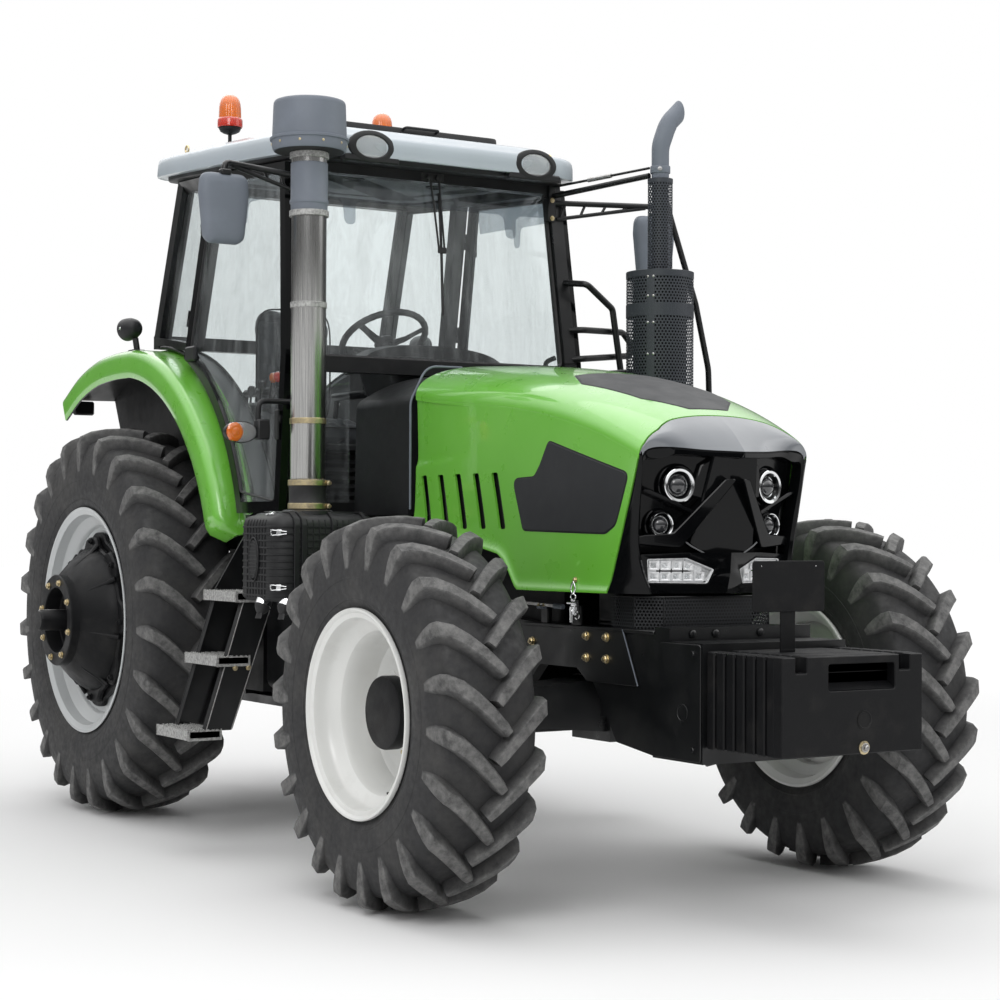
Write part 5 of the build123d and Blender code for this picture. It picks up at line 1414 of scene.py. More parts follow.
# ------------------------------------------------------------------ ballast, plate and grille
def make_ballast():
    """The front weights with their end slab, and the number plate."""
    low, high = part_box("front_weights")
    front_y, rear_y = low.y - REAR, high.y - REAR
    count, half = 8, .289
    pitch = (rear_y - front_y) / count
    face_y = front_y + .020
    form = Form()
    form.block(P(-half + .010, front_y + .058, .584), P(half - .010, rear_y, .842), 0, .003)
    for span in ((-half + .010, -.235), (-.190, .190), (.235, half - .010)):
        form.block(P(span[0], front_y + .058, .837), P(span[1], rear_y, .893), 0, .004)
    for i in range(1, count):
        y0 = front_y + i * pitch
        for side in (1, -1):
            form.block(P(side * (half - .016), y0 + .006, .582),
                       P(side * half, y0 + pitch - .006, .895), 0, .0045)
        for span in ((-half + .004, -.236), (-.189, .189), (.236, half - .004)):
            form.block(P(span[0], y0 + .0035, .880), P(span[1], y0 + pitch - .0035, .8949), 0,
                       .003)
    # Front slab: a thick plate with lifting notches and a handle pocket.
    face = rounded([(-half, .584), (half, .584), (half, .893), (.235, .893), (.235, .842),
                    (.190, .842), (.190, .893), (-.190, .893), (-.190, .842), (-.235, .842),
                    (-.235, .893), (-half, .893)], .004, 3, closed=True)
    pocket = rounded([(-.102, .784), (.172, .784), (.172, .868), (-.102, .868)], .010, 4,
                     closed=True)
    form.pocketed(face, pocket, lambda u, v, d: P(u, d, v), face_y, front_y + .062,
                  front_y + .0580, 0, .003)
    form.grid([[P(-.102, face_y + .004, .786), P(.172, face_y + .004, .786)],
               [P(-.102, front_y + .0575, .808), P(.172, front_y + .0575, .808)]], 0)
    # A bare round pad, and the through bolt with its ball end.
    at = P(.042, face_y, .603)
    form.lathe(at + Vector((0, .010, 0)), (0, -1, 0), ((0, .012), (.009, .012), (.0092, .0215),
                                                       (.0125, .0215), (.0130, .0195)), 1, 28)
    form.lathe(at, (0, -1, 0), ((.0020, .0150), (.0080, .0150), (.0092, .0125), (.0096, .0080),
                                (.0130, .0095), (.0160, .0090), (.0185, .0060), (.0192, .0005)),
               2, 28)
    form.lathe(P(.044, face_y + .0030, .690), (0, -1, 0), ((0, .030), (.0045, .030),
                                                           (.0052, .0285), (.0052, .0250),
                                                           (.0040, .0240)), 0, 40)
    piece("front_weights.form", form, ["cast_black", "zinc", "steel"], "chassis",
          ("front_weights",), angle=30)

    plate_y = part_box("number_plate")[0].y - REAR
    form = Form()
    outline = rounded([(-.236, 1.024), (.060, 1.024), (.060, 1.187), (-.236, 1.187)], .012, 5,
                      closed=True)
    form.plate(outline, lambda u, v, d: P(u, plate_y + d, v), 0.0002, .0045, 0, .0012)
    for x in (-.200, .024):
        form.bolt(P(x, plate_y + .0016, 1.170), (0, -1, 0), .0016, 1, 0)
    stay = [(-.118, .8955), (-.058, .8955), (-.058, 1.150), (-.118, 1.150)]
    form.plate(rounded(stay, .006, 3, closed=True), lambda u, v, d: P(u, plate_y + d, v), .0045,
               .0115, 0, .0015)
    form.block(P(-.118, plate_y + .004, .8952), P(-.058, plate_y + .0118, .905), 0, .0015)
    piece("plate.form", form, ["cast_black", "chrome"], "chassis",
          ("number_plate",))


make_ballast()


BAND_Z, BAND_HEIGHT = .9365, .1225      # the grille's foot and how high it stands


def make_grille():
    """The perforated band under the nose, chamfered at its corners."""
    low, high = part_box("lower_grille")
    front_y, rear_y = low.y - REAR, high.y - REAR
    half = [(.289, rear_y), (.289, front_y + .085), (.225, front_y + .001)]
    plan = [Vector((-x, y)) for x, y in half] + [Vector(p) for p in reversed(half)]
    lengths = distances(plan)

    def place(u, v):
        u = min(max(u, 0.0), lengths[-1] - 1e-6)
        for i in range(len(plan) - 1):
            if u <= lengths[i + 1]:
                p = plan[i].lerp(plan[i + 1], (u - lengths[i]) / (lengths[i + 1] - lengths[i]))
                return P(p.x, p.y, BAND_Z + min(max(v, 0), BAND_HEIGHT))

    form = Form()
    form.mesh_sheet(place, lengths[-1], BAND_HEIGHT, .0125, .0046, 2)
    # A dark wall set back behind the holes: painted shade for the hollow behind the grille.
    back = [Vector((p.x * .84, p.y + .050)) for p in plan]
    form.grid([[P(p.x, p.y, z) for p in back] for z in (.936, 1.058)], 1)
    for z in (.9375, 1.0585):
        form.tube([P(p.x * .998, p.y + .001, z) for p in plan], .0032, 0, 8, .01)
    for i in (1, 2, 3, 4):
        form.tube([P(plan[i].x * .998, plan[i].y + .001, z) for z in (.937, 1.0585)], .0026, 0, 8)
    form.grid([[P(p.x * .99, p.y + .004, 1.0588) for p in plan],
               [P(p.x * .2, rear_y, 1.0588) for p in plan]], 0)
    piece("lower_grille.form", form, ["black_paint", "dark_cavity", "matt_panel"], "chassis",
          ("lower_grille",), angle=40)


make_grille()


# ------------------------------------------------------------------ rear fenders
ARCH_Z, ARCH_RADIUS = 0.970, 1.134      # the fender's arch over the rear tyre


def fender_arch():
    """Points and outward directions (length, height) from the foot of the arch to its tail."""
    start, stop = math.asin((1.262 - ARCH_Z) / ARCH_RADIUS), radians(84.94)
    line = [Vector((-ARCH_RADIUS * cos(a), ARCH_Z + ARCH_RADIUS * sin(a)))
            for a in (start + (stop - start) * k / 44 for k in range(44))]
    line += smooth([(-.100, 2.0996), (.120, 2.0985), (.340, 2.077), (.560, 2.018),
                    (.760, 1.925)], 7)
    out = []
    for i, p in enumerate(line):
        ahead = (line[min(i + 1, len(line) - 1)] - line[max(i - 1, 0)]).normalized()
        out.append((p, Vector((-ahead[1], ahead[0]))))
    return out


ARCH = fender_arch()


def make_fender(place, sign):
    """A rear fender over its arch, with a web, rubbers and a lamp."""
    form = Form()
    outer_rows, inner_rows, travelled = [], [], 0.0
    for i, (p, out) in enumerate(ARCH):
        travelled += (p - ARCH[i - 1][0]).length if i else 0.0
        blend = min(max((travelled - .60) / .06, 0), 1)
        ridge = .690 - .058 * blend * blend * (3 - 2 * blend) + .02 * max(0, 1 - travelled / .25)
        r = .085
        draw = r - math.sqrt(max(r * r - max(r - travelled, 0) ** 2, 0))

        def put(x, depth):
            x -= draw * max(0.0, (x - .62) / .20)
            q = p - out * depth
            return P(sign * x, q[0], q[1])

        corner = [(.780 + .040 * sin(a), .008 + .040 * (1 - cos(a)))
                  for a in (pi / 2 * k / 6 for k in range(7))]
        outer = [(.536, .030), (.536, .004), (.541, 0), (min(.645, ridge - .008), 0),
                 (ridge - .006, 0), (ridge, .0012), (ridge + .006, .0068),
                 (ridge + .012, .008), (.745, .008), *corner, (.820, .090), (.820, .130),
                 (.817, .135)]
        inner = [(.817, .135), (.808, .135), (.806, .130), (.806, .060), (.795, .034),
                 (.770, .022), (.548, .018), (.546, .030), (.536, .030)]
        outer_rows.append([put(*q) for q in outer])
        inner_rows.append([put(*q) for q in inner])
    form.grid(outer_rows, 0)
    across = len(outer_rows[0]) - 1
    for i in range(len(form.slots)):     # lined inside the cab
        if i % across < 3:
            form.slots[i] = 5
    form.grid(inner_rows, 1)
    for end in (0, -1):
        form.add(outer_rows[end] + inner_rows[end][1:-1],
                 [tuple(range(len(outer_rows[end]) + len(inner_rows[end]) - 2))], 0)
    web = [p - out * .017 for p, out in ARCH] + [Vector((.42, 1.262))]
    form.plate(web, lambda u, v, d: P(sign * d, u, v), .534, .548, 1, .002)
    # Edging rubber between the fender and the door, and stiffening ribs under the arch.
    form.tube([P(sign * .648, *(p + out * .009)) for p, out in ARCH[:46]], .0085, 2, 10)
    form.tube([P(sign * .538, *(p + out * .004)) for p, out in ARCH], .0065, 2, 8)
    for k in (12, 26, 40, 54):
        p, out = ARCH[k]
        form.tube([P(sign * .552, *(p - out * .03)), P(sign * .80, *(p - out * .045))], .009, 1, 8)
    # Tail lamp on the fender's end.
    lamp = P(sign * .715, .742, 1.868)
    form.block(lamp - Vector((.052, .02, .034)), lamp + Vector((.052, .010, .034)), 1, .008)
    for dx, slot in ((-.026, 3), (.026, 4)):
        form.block(lamp + Vector((sign * dx - .023, .006, -.028)),
                   lamp + Vector((sign * dx + .023, .017, .028)), slot, .006)
    piece(f"rear_fender_{place}.form", form,
          ["green_paint", "black_paint", "rubber_seal", "red_lens", "amber", "cab_grey"],
          "chassis", ("rear_fenders",), angle=40)


for place, sign in SIDES:
    make_fender(place, sign)


# ------------------------------------------------------------------ roof
PITCH = radians(3.7)
ROOF_Y, ROOF_Z = -.8, 2.83              # the middle of the roof's underside
# Half of the roof's outline: across, and along from its middle.
ROOF_HALF = ((0, -.8135), (.26, -.8125), (.46, -.806), (.575, -.775), (.655, -.700),
             (.694, -.600), (.709, -.450), (.718, -.10), (.716, .35), (.708, .610),
             (.688, .700), (.635, .765), (.530, .792), (.260, .799), (0, .80))


def on_roof(x, v, h):
    """A point by its place on the pitched roof and its height over the underside."""
    return P(x, ROOF_Y + v * cos(PITCH) - h * sin(PITCH),
             ROOF_Z + v * sin(PITCH) + h * cos(PITCH))


def roof_height(y):
    """Height of the roof's underside at a length."""
    return ROOF_Z + (y - ROOF_Y) * math.tan(PITCH)


def oval(form, at, facing, rings, slot, flat=0.62, steps=40):
    """Oval rings (along, half width) about a point, for a lamp that faces forward or back."""
    rows = [[Vector(at) + Vector((half * cos(2 * pi * k / steps), facing * along,
                                  half * flat * sin(2 * pi * k / steps)))
             for k in range(steps)] for along, half in rings]
    form.grid(rows, slot, around=True, caps=rings[-1][1] < .01)


def make_roof():
    """The cab's roof with its hatch, eyes and work lamps."""
    half = smooth(ROOF_HALF, 4)
    outline = half + [Vector((-p[0], p[1])) for p in half[-2:0:-1]]

    def ring(draw, h):
        return [on_roof(p[0], p[1], h) for p in inset(outline, draw)]

    form = Form()
    form.grid([ring(d, h) for d, h in ((.050, .016), (.050, -.004), (.054, -.009), (.16, -.009))],
              1, around=True, caps=True)
    form.grid([ring(d, h) for d, h in ((.054, .010), (.008, .0045), (.002, .007), (0, .014),
                                       (.002, .060), (.006, .078), (.013, .088), (.026, .0945),
                                       (.050, .097), (.070, .0978))], 0, around=True)
    form.grid([ring(d, h) for d, h in ((.070, .0978), (.084, .101), (.105, .118), (.130, .131),
                                       (.170, .139), (.240, .1425), (.34, .144))],
              0, around=True, caps=True)
    # Hatch in a black frame, with tinted glass and its hinges.
    def hatch(draw, h):
        plate = rounded([(-.40, -.50), (.40, -.50), (.40, .22), (-.40, .22)], .05, 5, closed=True)
        return [on_roof(p[0], p[1], h) for p in inset(plate, draw)]

    form.grid([hatch(d, h) for d, h in ((-.004, .136), (0, .178), (.004, .184), (.030, .184),
                                        (.034, .180))], 1, around=True)
    form.grid([hatch(d, h) for d, h in ((.034, .180), (.06, .1815), (.2, .183))], 2, around=True,
              caps=True)
    for x in (-.25, .25):
        form.block(on_roof(x - .03, .21, .150), on_roof(x + .03, .26, .186), 1, .004)
    form.tube([on_roof(x, v, h) for x, v, h in ((-.08, -.492, .178), (-.08, -.522, .184),
                                               (.08, -.522, .184), (.08, -.492, .178))],
              .006, 1, 8, .012)
    for x in (-.645, .645):
        for v in (-.52, .47):
            form.lathe(on_roof(x, v, .094), UP, ((0, .020), (.005, .019), (.006, .010)),
                       3, 20)
            centre = on_roof(x, v, .120)
            form.tube([centre + Vector((0, .016 * cos(a), .016 * sin(a)))
                       for a in turns(24, 1)], .0048, 3, 8)
    # Lamps let into the fascia, two forward and two back.
    for facing in (-1, 1):
        v = -.809 if facing < 0 else .796
        for x in (-.393, .393):
            at = on_roof(x, v, .048) - Vector((0, facing * .010, 0))
            oval(form, at, facing, ((0, .106), (.009, .104), (.0125, .098), (.0140, .084),
                                    (.0150, .079), (.013, .074), (.004, .070)), 1)
            form.block(at + Vector((-.128, facing * -.030, -.064)),
                       at + Vector((.128, facing * .0105, -.036)), 1, .006)
            oval(form, at, facing, ((.003, .070), (-.006, .050), (-.010, .030), (-.011, .004)), 4)
            oval(form, at, facing, ((.0105, .0735), (.0125, .055), (.0135, .030), (.0138, .004)),
                 5)
            for k in range(3):
                form.lathe(at + Vector((.034 * (k - 1), facing * -.004, 0)), (0, facing, 0),
                           ((-.006, .016), (.004, .014), (.006, .011), (.002, .008),
                            (.002, .001)), 4, 18)
    for x in (-.693, .693):
        form.block(on_roof(x - .004, .48, .028), on_roof(x + .004, .60, .062), 1, .004)
    piece("cab_roof.form", form, ["roof_grey", "black_plastic", "tinted_glass", "zinc",
                                  "reflector", "lamp_glass"], "chassis",
          ("cab_roof", "work_lamps"), angle=35)


make_roof()


# ------------------------------------------------------------------ beacons
def make_beacons():
    """Two ribbed amber domes on posts, with a red band under each."""
    form = Form()
    y = -.25
    for x in (-.396, .396):
        foot = P(x, y, 0)
        base = roof_height(y) + .090
        form.lathe(foot, UP, ((base, .026), (base + .006, .025), (base + .008, .012)), 0, 24)
        form.rod(foot + Vector((0, 0, base)), foot + Vector((0, 0, 3.124)), .0085, 0, 16)
        form.lathe(foot, UP, ((3.086, .012), (3.092, .030), (3.100, .044), (3.112, .050),
                              (3.121, .0505)), 0, 40)
        form.lathe(foot, UP, ((3.118, .0545), (3.121, .0575), (3.150, .0575), (3.156, .0560),
                              (3.160, .0520)), 1, 40, caps=False)
        rows = []
        for z, radius in ((3.158, .0505), (3.175, .0500), (3.205, .0490), (3.228, .0465),
                          (3.245, .0415), (3.257, .0335), (3.265, .0225), (3.2685, .0110),
                          (3.2695, .0004)):
            row = []
            for a in turns(72):
                rib = .0010 * cos(18 * a) * min(1, radius / .04)
                row.append(P(x + (radius + rib) * cos(a), y + (radius + rib) * sin(a), z))
            rows.append(row)
        form.grid(rows, 2, around=True)
        form.lathe(foot, UP, ((3.130, .030), (3.175, .030), (3.215, .016), (3.222, .001)), 3, 24)
    piece("beacons.form", form, ["black_plastic", "red_lens", "amber", "reflector"], "chassis",
          ("beacons",), angle=40)


make_beacons()


# ------------------------------------------------------------------ mirrors and turn signals
def make_mirror(place, sign):
    """A mirror on its two-bar arm."""
    form = Form()
    cx, cy = 1.030, -1.586
    outline = [(-.097, .137), (.097, .137), (.103, .06), (.084, -.118), (.060, -.137),
               (-.060, -.137), (-.084, -.118), (-.103, .06)]
    outline = rounded(outline, (.05, .05, .08, .05, .03, .03, .05, .08), 5, closed=True)

    def at(p, d):
        return P(sign * (cx + p[0]), cy + d, 2.525 + p[1])

    rings = ((.885, .021), (.980, .022), (1, .016), (.990, -.004), (.945, -.016), (.860, -.024),
             (.700, -.0285), (.420, -.0300))
    form.grid([[at(p * size, d) for p in outline] for size, d in rings], 0, around=True,
              caps=True)
    form.grid([[at(p * size, d) for p in outline]
               for size, d in ((.890, .0205), (.880, .0185), (.300, .0190))], 1, around=True,
              caps=True)
    form.block(at((-.022, .128), -.022), at((.022, .152), .012), 2, .005)
    elbow = P(sign * cx, cy, 2.705)
    foot = P(sign * .585, -1.425, 2.705)
    form.tube([P(sign * cx, cy, 2.650), elbow, foot], .0125, 2, 16, .035)
    form.lathe(P(sign * cx, cy, 2.664), UP, ((0, .019), (.010, .019), (.012, .014)),
               2, 20)
    low_a = elbow.lerp(foot, .09) - Vector((0, 0, .008))
    low_b = elbow.lerp(foot, .93) - Vector((0, 0, .070))
    form.tube([low_a, low_b], .0085, 2, 10)
    for t, lean in ((.26, .05), (.46, .05), (.66, .05), (.85, .04)):
        form.tube([elbow.lerp(foot, t), low_a.lerp(low_b, (t + lean - .09) / .84)], .006, 2, 8)
    form.block(foot + Vector((-.02, -.02, -.085)), foot + Vector((.02, .02, .022)), 2, .004)
    for z in (-.07, .008):
        form.bolt(foot + Vector((0, -.021, z)), (0, -1, 0), .008, 3)
    piece(f"mirror_{place}.form", form, ["grey_plastic", "mirror_glass", "black_paint", "zinc"],
          "chassis", ("mirrors",), angle=38)


def make_signal(place, sign):
    """A turn signal and the bar that carries it."""
    form = Form()
    at = P(sign * .9445, -1.556, 1.660)

    def rings(centre, pairs, slot, width, high, steps=36, caps=False):
        rows = [[centre + Vector((width * s * cos(2 * pi * k / steps), -d,
                                  high * s * sin(2 * pi * k / steps))) for k in range(steps)]
                for d, s in pairs]
        form.grid(rows, slot, around=True, caps=caps)

    rings(at, ((-.018, .80), (-.010, .98), (.012, 1.0), (.016, .985), (.016, .93)), 0, .0690,
          .0430, caps=True)
    rings(at, ((.014, .95), (.0205, .90), (.0250, .70), (.0270, .4), (.0275, .01)), 2, .0690,
          .0430)
    rings(at, ((.010, .94), (.0085, .3)), 3, .0690, .0430, caps=True)
    bulb = at + Vector((sign * .0290, 0, 0))
    rings(bulb, ((.010, 1.0), (.0235, .97), (.0285, .80), (.0305, .55), (.0300, .45),
                 (.0312, .40), (.0318, .01)), 1, .0355, .0375)
    form.block(P(sign * .880, -1.590, 1.632), P(sign * .828, -1.540, 1.712), 0, .006)
    form.tube([P(sign * .868, -1.560, 1.705), P(sign * .868, -1.560, 1.785),
               P(sign * .676, -1.510, 1.790)], .011, 0, 14, .045)
    form.block(P(sign * .694, -1.517, 1.762), P(sign * .640, -1.505, 1.818), 0, .004)
    for z in (1.772, 1.808):
        form.bolt(P(sign * .684, -1.517, z), (0, -1, 0), .0075, 4)
    piece(f"turn_signal_{place}.form", form,
          ["black_plastic", "amber", "lamp_glass", "reflector", "zinc"], "chassis",
          ("turn_signals",), angle=38)


for place, sign in SIDES:
    make_mirror(place, sign)
    make_signal(place, sign)


# ------------------------------------------------------------------ glass bands, wipers, cab trim
def make_screen_trim():
    """Shade band and seals of the windscreen, with the wiper at its top."""
    form = Form()
    low, high = Vector((.630, -1.475, 1.970)), Vector((.592, -1.387, 2.775))

    def screen(x, z, lift=0.0):
        t = (z - low.z) / (high.z - low.z)
        return P(x, low.y + t * (high.y - low.y) - .0055 - lift, z)

    band = [(-.562, 2.770), (-.568, 2.640), (-.44, 2.636), (-.42, 2.62), (-.415, 2.535),
            (-.365, 2.535), (-.36, 2.62), (-.34, 2.636), (.34, 2.636), (.36, 2.62),
            (.365, 2.535), (.415, 2.535), (.42, 2.62), (.44, 2.636), (.568, 2.640), (.562, 2.770)]
    band = rounded(band, (.01, .01, .03, .02, .024, .024, .02, .03, .03, .02, .024, .024, .02,
                          .03, .01, .01), 4, closed=True)
    top = [Vector((p[0], 2.770)) for p in band]
    form.grid([[screen(*p) for p in band], [screen(p[0] * .995, 2.7695) for p in top]], 1,
              around=True)
    # Seal round the glass.
    edge = rounded([(-.612, 1.985), (.612, 1.985), (.574, 2.762), (-.574, 2.762)], .03, 5,
                   closed=True)
    form.tube([screen(*p, .002) for p in [*edge, edge[0]]], .008, 0, 8, flat=.6)
    # Wiper motor housing, two parallel rods and the blade.
    form.block(screen(-.055, 2.792, .032), screen(.055, 2.745, -.004), 0, .006)
    for x in (-.022, .022):
        form.lathe(screen(x, 2.760, .030), (0, -1, 0), ((0, .014), (.012, .013), (.014, .008)),
                   0, 18)
        form.tube([screen(x, 2.760, .040), screen(x * .8 + .01, 2.66, .034),
                   screen(x * .6 + .03, 2.455, .020)], .0045, 0, 8, .03)
    form.block(screen(.012, 2.468, .026), screen(.052, 2.442, .012), 0, .003)
    form.tube([screen(.038, 2.700, .007), screen(.031, 2.45, .014), screen(.026, 2.180, .007)],
              .0062, 0, 8, .1, flat=.7)
    piece("windscreen.trim", form, ["rubber_seal", "tinted_glass"], "chassis")


make_screen_trim()


PANE_RADIUS = 1.203     # the door pane's cut-out over the fender


def make_door_trim(place, sign):
    """Seals, shade band, latch and hinge covers that ride on a door."""
    lean = math.tan(radians(2.5))

    def skin(y, z, lift=0.0):
        return P(sign * (.712 - (z - 2.0) * lean + lift), y, z)

    def glass(y, z, lift=0.0):
        return P(sign * (.7005 - (z - 2.0) * lean + lift), y, z)

    form = Form()
    top_z = 2.755
    pane = [(-1.437, 1.393), (-1.437, 1.98), (-1.352, 2.757), (-.690, 2.800), (-.523, 2.05)]
    arch = []
    for k in range(9):
        a = radians(44 - 21.3 * k / 8)
        arch.append((-PANE_RADIUS * cos(a), ARCH_Z + PANE_RADIUS * sin(a)))
    ring = rounded([*pane, *arch], (.03, .0, .05, .05, .03, *[0] * 8, .03), 4, closed=True)
    form.tube([glass(*p, .003) for p in [*ring, ring[0]]], .0075, 0, 8, flat=.7)
    band = [(-1.350, top_z), (-1.362, 2.640), (-1.052, 2.648), (-1.040, 2.560), (-.995, 2.560),
            (-.983, 2.652), (-.700, 2.660), (-.682, 2.795)]
    band = rounded(band, (.01, .01, .03, .02, .02, .03, .01, .01), 4, closed=True)
    top = [Vector((p[0], top_z + .0645 * (p[0] + 1.35) / .668)) for p in band]
    form.grid([[glass(*p, .0012) for p in band],
               [glass(min(max(p[0], -1.349), -.684), p[1] - .002, .0012) for p in top]], 1,
              around=True)
    # Lower rear corner block, upper hinge cover, grab handle and outer latch.
    form.block(skin(-.618, 2.012, -.006), skin(-.512, 2.078, .020), 2, .010)
    form.block(skin(-.640, 2.560, -.006), skin(-.604, 2.640, .012), 2, .005)
    form.lathe(skin(-1.452, 1.72, .001), (sign, 0, 0), ((-.004, .022), (.006, .022), (.010, .018)),
               2, 28)
    form.block(skin(-1.470, 1.640, 0), skin(-1.436, 1.760, .016), 2, .006)
    form.tube([skin(-1.405, 1.62, -.040), skin(-1.385, 1.62, -.085), skin(-1.330, 2.02, -.085),
               skin(-1.345, 2.04, -.040)], .011, 0, 10, .03)
    piece(f"door_{place}.trim", form, ["rubber_seal", "tinted_glass", "black_plastic"],
          f"door_{place}")


for place, sign in SIDES:
    make_door_trim(place, sign)


# ------------------------------------------------------------------ intake and its precleaner
INTAKE = (-.745, -1.750)


def make_intake():
    """The intake's tube, sleeve and hose under the drum of its precleaner."""
    form = Form()
    foot = P(*INTAKE, 0)
    # Drum of the precleaner: tapered cap, lip, lower band with rivets, and a flat dark ring under
    # it, painted shade for its vaned throat.
    form.lathe(foot, UP, ((2.9445, .0005), (2.9445, .1270), (2.9415, .1350), (2.9350, .1392),
                          (2.9250, .1405), (2.8010, .1450), (2.7985, .1480), (2.7965, .1535),
                          (2.7885, .1535), (2.7860, .1470), (2.7720, .1462), (2.7540, .1432),
                          (2.7470, .1380), (2.7460, .0900)), 2, 96)
    form.lathe(foot, UP, ((2.7458, .1340), (2.7452, .0720)), 3, 64, caps=False)
    for k in range(10):
        a = 2 * pi * (k + .35) / 10
        out = Vector((cos(a), sin(a), 0))
        form.lathe(foot + out * .1458 + Vector((0, 0, 2.772)), out,
                   ((-.002, .0055), (.0015, .0050), (.0030, .0025), (.0032, .0002)), 4, 12)
    # Tube, black sleeve and rubber hose.
    form.lathe(foot, UP, ((1.440, .0660), (1.443, .0680), (2.534, .0680), (2.536, .0660)), 0, 72)
    form.lathe(foot, UP, ((2.495, .0700), (2.497, .0715), (2.540, .0715), (2.545, .0755),
                          (2.556, .0755), (2.561, .0722), (2.700, .0722), (2.702, .0700)), 2, 64)
    form.lathe(foot, UP, ((2.690, .0690), (2.746, .0690)), 0, 64)
    form.lathe(foot, UP, ((1.357, .0700), (1.358, .0745), (1.385, .0745), (1.390, .0715),
                          (1.440, .0715), (1.445, .0740), (1.472, .0740), (1.474, .0690)), 1, 64)
    # Bands and their screws.
    for z, slot, radius, screw in (
            (2.731, 5, .0765, 0), (2.505, 5, .0770, 0), (2.150, 5, .0712, 0),
            (1.700, 4, .0712, 0), (1.461, 4, .0768, 1), (1.371, 4, .0768, 1)):
        form.lathe(foot, UP, ((z - .0110, .0680), (z - .0110, radius - .001), (z - .0100, radius),
                              (z + .0100, radius), (z + .0110, radius - .001),
                              (z + .0110, .0680)), slot, 64, loop=True)
        if screw:
            a = radians(-38)
            out, along = Vector((cos(a), sin(a), 0)), Vector((-sin(a), cos(a), 0))
            at = foot + out * (radius + .006) + Vector((0, 0, z))
            form.block(Vector((-.006, -.011, -.009)), Vector((.006, .011, .009)), slot, .002,
                       lambda p: at + out * p.x + along * p.y + Vector((0, 0, p.z)))
            form.rod(at - along * .022, at + along * .024, .0038, slot, 10)
            form.bolt(at + along * .022, along, .0055, slot, 0)
    # Bracket to the cab.
    form.block(P(-.702, -1.750, 1.925), P(-.674, -1.506, 1.965), 6, .003)
    form.block(P(-.702, -1.516, 1.905), P(-.622, -1.5055, 1.985), 6, .003)
    for z in (1.922, 1.968):
        form.bolt(P(-.645, -1.516, z), (0, -1, 0), .009, 4)
    piece("air_intake.form", form, ["stainless", "rubber_seal", "grey_plastic", "dark_cavity",
                                    "zinc", "galvanised", "black_paint"], "chassis",
          ("air_intake",), angle=38)


make_intake()


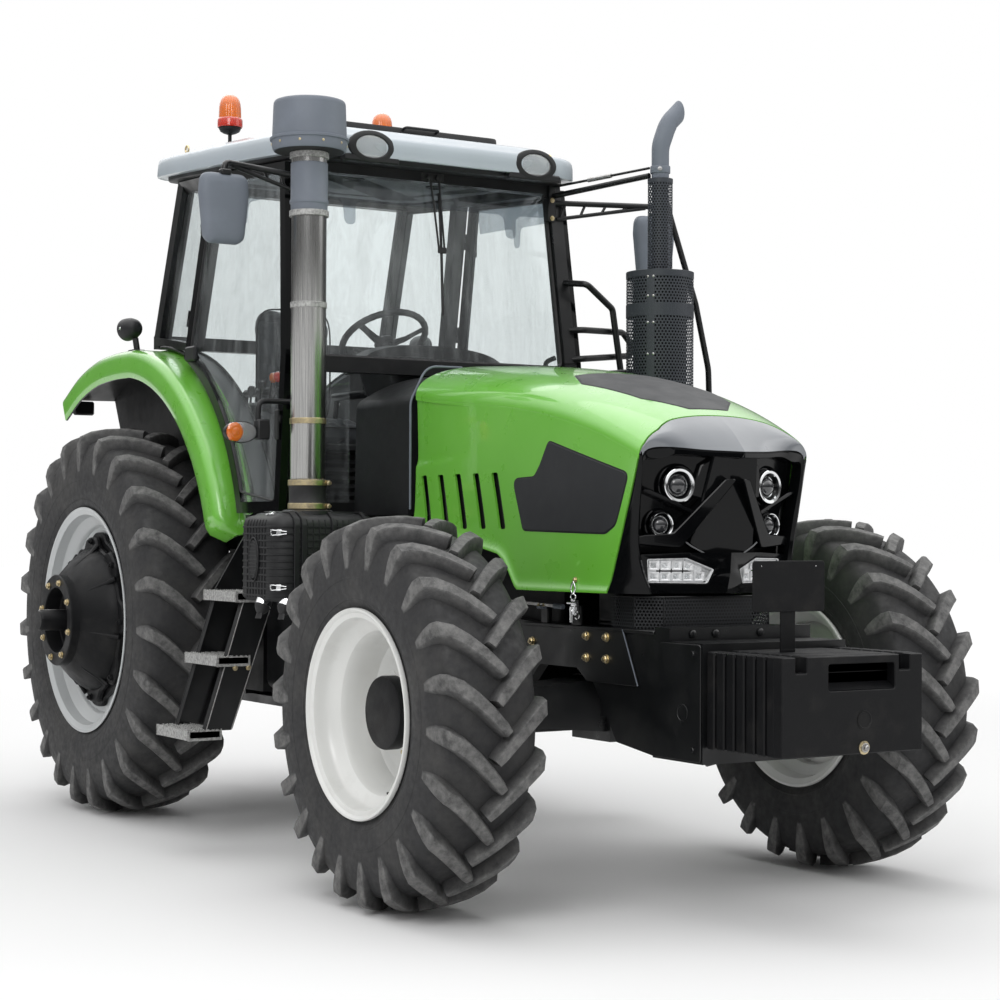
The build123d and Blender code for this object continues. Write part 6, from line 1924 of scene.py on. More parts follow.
# ------------------------------------------------------------------ air cleaner
def make_cleaner():
    """A ribbed moulded box with straps, wire latches and two drain valves."""
    form = Form()
    corners = [(-.944, -1.566), (-.944, -1.884), (-.506, -1.884), (-.506, -1.566)]
    plan = [Vector(p) for p in rounded(corners, (.03, .085, .03, .03), 8, closed=True)]

    def ring(draw, z):
        return [P(p[0], p[1], z) for p in inset(plan, draw)]

    form.grid([ring(d, z) for d, z in ((.05, 1.004), (.018, 1.006), (.004, 1.020), (.004, 1.300),
                                       (.012, 1.322), (.040, 1.340), (.055, 1.344))],
              0, around=True, caps=True)

    def skin(t):
        """The outline's point and outward direction at a share of its length."""
        lengths = [(b - a).length for a, b in sides_of(plan)]
        t = t % 1 * sum(lengths)
        for (a, b), length in zip(sides_of(plan), lengths):
            if t <= length:
                along = (b - a).normalized()
                p = a.lerp(b, t / length if length else 0)
                middle = Vector((-.725, -1.725))
                out = Vector((along[1], -along[0]))
                return p, out if out.dot(p - middle) > 0 else -out
            t -= length
        return plan[0], Vector((-1, 0))

    for i in range(11):
        z = 1.028 + .0262 * i
        form.grid([ring(d, z + h) for d, h in ((.006, -.0045), (.0005, -.0028), (.0005, .0028),
                                              (.006, .0045))], 0, around=True)
    count = 56
    for k in range(count):
        p, out = skin(k / count)
        if p[0] < -.85 and p[1] < -1.80 or p[1] > -1.60:
            continue
        side = Vector((out[1], -out[0], 0))
        out = Vector((out[0], out[1], 0))
        base = P(p[0], p[1], 0)
        rows = []
        for z, draw in ((1.018, .0045), (1.022, .0008), (1.298, .0008), (1.318, .0085),
                        (1.334, .036), (1.3385, .058)):
            at = base - out * draw + Vector((0, 0, z))
            rows.append([at - side * .0030 - out * .006, at - side * .0018, at + side * .0018,
                         at + side * .0030 - out * .006])
        form.grid(rows, 0)
    # Recessed oval with bars on the outer side.
    centre = P(-.9445, -1.690, 1.165)
    for scale, lift in ((1.0, .0015), (.84, .0015)):
        form.tube([centre + Vector((-lift, .043 * scale * cos(a), .084 * scale * sin(a)))
                   for a in turns(40, 1)], .0032, 0, 8)
    form.grid([[centre + Vector((-.0026, .037 * s * cos(a), .072 * s * sin(a)))
                for a in turns(36)] for s in (1, .02)], 0, around=True,
              caps=False)
    for k in range(-4, 5):
        z = .0145 * k
        reach = .034 * math.sqrt(max(0, 1 - (z / .070) ** 2))
        form.tube([centre + Vector((-.0035, -reach, z)), centre + Vector((-.0035, reach, z))],
                  .0022, 0, 8)
    # Straps over the top and round the corner.
    for x in (-.858, -.826, -.700, -.560):
        wide = .011 if x in (-.858, -.826) else .008
        path = [(-1.8865, 1.015), (-1.8880, 1.295), (-1.8760, 1.325), (-1.840, 1.3475),
                (-1.62, 1.3480)]
        rows = []
        for y, z in rounded([(y, z) for y, z in path], .03, 4):
            rows.append([P(x - wide, y, z), P(x - wide + .002, y - .003, z + .0025),
                         P(x + wide - .002, y - .003, z + .0025), P(x + wide, y, z)])
        form.grid(rows, 0)
    # Rim of the lid, with a raised edge on top.
    form.block(P(-.80, -1.83, 1.338), P(-.58, -1.60, 1.3500), 0, .004)
    form.lathe(P(*INTAKE, 0), UP, ((1.338, .100), (1.352, .098), (1.3565, .090),
                                                (1.3565, .070)), 0, 48)
    # Wire latches.
    def latch(at, out, along):
        out, along = Vector(out), Vector(along)
        across = out.cross(along)
        for side in (1, -1):
            form.tube([at + along * -.030 + out * .002, at + along * -.024 + across * side * .010
                       + out * .008, at + along * .010 + across * side * .007 + out * .009,
                       at + along * .034 + across * side * .004 + out * .006], .0017, 1, 6)
        form.block(Vector((-.006, -.012, 0)), Vector((.014, .012, .010)), 1, .0015,
                   lambda p: at + along * p.x + across * p.y + out * p.z)
        form.rod(at + along * -.030 - across * .011 + out * .003,
                 at + along * -.030 + across * .011 + out * .003, .0024, 1, 8)

    for z in (1.060, 1.268):
        latch(P(-.9235, -1.8640, z), Vector((-1, -1, 0)).normalized(),
              Vector((1, -1, 0)).normalized())
    latch(P(-.905, -1.765, 1.3365), Vector((-.5, 0, .87)), Vector((0, -1, 0)))
    # Drain valves.
    for x, y in ((-.905, -1.720), (-.872, -1.848)):
        axis = Vector((-.42, -.12, -.90)).normalized()
        at = P(x, y, 1.024)
        form.lathe(at, axis, ((0, .024), (.014, .026), (.018, .032), (.040, .032), (.042, .026)),
                   2, 28)
        form.lathe(at, axis, ((.038, .0300), (.052, .0290), (.066, .020), (.074, .012)), 3, 24)
        u, v = frame_of(axis)
        form.grid([[at + axis * d + u * (w * cos(a)) + v * (t * sin(a))
                    for a in turns(20)]
                   for d, w, t in ((.064, .015, .013), (.078, .017, .006), (.094, .018, .0022))],
                  3, around=True, caps=True)
    form.block(P(-.52, -1.645, 1.010), P(-.262, -1.570, 1.070), 0, .006)
    piece("air_cleaner.form", form, ["black_plastic", "chrome", "chrome", "rubber_seal"],
          "chassis", ("air_cleaner",), angle=38)


make_cleaner()


# ------------------------------------------------------------------ exhaust
EXHAUST = (.787, -1.960)


def make_exhaust():
    """The perforated guard over its silencer, the pipe with its slanted mouth, and the stays."""
    x, y = EXHAUST
    centre = P(x, y, 0)

    def wrap(radius, low_z):
        return lambda u, v: centre + Vector((radius * cos(u / radius), radius * sin(u / radius),
                                             low_z + v))

    form = Form()
    radius, low, high = .1405, 1.440, 2.360
    around = 2 * pi * radius
    for z0, z1 in ((low + .026, 2.171), (2.221, high - .026)):
        form.mesh_sheet(wrap(radius, z0), around, z1 - z0, .0142, .0046, 0, around=True)
    for z0, z1 in ((low, low + .028), (2.169, 2.223), (high - .028, high)):
        form.lathe(centre, UP, ((z0, radius - .004), (z0, radius), (z0 + .001, radius + .0014),
                                (z1 - .001, radius + .0014), (z1, radius), (z1, radius - .004)),
                   0, 72, loop=True)
    a0 = radians(218)
    rows = []
    for z in (low, high):
        rows.append([centre + Vector(((radius + .0012) * cos(a0 + d), (radius + .0012)
                                      * sin(a0 + d), z)) for d in
                     (-.12 + .03 * k for k in range(9))])
    form.grid(rows, 0)
    for z in (1.49, 1.62, 1.75, 1.88, 2.01, 2.14, 2.25, 2.33):
        for d in (-.085, .085):
            out = Vector((cos(a0 + d), sin(a0 + d), 0))
            form.lathe(centre + out * (radius + .001) + Vector((0, 0, z)), out,
                       ((0, .0055), (.0015, .0050), (.003, .0015)), 3, 10)
    # Silencer inside, its ends, and the flat top of the guard.
    form.lathe(centre, UP, ((low + .02, .02), (low + .024, .112), (high - .024, .112),
                            (high - .02, .02)), 1, 48)
    for z in (low + .006, high - .004):
        form.lathe(centre, UP, ((z - .002, .050), (z - .002, radius - .001), (z, radius - .001),
                                (z, .050)), 0, 64, loop=True)
    # Upper guard over the pipe.
    radius = .0520
    form.mesh_sheet(wrap(radius, 2.362), 2 * pi * radius, .372, .0125, .0040, 0, around=True)
    for z0, z1 in ((2.358, 2.374), (2.734, 2.752)):
        form.lathe(centre, UP, ((z0, radius - .003), (z0, radius + .001), (z1, radius + .001),
                                (z1, radius - .003)), 0, 48, loop=True)
    form.lathe(centre, UP, ((2.350, .0350), (2.800, .0350)), 1, 36, caps=False)
    # Clamp and the curved tail with its slanted mouth.
    form.lathe(centre, UP, ((2.776, .0360), (2.776, .0410), (2.778, .0420), (2.804, .0420),
                            (2.806, .0410), (2.806, .0360)), 2, 40, loop=True)
    form.bolt(centre + Vector((-.0265, -.0345, 2.790)), (-.6, -.8, 0), .007, 3)
    path = rounded([(x, 2.752), (x, 2.890), (.826, 2.990), (.903, 3.064)],
                   (.0, .14, .16, .0), 8)
    count, sides = len(path), 36
    rows, inner = [], []
    for i, p in enumerate(path):
        ahead = (path[min(i + 1, count - 1)] - path[max(i - 1, 0)]).normalized()
        side = Vector((ahead[1], -ahead[0]))
        share = i / (count - 1)
        size = .0365 + .002 * min(1, share * 2)
        outer_row, inner_row = [], []
        for k in range(sides):
            a = 2 * pi * k / sides
            # The mouth is cut level with the ground, so the outer side ends early.
            slip = -.055 * (cos(a) * .5 + .5) * max(0, (share - .72) / .28)
            q = p + side * (size * cos(a)) + ahead * slip
            outer_row.append(P(q[0], y + size * sin(a), q[1]))
            q = p + side * ((size - .003) * cos(a)) + ahead * slip
            inner_row.append(P(q[0], y + (size - .003) * sin(a), q[1]))
        rows.append(outer_row)
        inner.append(inner_row)
    form.grid(rows, 2, around=True)
    form.grid(inner, 1, around=True)
    form.grid([rows[-1], inner[-1]], 2, around=True)
    # Pipe from the engine and the stays.
    form.tube([centre + Vector((0, 0, 1.455)), centre + Vector((0, 0, 1.235)),
               P(.242, -2.020, 1.235)], .0400, 2, 28, .10)
    form.lathe(P(.275, -2.0175, 1.235), (1, 0, 0), ((0, .060), (.014, .060)), 2, 28)
    thin = (P(.600, -1.420, 2.775), P(.752, -1.930, 2.800))
    thick = (P(.600, -1.420, 2.735), P(.752, -1.930, 2.768))
    form.tube(thin, .0055, 4, 10)
    form.rod(thin[0].lerp(thin[1], .38), thin[0].lerp(thin[1], .62), .0100, 3, 12)
    form.tube(thick, .0120, 4, 14)
    form.block(P(.580, -1.432, 2.715), P(.612, -1.405, 2.795), 4, .003)
    form.tube(rounded([P(.807, y, 2.700), P(.945, -1.820, 2.620), P(1.080, -1.820, 2.260),
                       P(1.150, -1.820, 1.980), P(1.165, -1.820, 1.550), P(.862, -1.900, 1.470)],
                      (0, .08, .20, .20, .10, 0), 6), .0130, 4, 14)
    form.block(P(.642, -1.5085, 1.915), P(.684, -1.5055, 1.985), 4, .001)
    form.tube([P(.655, -1.520, 1.950), P(.735, -1.840, 1.950)], .013, 4, 12)
    form.tube([P(.655, -1.520, 1.950), P(.655, -1.507, 1.950)], .013, 4, 12)
    piece("exhaust.form", form, ["exhaust_black", "cast_black", "grey_plastic", "steel",
                                 "frame_black"], "chassis", ("exhaust",),
          angle=38)


make_exhaust()


# ------------------------------------------------------------------ steps
STEP_ROWS = ((.855, 1.036), (.935, .785), (1.055, .500))        # across and height
TOOTH = .0060


def toothed(form, teeth, faces, foot, top, place):
    """A bar whose top edge is cut into teeth; place(tooth, face, z) puts it in the frame."""
    rows = [[], [], [], []]
    low_face, high_face = faces
    for k in range(teeth + 1):
        crest = top - (TOOTH if k % 2 else 0)
        for row, face, z in zip(rows, (low_face, low_face, high_face, high_face),
                                (foot, crest, crest, foot)):
            row.append(place(k, face, z))
    form.grid(rows, 1)


def make_steps(place, sign):
    """Three toothed treads between cheek plates."""
    form = Form()
    cheek = [(.624, 1.298), (.726, 1.298), (.880, 1.040), (1.052, .492), (.936, .492),
             (.770, .960)]
    outline = rounded(cheek, (.004, .01, .08, .012, .012, .08), 4, closed=True)
    for y, way in ((-1.485, 1), (-1.185, -1)):
        form.plate(outline, lambda u, v, d: P(sign * u, y + way * d, v), 0, .008, 0, .0015)
        # Turned flanges along both edges.
        for line, lift in ((((.880, 1.040), (1.052, .492)), -.004),
                           (((.772, .960), (.936, .494)), .004)):
            a, b = line
            form.block(Vector((0, 0, 0)), Vector((1, 1, 1)), 0, .03,
                       lambda p, a=a, b=b: P(sign * (a[0] + (b[0] - a[0]) * p.x + lift
                                                     + .0045 * (p.z - .5)),
                                             y + way * .034 * p.y,
                                             a[1] + (b[1] - a[1]) * p.x))
            form.tube([P(sign * (a[0] + lift), y - way * .0005, a[1]),
                       P(sign * (b[0] + lift), y - way * .0005, b[1])], .0022, 3, 8)
        for x, z in ((.868, .735), (.925, .735), (.700, 1.255)):
            form.bolt(P(sign * x, y, z), (0, -way, 0), .0085, 2, .2)
    for x, z in STEP_ROWS:
        low_y, high_y, half = -1.4920, -1.1780, .072
        form.block(P(sign * (x - half + .006), low_y, z - .036), P(sign * (x + half - .006),
                                                                  high_y, z - .006), 0, .003)
        # Serrated bars across the tread.
        bars = 6
        for i in range(bars):
            cx = x - half + .004 + (2 * half - .008) * i / (bars - 1)
            toothed(form, 34, (-.0024, .0024), z - .042, z, lambda k, dx, tz:
                    P(sign * (cx + dx), low_y + (high_y - low_y) * k / 34, tz))
        for edge_y, way in ((low_y, 1), (high_y, -1)):
            toothed(form, 15, (0, .005 * way), z - .044, z, lambda k, dy, tz:
                    P(sign * (x - half + 2 * half * k / 15), edge_y + dy, tz))
        for y in [low_y + (high_y - low_y) * k / 8 for k in range(1, 8)]:
            form.block(P(sign * (x - half + .004), y - .0018, z - .020),
                       P(sign * (x + half - .004), y + .0018, z - .0045), 1, .0006)
    piece(f"step_{place}.form", form, ["frame_black", "galvanised", "zinc", "steel"], "chassis",
          ("steps",), angle=38)


for place, sign in SIDES:
    make_steps(place, sign)


# ------------------------------------------------------------------ seat
CLOTH_FRAMES = 20


def applied(obj):
    """Turns an object's modifiers into plain mesh."""
    bpy.context.view_layer.update()
    graph = bpy.context.evaluated_depsgraph_get()
    obj.data = bpy.data.meshes.new_from_object(obj.evaluated_get(graph))
    obj.modifiers.clear()


def swell(obj, voxel, cap):
    """Pads a closed shape out under pressure, capped, and leaves plain mesh."""
    scene = bpy.context.scene
    remesh = obj.modifiers.new("Remesh", "REMESH")
    remesh.mode = "VOXEL"
    remesh.voxel_size = voxel
    applied(obj)
    start = [v.co.copy() for v in obj.data.vertices]
    cloth = obj.modifiers.new("Cloth", "CLOTH")
    settings = cloth.settings
    settings.quality = 5
    settings.use_pressure = True
    settings.uniform_pressure_force = 4
    settings.effector_weights.gravity = 0
    settings.mass = 0.3
    settings.tension_stiffness = 12
    settings.compression_stiffness = 12
    settings.bending_stiffness = 0.6
    scene.frame_start, scene.frame_end = 1, CLOTH_FRAMES
    for number in range(1, CLOTH_FRAMES + 1):
        scene.frame_set(number)
    graph = bpy.context.evaluated_depsgraph_get()
    swollen = bpy.data.meshes.new_from_object(obj.evaluated_get(graph))
    moves = [b.co - a for a, b in zip(start, swollen.vertices)]
    drift = sum(moves, Vector()) / len(moves)
    obj.modifiers.clear()
    for vertex, a, move in zip(obj.data.vertices, start, moves):
        move -= drift
        if move.length > cap:
            move *= cap / move.length
        vertex.co = a + move
    scene.frame_set(1)


def squared(value, edge):
    """A sine or cosine bent so that a round becomes a squarish one."""
    return math.copysign(abs(value) ** edge, value)


def pad_shape(size, edge, crown):
    """A soft block about the origin, its faces crowned."""
    form = Form()
    sx, sy, sz = size
    high, wide = 22, 56
    rows = []
    for r in range(high + 1):
        a = -pi / 2 + pi * r / high
        row = []
        for k in range(wide):
            b = 2 * pi * k / wide
            flat = abs(cos(a)) ** edge * (1 if cos(a) > 0 else 0)
            x, y = squared(cos(b), edge) * flat, squared(sin(b), edge) * flat
            z = squared(sin(a), edge)
            lift = crown * (1 - x * x) * (1 - y * y)
            row.append(Vector((x * sx, y * sy, z * (sz + lift))))
        rows.append(row)
    form.grid(rows, 0, around=True, caps=True)
    return form


def make_pad(name, size, place, edge, crown, channels, cap, replaces=()):
    """One cushion: swollen, then creased along its sewn channels and piped round its edge."""
    form = pad_shape(size, edge, crown)
    obj = plain_object(name, form)
    swell(obj, 0.006, cap)
    sx, sy, sz = size
    for vertex in obj.data.vertices:
        p = vertex.co
        top = min(max((p.z / sz - .2) / .5, 0), 1)
        for axis, value, low, high in channels:
            across, along = (p.x, p.y) if axis == "x" else (p.y, p.x)
            if low <= along <= high:
                p.z -= .009 * top * math.exp(-((across - value) / .0075) ** 2)
                p.z += .0035 * top * math.exp(-((abs(across - value) - .024) / .012) ** 2)
        wrinkle = sin(p.x * 61 + 2.1 * sin(p.y * 23)) * sin(p.y * 47 + 1.7 * sin(p.x * 31))
        p.z += .0009 * wrinkle * top
        vertex.co = place @ p
    obj.data.update()
    obj.data.materials.clear()
    obj.data.materials.append(MATERIALS["seat_fabric"])
    obj.data.shade_smooth()
    finer = obj.modifiers.new("Subdivision", "SUBSURF")
    finer.levels = finer.render_levels = 1
    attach(obj, "chassis")
    if replaces:
        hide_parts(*replaces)
    # Piping sewn round the edge.
    piping = Form()
    ring = []
    for k in range(73):
        b = 2 * pi * k / 72
        x, y = squared(cos(b), edge) * (sx * .965), squared(sin(b), edge) * (sy * .965)
        ring.append(place @ Vector((x, y, sz * .62)))
    piping.tube(ring, .0040, 0, 8)
    piece(f"{name}_piping", piping, ["rubber_seal"], "chassis")


def make_seat():
    """Cushion, back, bellows and arm rests."""
    cushion = Matrix.Translation(P(0, -.300, 1.7235))
    lines = (("x", -.105, -.17, .19), ("x", .105, -.17, .19), ("y", -.160, -.20, .20))
    make_pad("seat.cushion", (.215, .205, .040), cushion, .34, .006, lines, .022, ("seat",))
    back = Matrix.Translation(P(0, -.094, 2.050)) @ Matrix.Rotation(radians(90), 4, "X")
    lines = (("x", -.100, -.22, .20), ("x", .100, -.22, .20), ("y", .205, -.18, .18),
             ("y", -.02, -.1, .1))
    make_pad("seat.back", (.200, .275, .038), back, .36, .006, lines, .022)
    form = Form()
    # Bellows, rails, shell and arm rests.
    low, high = 1.345, 1.640
    rows = []
    for k in range(17):
        t = k / 16
        draw = .012 * (1 + cos(2 * pi * t * 8)) + .01 * sin(pi * t)
        outline = rounded([(-.180, -.490), (.180, -.490), (.180, -.130), (-.180, -.130)], .05, 5,
                          closed=True)
        rows.append([P(p[0], p[1], low + (high - low) * t) for p in inset(outline, draw)])
    form.grid(rows, 0, around=True, caps=True)
    form.block(P(-.205, -.515, 1.636), P(.205, -.075, 1.676), 1, .01)
    form.block(P(-.150, -.066, 1.70), P(.150, -.042, 2.28), 1, .012)
    for side in (1, -1):
        form.tube([P(side * .215, -.10, 1.68), P(side * .238, -.085, 1.80),
                   P(side * .238, -.10, 1.90)], .014, 1, 12, .03)
        form.block(P(side * .205, -.42, 1.895), P(side * .255, -.09, 1.930), 2, .012)
        form.bolt(P(side * .246, -.094, 1.878), (side, 0, 0), .010, 3, 0)
    piece("seat_base.form", form, ["rubber_seal", "black_plastic", "matt_panel", "steel"],
          "chassis", ("seat_base",), angle=40)


make_seat()


# ------------------------------------------------------------------ wheel, console and levers
def make_controls():
    """Steering wheel, dashboard, console, levers, pedals and headliner."""
    form = Form()
    tilt = radians(35)
    axis = Vector((0, sin(tilt), cos(tilt)))
    centre = P(0, -1.000, 2.110)
    u = Vector((1, 0, 0))
    v = axis.cross(u)
    rows = []
    for k in range(72):
        a = 2 * pi * k / 72
        out = u * cos(a) + v * sin(a)
        grip = .0145 + .0006 * cos(36 * a)
        rows.append([centre + out * (.1885 + grip * cos(b)) + axis * (grip * sin(b))
                     for b in turns(14)])
    form.grid(rows, 0, around=True, loop=True)
    for turn in (90, 210, 330):
        out = u * cos(radians(turn)) + v * sin(radians(turn))
        across = axis.cross(out)
        line = []
        for t, drop, wide, thick in ((.030, -.030, .024, .008), (.090, -.026, .018, .007),
                                     (.140, -.012, .015, .006), (.182, -.002, .016, .006)):
            middle = centre + out * t + axis * drop
            line.append([middle + across * (wide * cos(b)) + axis * (thick * sin(b))
                         for b in turns(14)])
        form.grid(line, 1, around=True, caps=True)
    form.lathe(centre - axis * .036, axis, ((0, .036), (.004, .044), (.020, .048), (.030, .040),
                                            (.034, .024), (.034, .001)), 1, 40)
    # Column, its boot and two stalks.
    form.lathe(centre - axis * .451, axis, ((0, .048), (.10, .042), (.20, .036), (.412, .030)),
               1, 28)
    form.lathe(centre - axis * .16, axis, ((0, .040), (.01, .052), (.09, .052), (.10, .040)),
               1, 32)
    for side in (1, -1):
        form.tube([centre - axis * .10 + u * (side * .045), centre - axis * .085 + u * side * .12,
                   centre - axis * .060 + u * side * .165], (.006, .006, .009), 1, 10)
    # Dashboard: hooded binnacle with dials on a tapering pedestal.
    rows = []
    for z, half, front, back in ((1.341, .168, -1.443, -1.20), (1.60, .150, -1.443, -1.22),
                                 (1.78, .156, -1.443, -1.19), (1.87, .185, -1.441, -1.15),
                                 (1.945, .205, -1.436, -1.135)):
        outline = rounded([(-half, front), (half, front), (half, back), (-half, back)], .035, 5,
                          closed=True)
        rows.append([P(p[0], p[1], z) for p in outline])
    form.grid(rows, 2, around=True, caps=True)
    hood = []
    for k in range(25):
        a = pi * k / 24
        x, lift = .345 * cos(a), sin(a) ** .6
        hood.append([P(x * wide, y, z + rise * lift) for wide, y, z, rise in
                     ((1, -1.441, 1.930, .122), (.97, -1.32, 1.935, .128),
                      (.80, -1.16, 1.935, .092), (.77, -1.16, 1.935, .082),
                      (.77, -1.27, 1.935, .085))])
    form.grid(hood, 2)
    face = [P(.19 * cos(pi * k / 24), -1.265, 1.945 + .072 * sin(pi * k / 24) ** .7)
            for k in range(25)]
    form.add([*face, P(-.19, -1.235, 1.930), P(.19, -1.235, 1.930)], [tuple(range(27))], 3)
    for x, radius in ((-.085, .034), (.085, .034), (0, .024)):
        form.lathe(P(x, -1.262, 1.975), (0, 1, .25),
                   ((-.004, radius + .004), (.004, radius + .004), (.004, radius),
                    (.001, radius - .002), (.001, .001)), 4, 32)
        form.tube([P(x, -1.254, 1.975), P(x + radius * .5, -1.252, 1.975 + radius * .5)], .0012,
                  5, 6)
    # Side console with levers, by the driver's right hand.
    form.block(P(-.500, -.86, 1.341), P(-.300, -.12, 1.80), 2, .03)
    form.block(P(-.490, -.90, 1.78), P(-.310, -.20, 1.835), 2, .02)
    for x, y, z, lean, slot in ((-.44, -.80, 1.93, -.05, 5), (-.37, -.80, 1.90, -.04, 1),
                                (-.44, -.66, 1.90, -.03, 1), (-.37, -.62, 1.94, -.04, 6),
                                (-.40, -.48, 1.89, -.02, 1)):
        form.tube([P(x, y, 1.82), P(x + .004, y + lean * .4, z - .04), P(x, y + lean, z)], .0055,
                  1, 10)
        form.lathe(P(x, y + lean, z - .012), (0, -.25, 1), ((0, .008), (.012, .017), (.030, .019),
                                                            (.042, .012), (.045, .001)), slot, 20)
    # Pedals, a rear shelf and the floor mat.
    for x in (-.16, .10, .19):
        form.tube([P(x, -1.40, 1.62), P(x, -1.30, 1.46)], .008, 1, 10)
        form.block(Vector((-.035, -.006, -.03)), Vector((.035, .006, .03)), 1, .004,
                   lambda p, x=x: P(x, -1.295, 1.455) + Vector((p.x, p.y * .7 + p.z * .5,
                                                                p.z * .85 - p.y * .5)))
    form.block(P(-.50, -1.42, 1.3405), P(.50, -.56, 1.352), 7, .004)
    form.block(P(-.46, -.02, 1.60), P(.46, .028, 1.72), 2, .02)
    piece("controls.form", form, ["rubber_seal", "black_plastic", "matt_panel", "dark_cavity",
                                  "chrome", "red_lens", "amber", "cab_grey"], "chassis",
          ("steering_wheel", "console"), angle=40)
    # Grey headliner under the roof.
    form = Form()
    outline = rounded([(-.53, -.56), (.53, -.56), (.535, .50), (-.535, .50)], .06, 5, closed=True)
    form.grid([[on_roof(p[0], p[1], h) for p in inset(outline, d)]
               for d, h in ((0, -.010), (.003, -.020), (.02, -.024), (.2, -.026))], 0, around=True,
              caps=True)
    for x in (-.2, .2):
        form.lathe(on_roof(x, -.30, -.024), (0, 0, -1), ((0, .045), (.008, .042), (.010, .030),
                                                         (.004, .026), (.004, .001)), 1, 28)
    piece("headliner.form", form, ["cab_grey", "black_plastic"], "chassis")


make_controls()


# ------------------------------------------------------------------ frame, latches and small parts
def make_frame_parts():
    """Joint plates, latches, rods and bolts on the front frame."""
    form = Form()
    for sign in (1, -1):
        def flank(u, v, depth):
            return P(sign * (.2855 + depth), u, v)

        # Joint plate of the front frame, its bolts and the ledge above.
        plate = [(-2.930, .948), (-3.226, .948), (-3.316, .757), (-3.010, .757), (-2.930, .812)]
        form.plate(rounded(plate, .010, 3, closed=True), flank, 0, .009, 0, .002)
        form.tube([flank(-3.226, .946, .009), flank(-3.316, .759, .009)], .0024, 4, 8)
        form.block(P(sign * .258, -3.405, .9355), P(sign * .296, -2.600, .949), 0, .003)
        for y, z in ((-3.012, .915), (-3.133, .915), (-3.012, .840), (-3.133, .840)):
            form.bolt(flank(y, z, .009), (sign, 0, 0), .0125, 1, .5)
        form.bolt(flank(-2.651, .880, .0), (sign, 0, 0), .0125, 1, .5)
        # Flank of the ballast carrier: seam, round bare pad, edge of the bottom plate.
        form.plate(rounded([(-3.455, .915), (-3.676, .915), (-3.676, .536), (-3.420, .536)], .012,
                           3, closed=True), lambda u, v, d: P(sign * (.3003 + d), u, v), 0, .006,
                   0, .002)
        form.lathe(P(sign * .3060, -3.580, .690), (sign, 0, 0), ((0, .030), (.0035, .029),
                                                                 (.0040, .024), (.0025, .023)),
                   0, 36)
        for y, z in ((-3.640, .885), (-3.640, .575)):
            form.bolt(P(sign * .3060, y, z), (sign, 0, 0), .0085, 0, 0)
        # Cable rod to the latch and its saddle.
        form.rod(P(sign * .300, -2.420, 1.0235), P(sign * .300, -2.820, 1.0125), .0062, 2, 14)
        form.rod(P(sign * .300, -2.815, 1.0128), P(sign * .300, -2.872, 1.0112), .0095, 4, 14)
        form.block(P(sign * .272, -2.760, .948), P(sign * .292, -2.715, 1.012), 0, .003)
        form.block(P(sign * .280, -2.752, 1.000), P(sign * .316, -2.722, 1.010), 4, .002)
        for y in (-2.752, -2.722):
            form.bolt(P(sign * .306, y, 1.010), (0, 0, 1), .0055, 1, .8)
        # Catch of the hood latch: a bracket, a lever and a ring.
        form.block(P(sign * .292, -2.985, .949), P(sign * .302, -2.925, 1.020), 0, .002)
        form.block(P(sign * .302, -2.976, .985), P(sign * .318, -2.944, 1.040), 3, .003)
        form.rod(P(sign * .322, -2.988, 1.028), P(sign * .322, -2.932, 1.028), .0055, 3, 12)
        form.block(P(sign * .316, -2.962, .958), P(sign * .324, -2.946, 1.016), 3, .002)
        ring = P(sign * .318, -2.985, .985)
        form.tube([ring + Vector((0, .013 * cos(a), .013 * sin(a)))
                   for a in turns(24, 1)], .0022, 3, 8)
    # Bolts of the cross bar above the ballast.
    for x in (-.205, -.110, .080, .190):
        form.lathe(P(x, -3.5005, .940), (0, -1, 0), ((0, .0140), (.0055, .0135), (.0085, .0100),
                                                     (.0090, .0005)), 0, 18)
    piece("frame_parts.form", form, ["frame_black", "zinc", "steel", "chrome", "grey_plastic"],
          "chassis", angle=38)


make_frame_parts()


def make_hood_clips():
    """Spring clips that hang from the hood's sides."""
    form = Form()
    for sign in (1, -1):
        side = hood_half(-3.085, 1.112) + .001
        form.bolt(P(sign * side, -3.085, 1.112), (sign, 0, 0), .0075, 0, .3)
        path = [(-2.962, 1.106), (-2.972, 1.092), (-2.974, 1.078), (-2.966, 1.068),
                (-2.950, 1.060), (-2.948, 1.050), (-2.962, 1.0435), (-2.976, 1.050),
                (-2.974, 1.060), (-2.954, 1.068), (-2.948, 1.080), (-2.953, 1.094),
                (-2.962, 1.106)]
        line = smooth(path, 3)
        form.tube([P(sign * (side + .010), u - .123, v) for u, v in line], .0027, 1, 8)
    piece("hood_clips.form", form, ["zinc", "chrome"], "hood", angle=38)


make_hood_clips()


def make_radiator():
    """The finned core behind the nose, between its side tanks."""
    form = Form()
    form.block(P(-.232, -3.120, .962), P(.232, -3.050, 1.400), 1, .004)
    for sign in (1, -1):
        form.block(P(sign * .226, -3.135, .956), P(sign * .262, -3.035, 1.410), 0, .006)
    form.block(P(-.262, -3.140, 1.396), P(.262, -3.030, 1.425), 0, .008)
    form.block(P(-.262, -3.140, .9505), P(.262, -3.030, .975), 0, .006)
    for k in range(48):
        x = -.222 + .444 * k / 47
        form.block(P(x - .0012, -3.124, .974), P(x + .0012, -3.119, 1.397), 0, .0003)
    piece("radiator.form", form, ["black_paint", "dark_cavity"], "chassis",
          angle=38)


make_radiator()


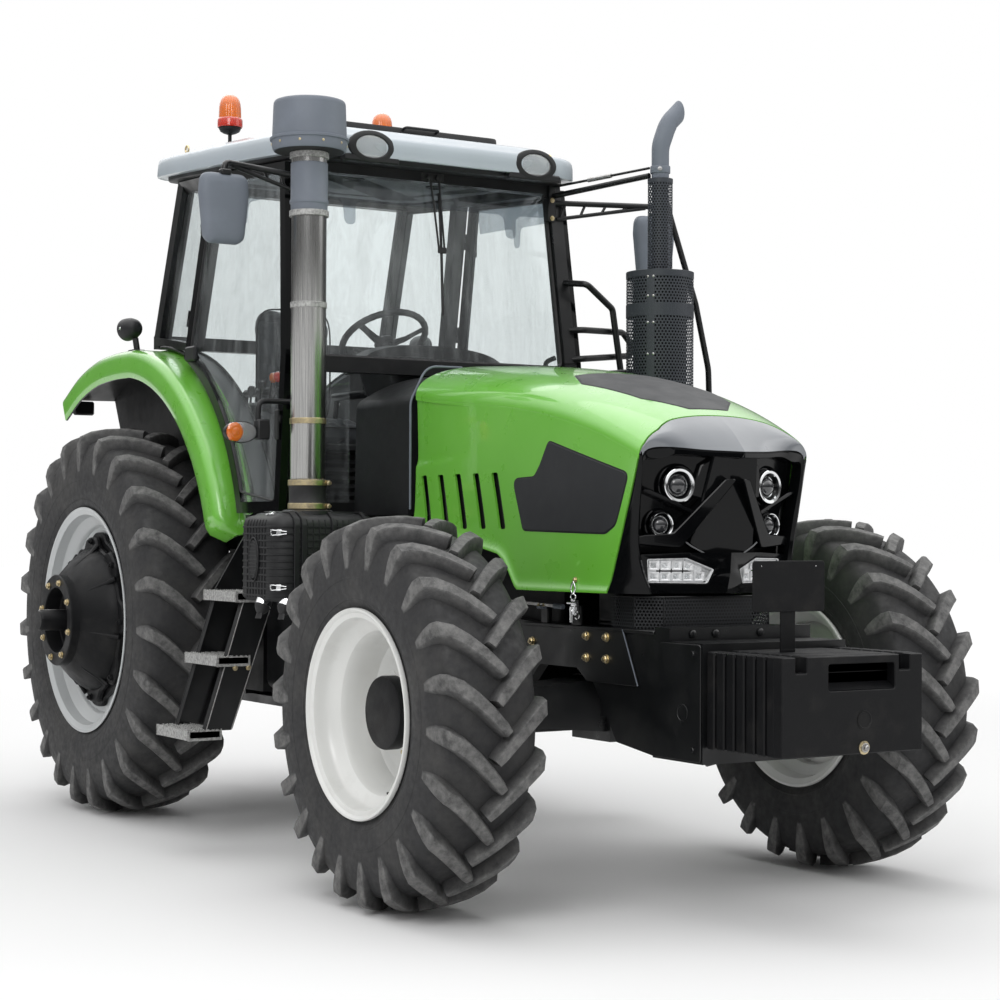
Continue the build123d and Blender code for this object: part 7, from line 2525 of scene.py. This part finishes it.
def make_cowl_trim():
    """Pale edging down the front of the cowl."""
    front_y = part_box("cowl")[0].y - REAR
    form = Form()
    for sign in (1, -1):
        line = rounded([(.4115, 1.360), (.4115, 1.780), (.340, 1.9185), (.180, 1.9195)],
                       (0, .10, .08, 0), 8)
        form.tube([P(sign * x, front_y + .060, z) for x, z in line], .0048, 0, 8)
    piece("cowl.trim", form, ["grey_plastic"], "chassis", angle=38)


make_cowl_trim()


def make_rear_lamps():
    """Round work lamps beside the rear corners of the cab."""
    form = Form()
    for sign in (1, -1):
        at = P(sign * .768, .010, 2.196)
        way = Vector((sign * .12, 1, -.06)).normalized()
        form.lathe(at, way, ((-.060, .010), (-.054, .026), (-.036, .042), (-.008, .050),
                             (.024, .052), (.034, .052), (.038, .049), (.038, .044)), 0, 36)
        form.lathe(at, way, ((.0350, .0460), (.0350, .0005)), 2, 36, caps=False)
        form.lathe(at, way, ((.0365, .0465), (.0400, .040), (.0425, .020), (.0430, .0005)), 1, 36,
                   caps=False)
        form.tube([P(sign * .740, -.010, 2.080), P(sign * .750, -.006, 2.150),
                   P(sign * .764, .004, 2.160)], .014, 3, 12)
        form.block(P(sign * .715, -.040, 2.0885), P(sign * .775, .025, 2.1000), 3, .003)
        form.bolt(at + Vector((sign * .050, 0, 0)), (sign, 0, 0), .006, 4, 0)
    piece("rear_lamps.form", form, ["black_plastic", "lamp_glass", "reflector", "black_paint",
                                    "chrome"], "chassis", angle=38)


make_rear_lamps()


# ------------------------------------------------------------------ finishes of the CAD's pieces
FINISHES = {
    "frame_black": ("cab_frame", "front_frame", "rear_axle", "front_axle", "hitch_frame",
                    "knuckle", "tie_rod", "driveshaft", "weight_carrier", "lower_links",
                    "lift_arms", "lift_rods", "handrails", "seat_base", "fuel_tanks"),
    "black_gloss": ("door_left", "door_right"),
    "cast_black": ("engine", "transmission"),
    "black_plastic": ("cab_floor", "cowl", "console", "steering_wheel"),
    "window_glass": ("cab_glass", "door_glass"),
}
for finish, names in FINISHES.items():
    for name, obj in nodes.items():
        if name.startswith(names) and not name.startswith("door_glass") or (
                finish == "window_glass" and name.startswith("door_glass")):
            for slot in obj.material_slots:
                slot.material = MATERIALS[finish]
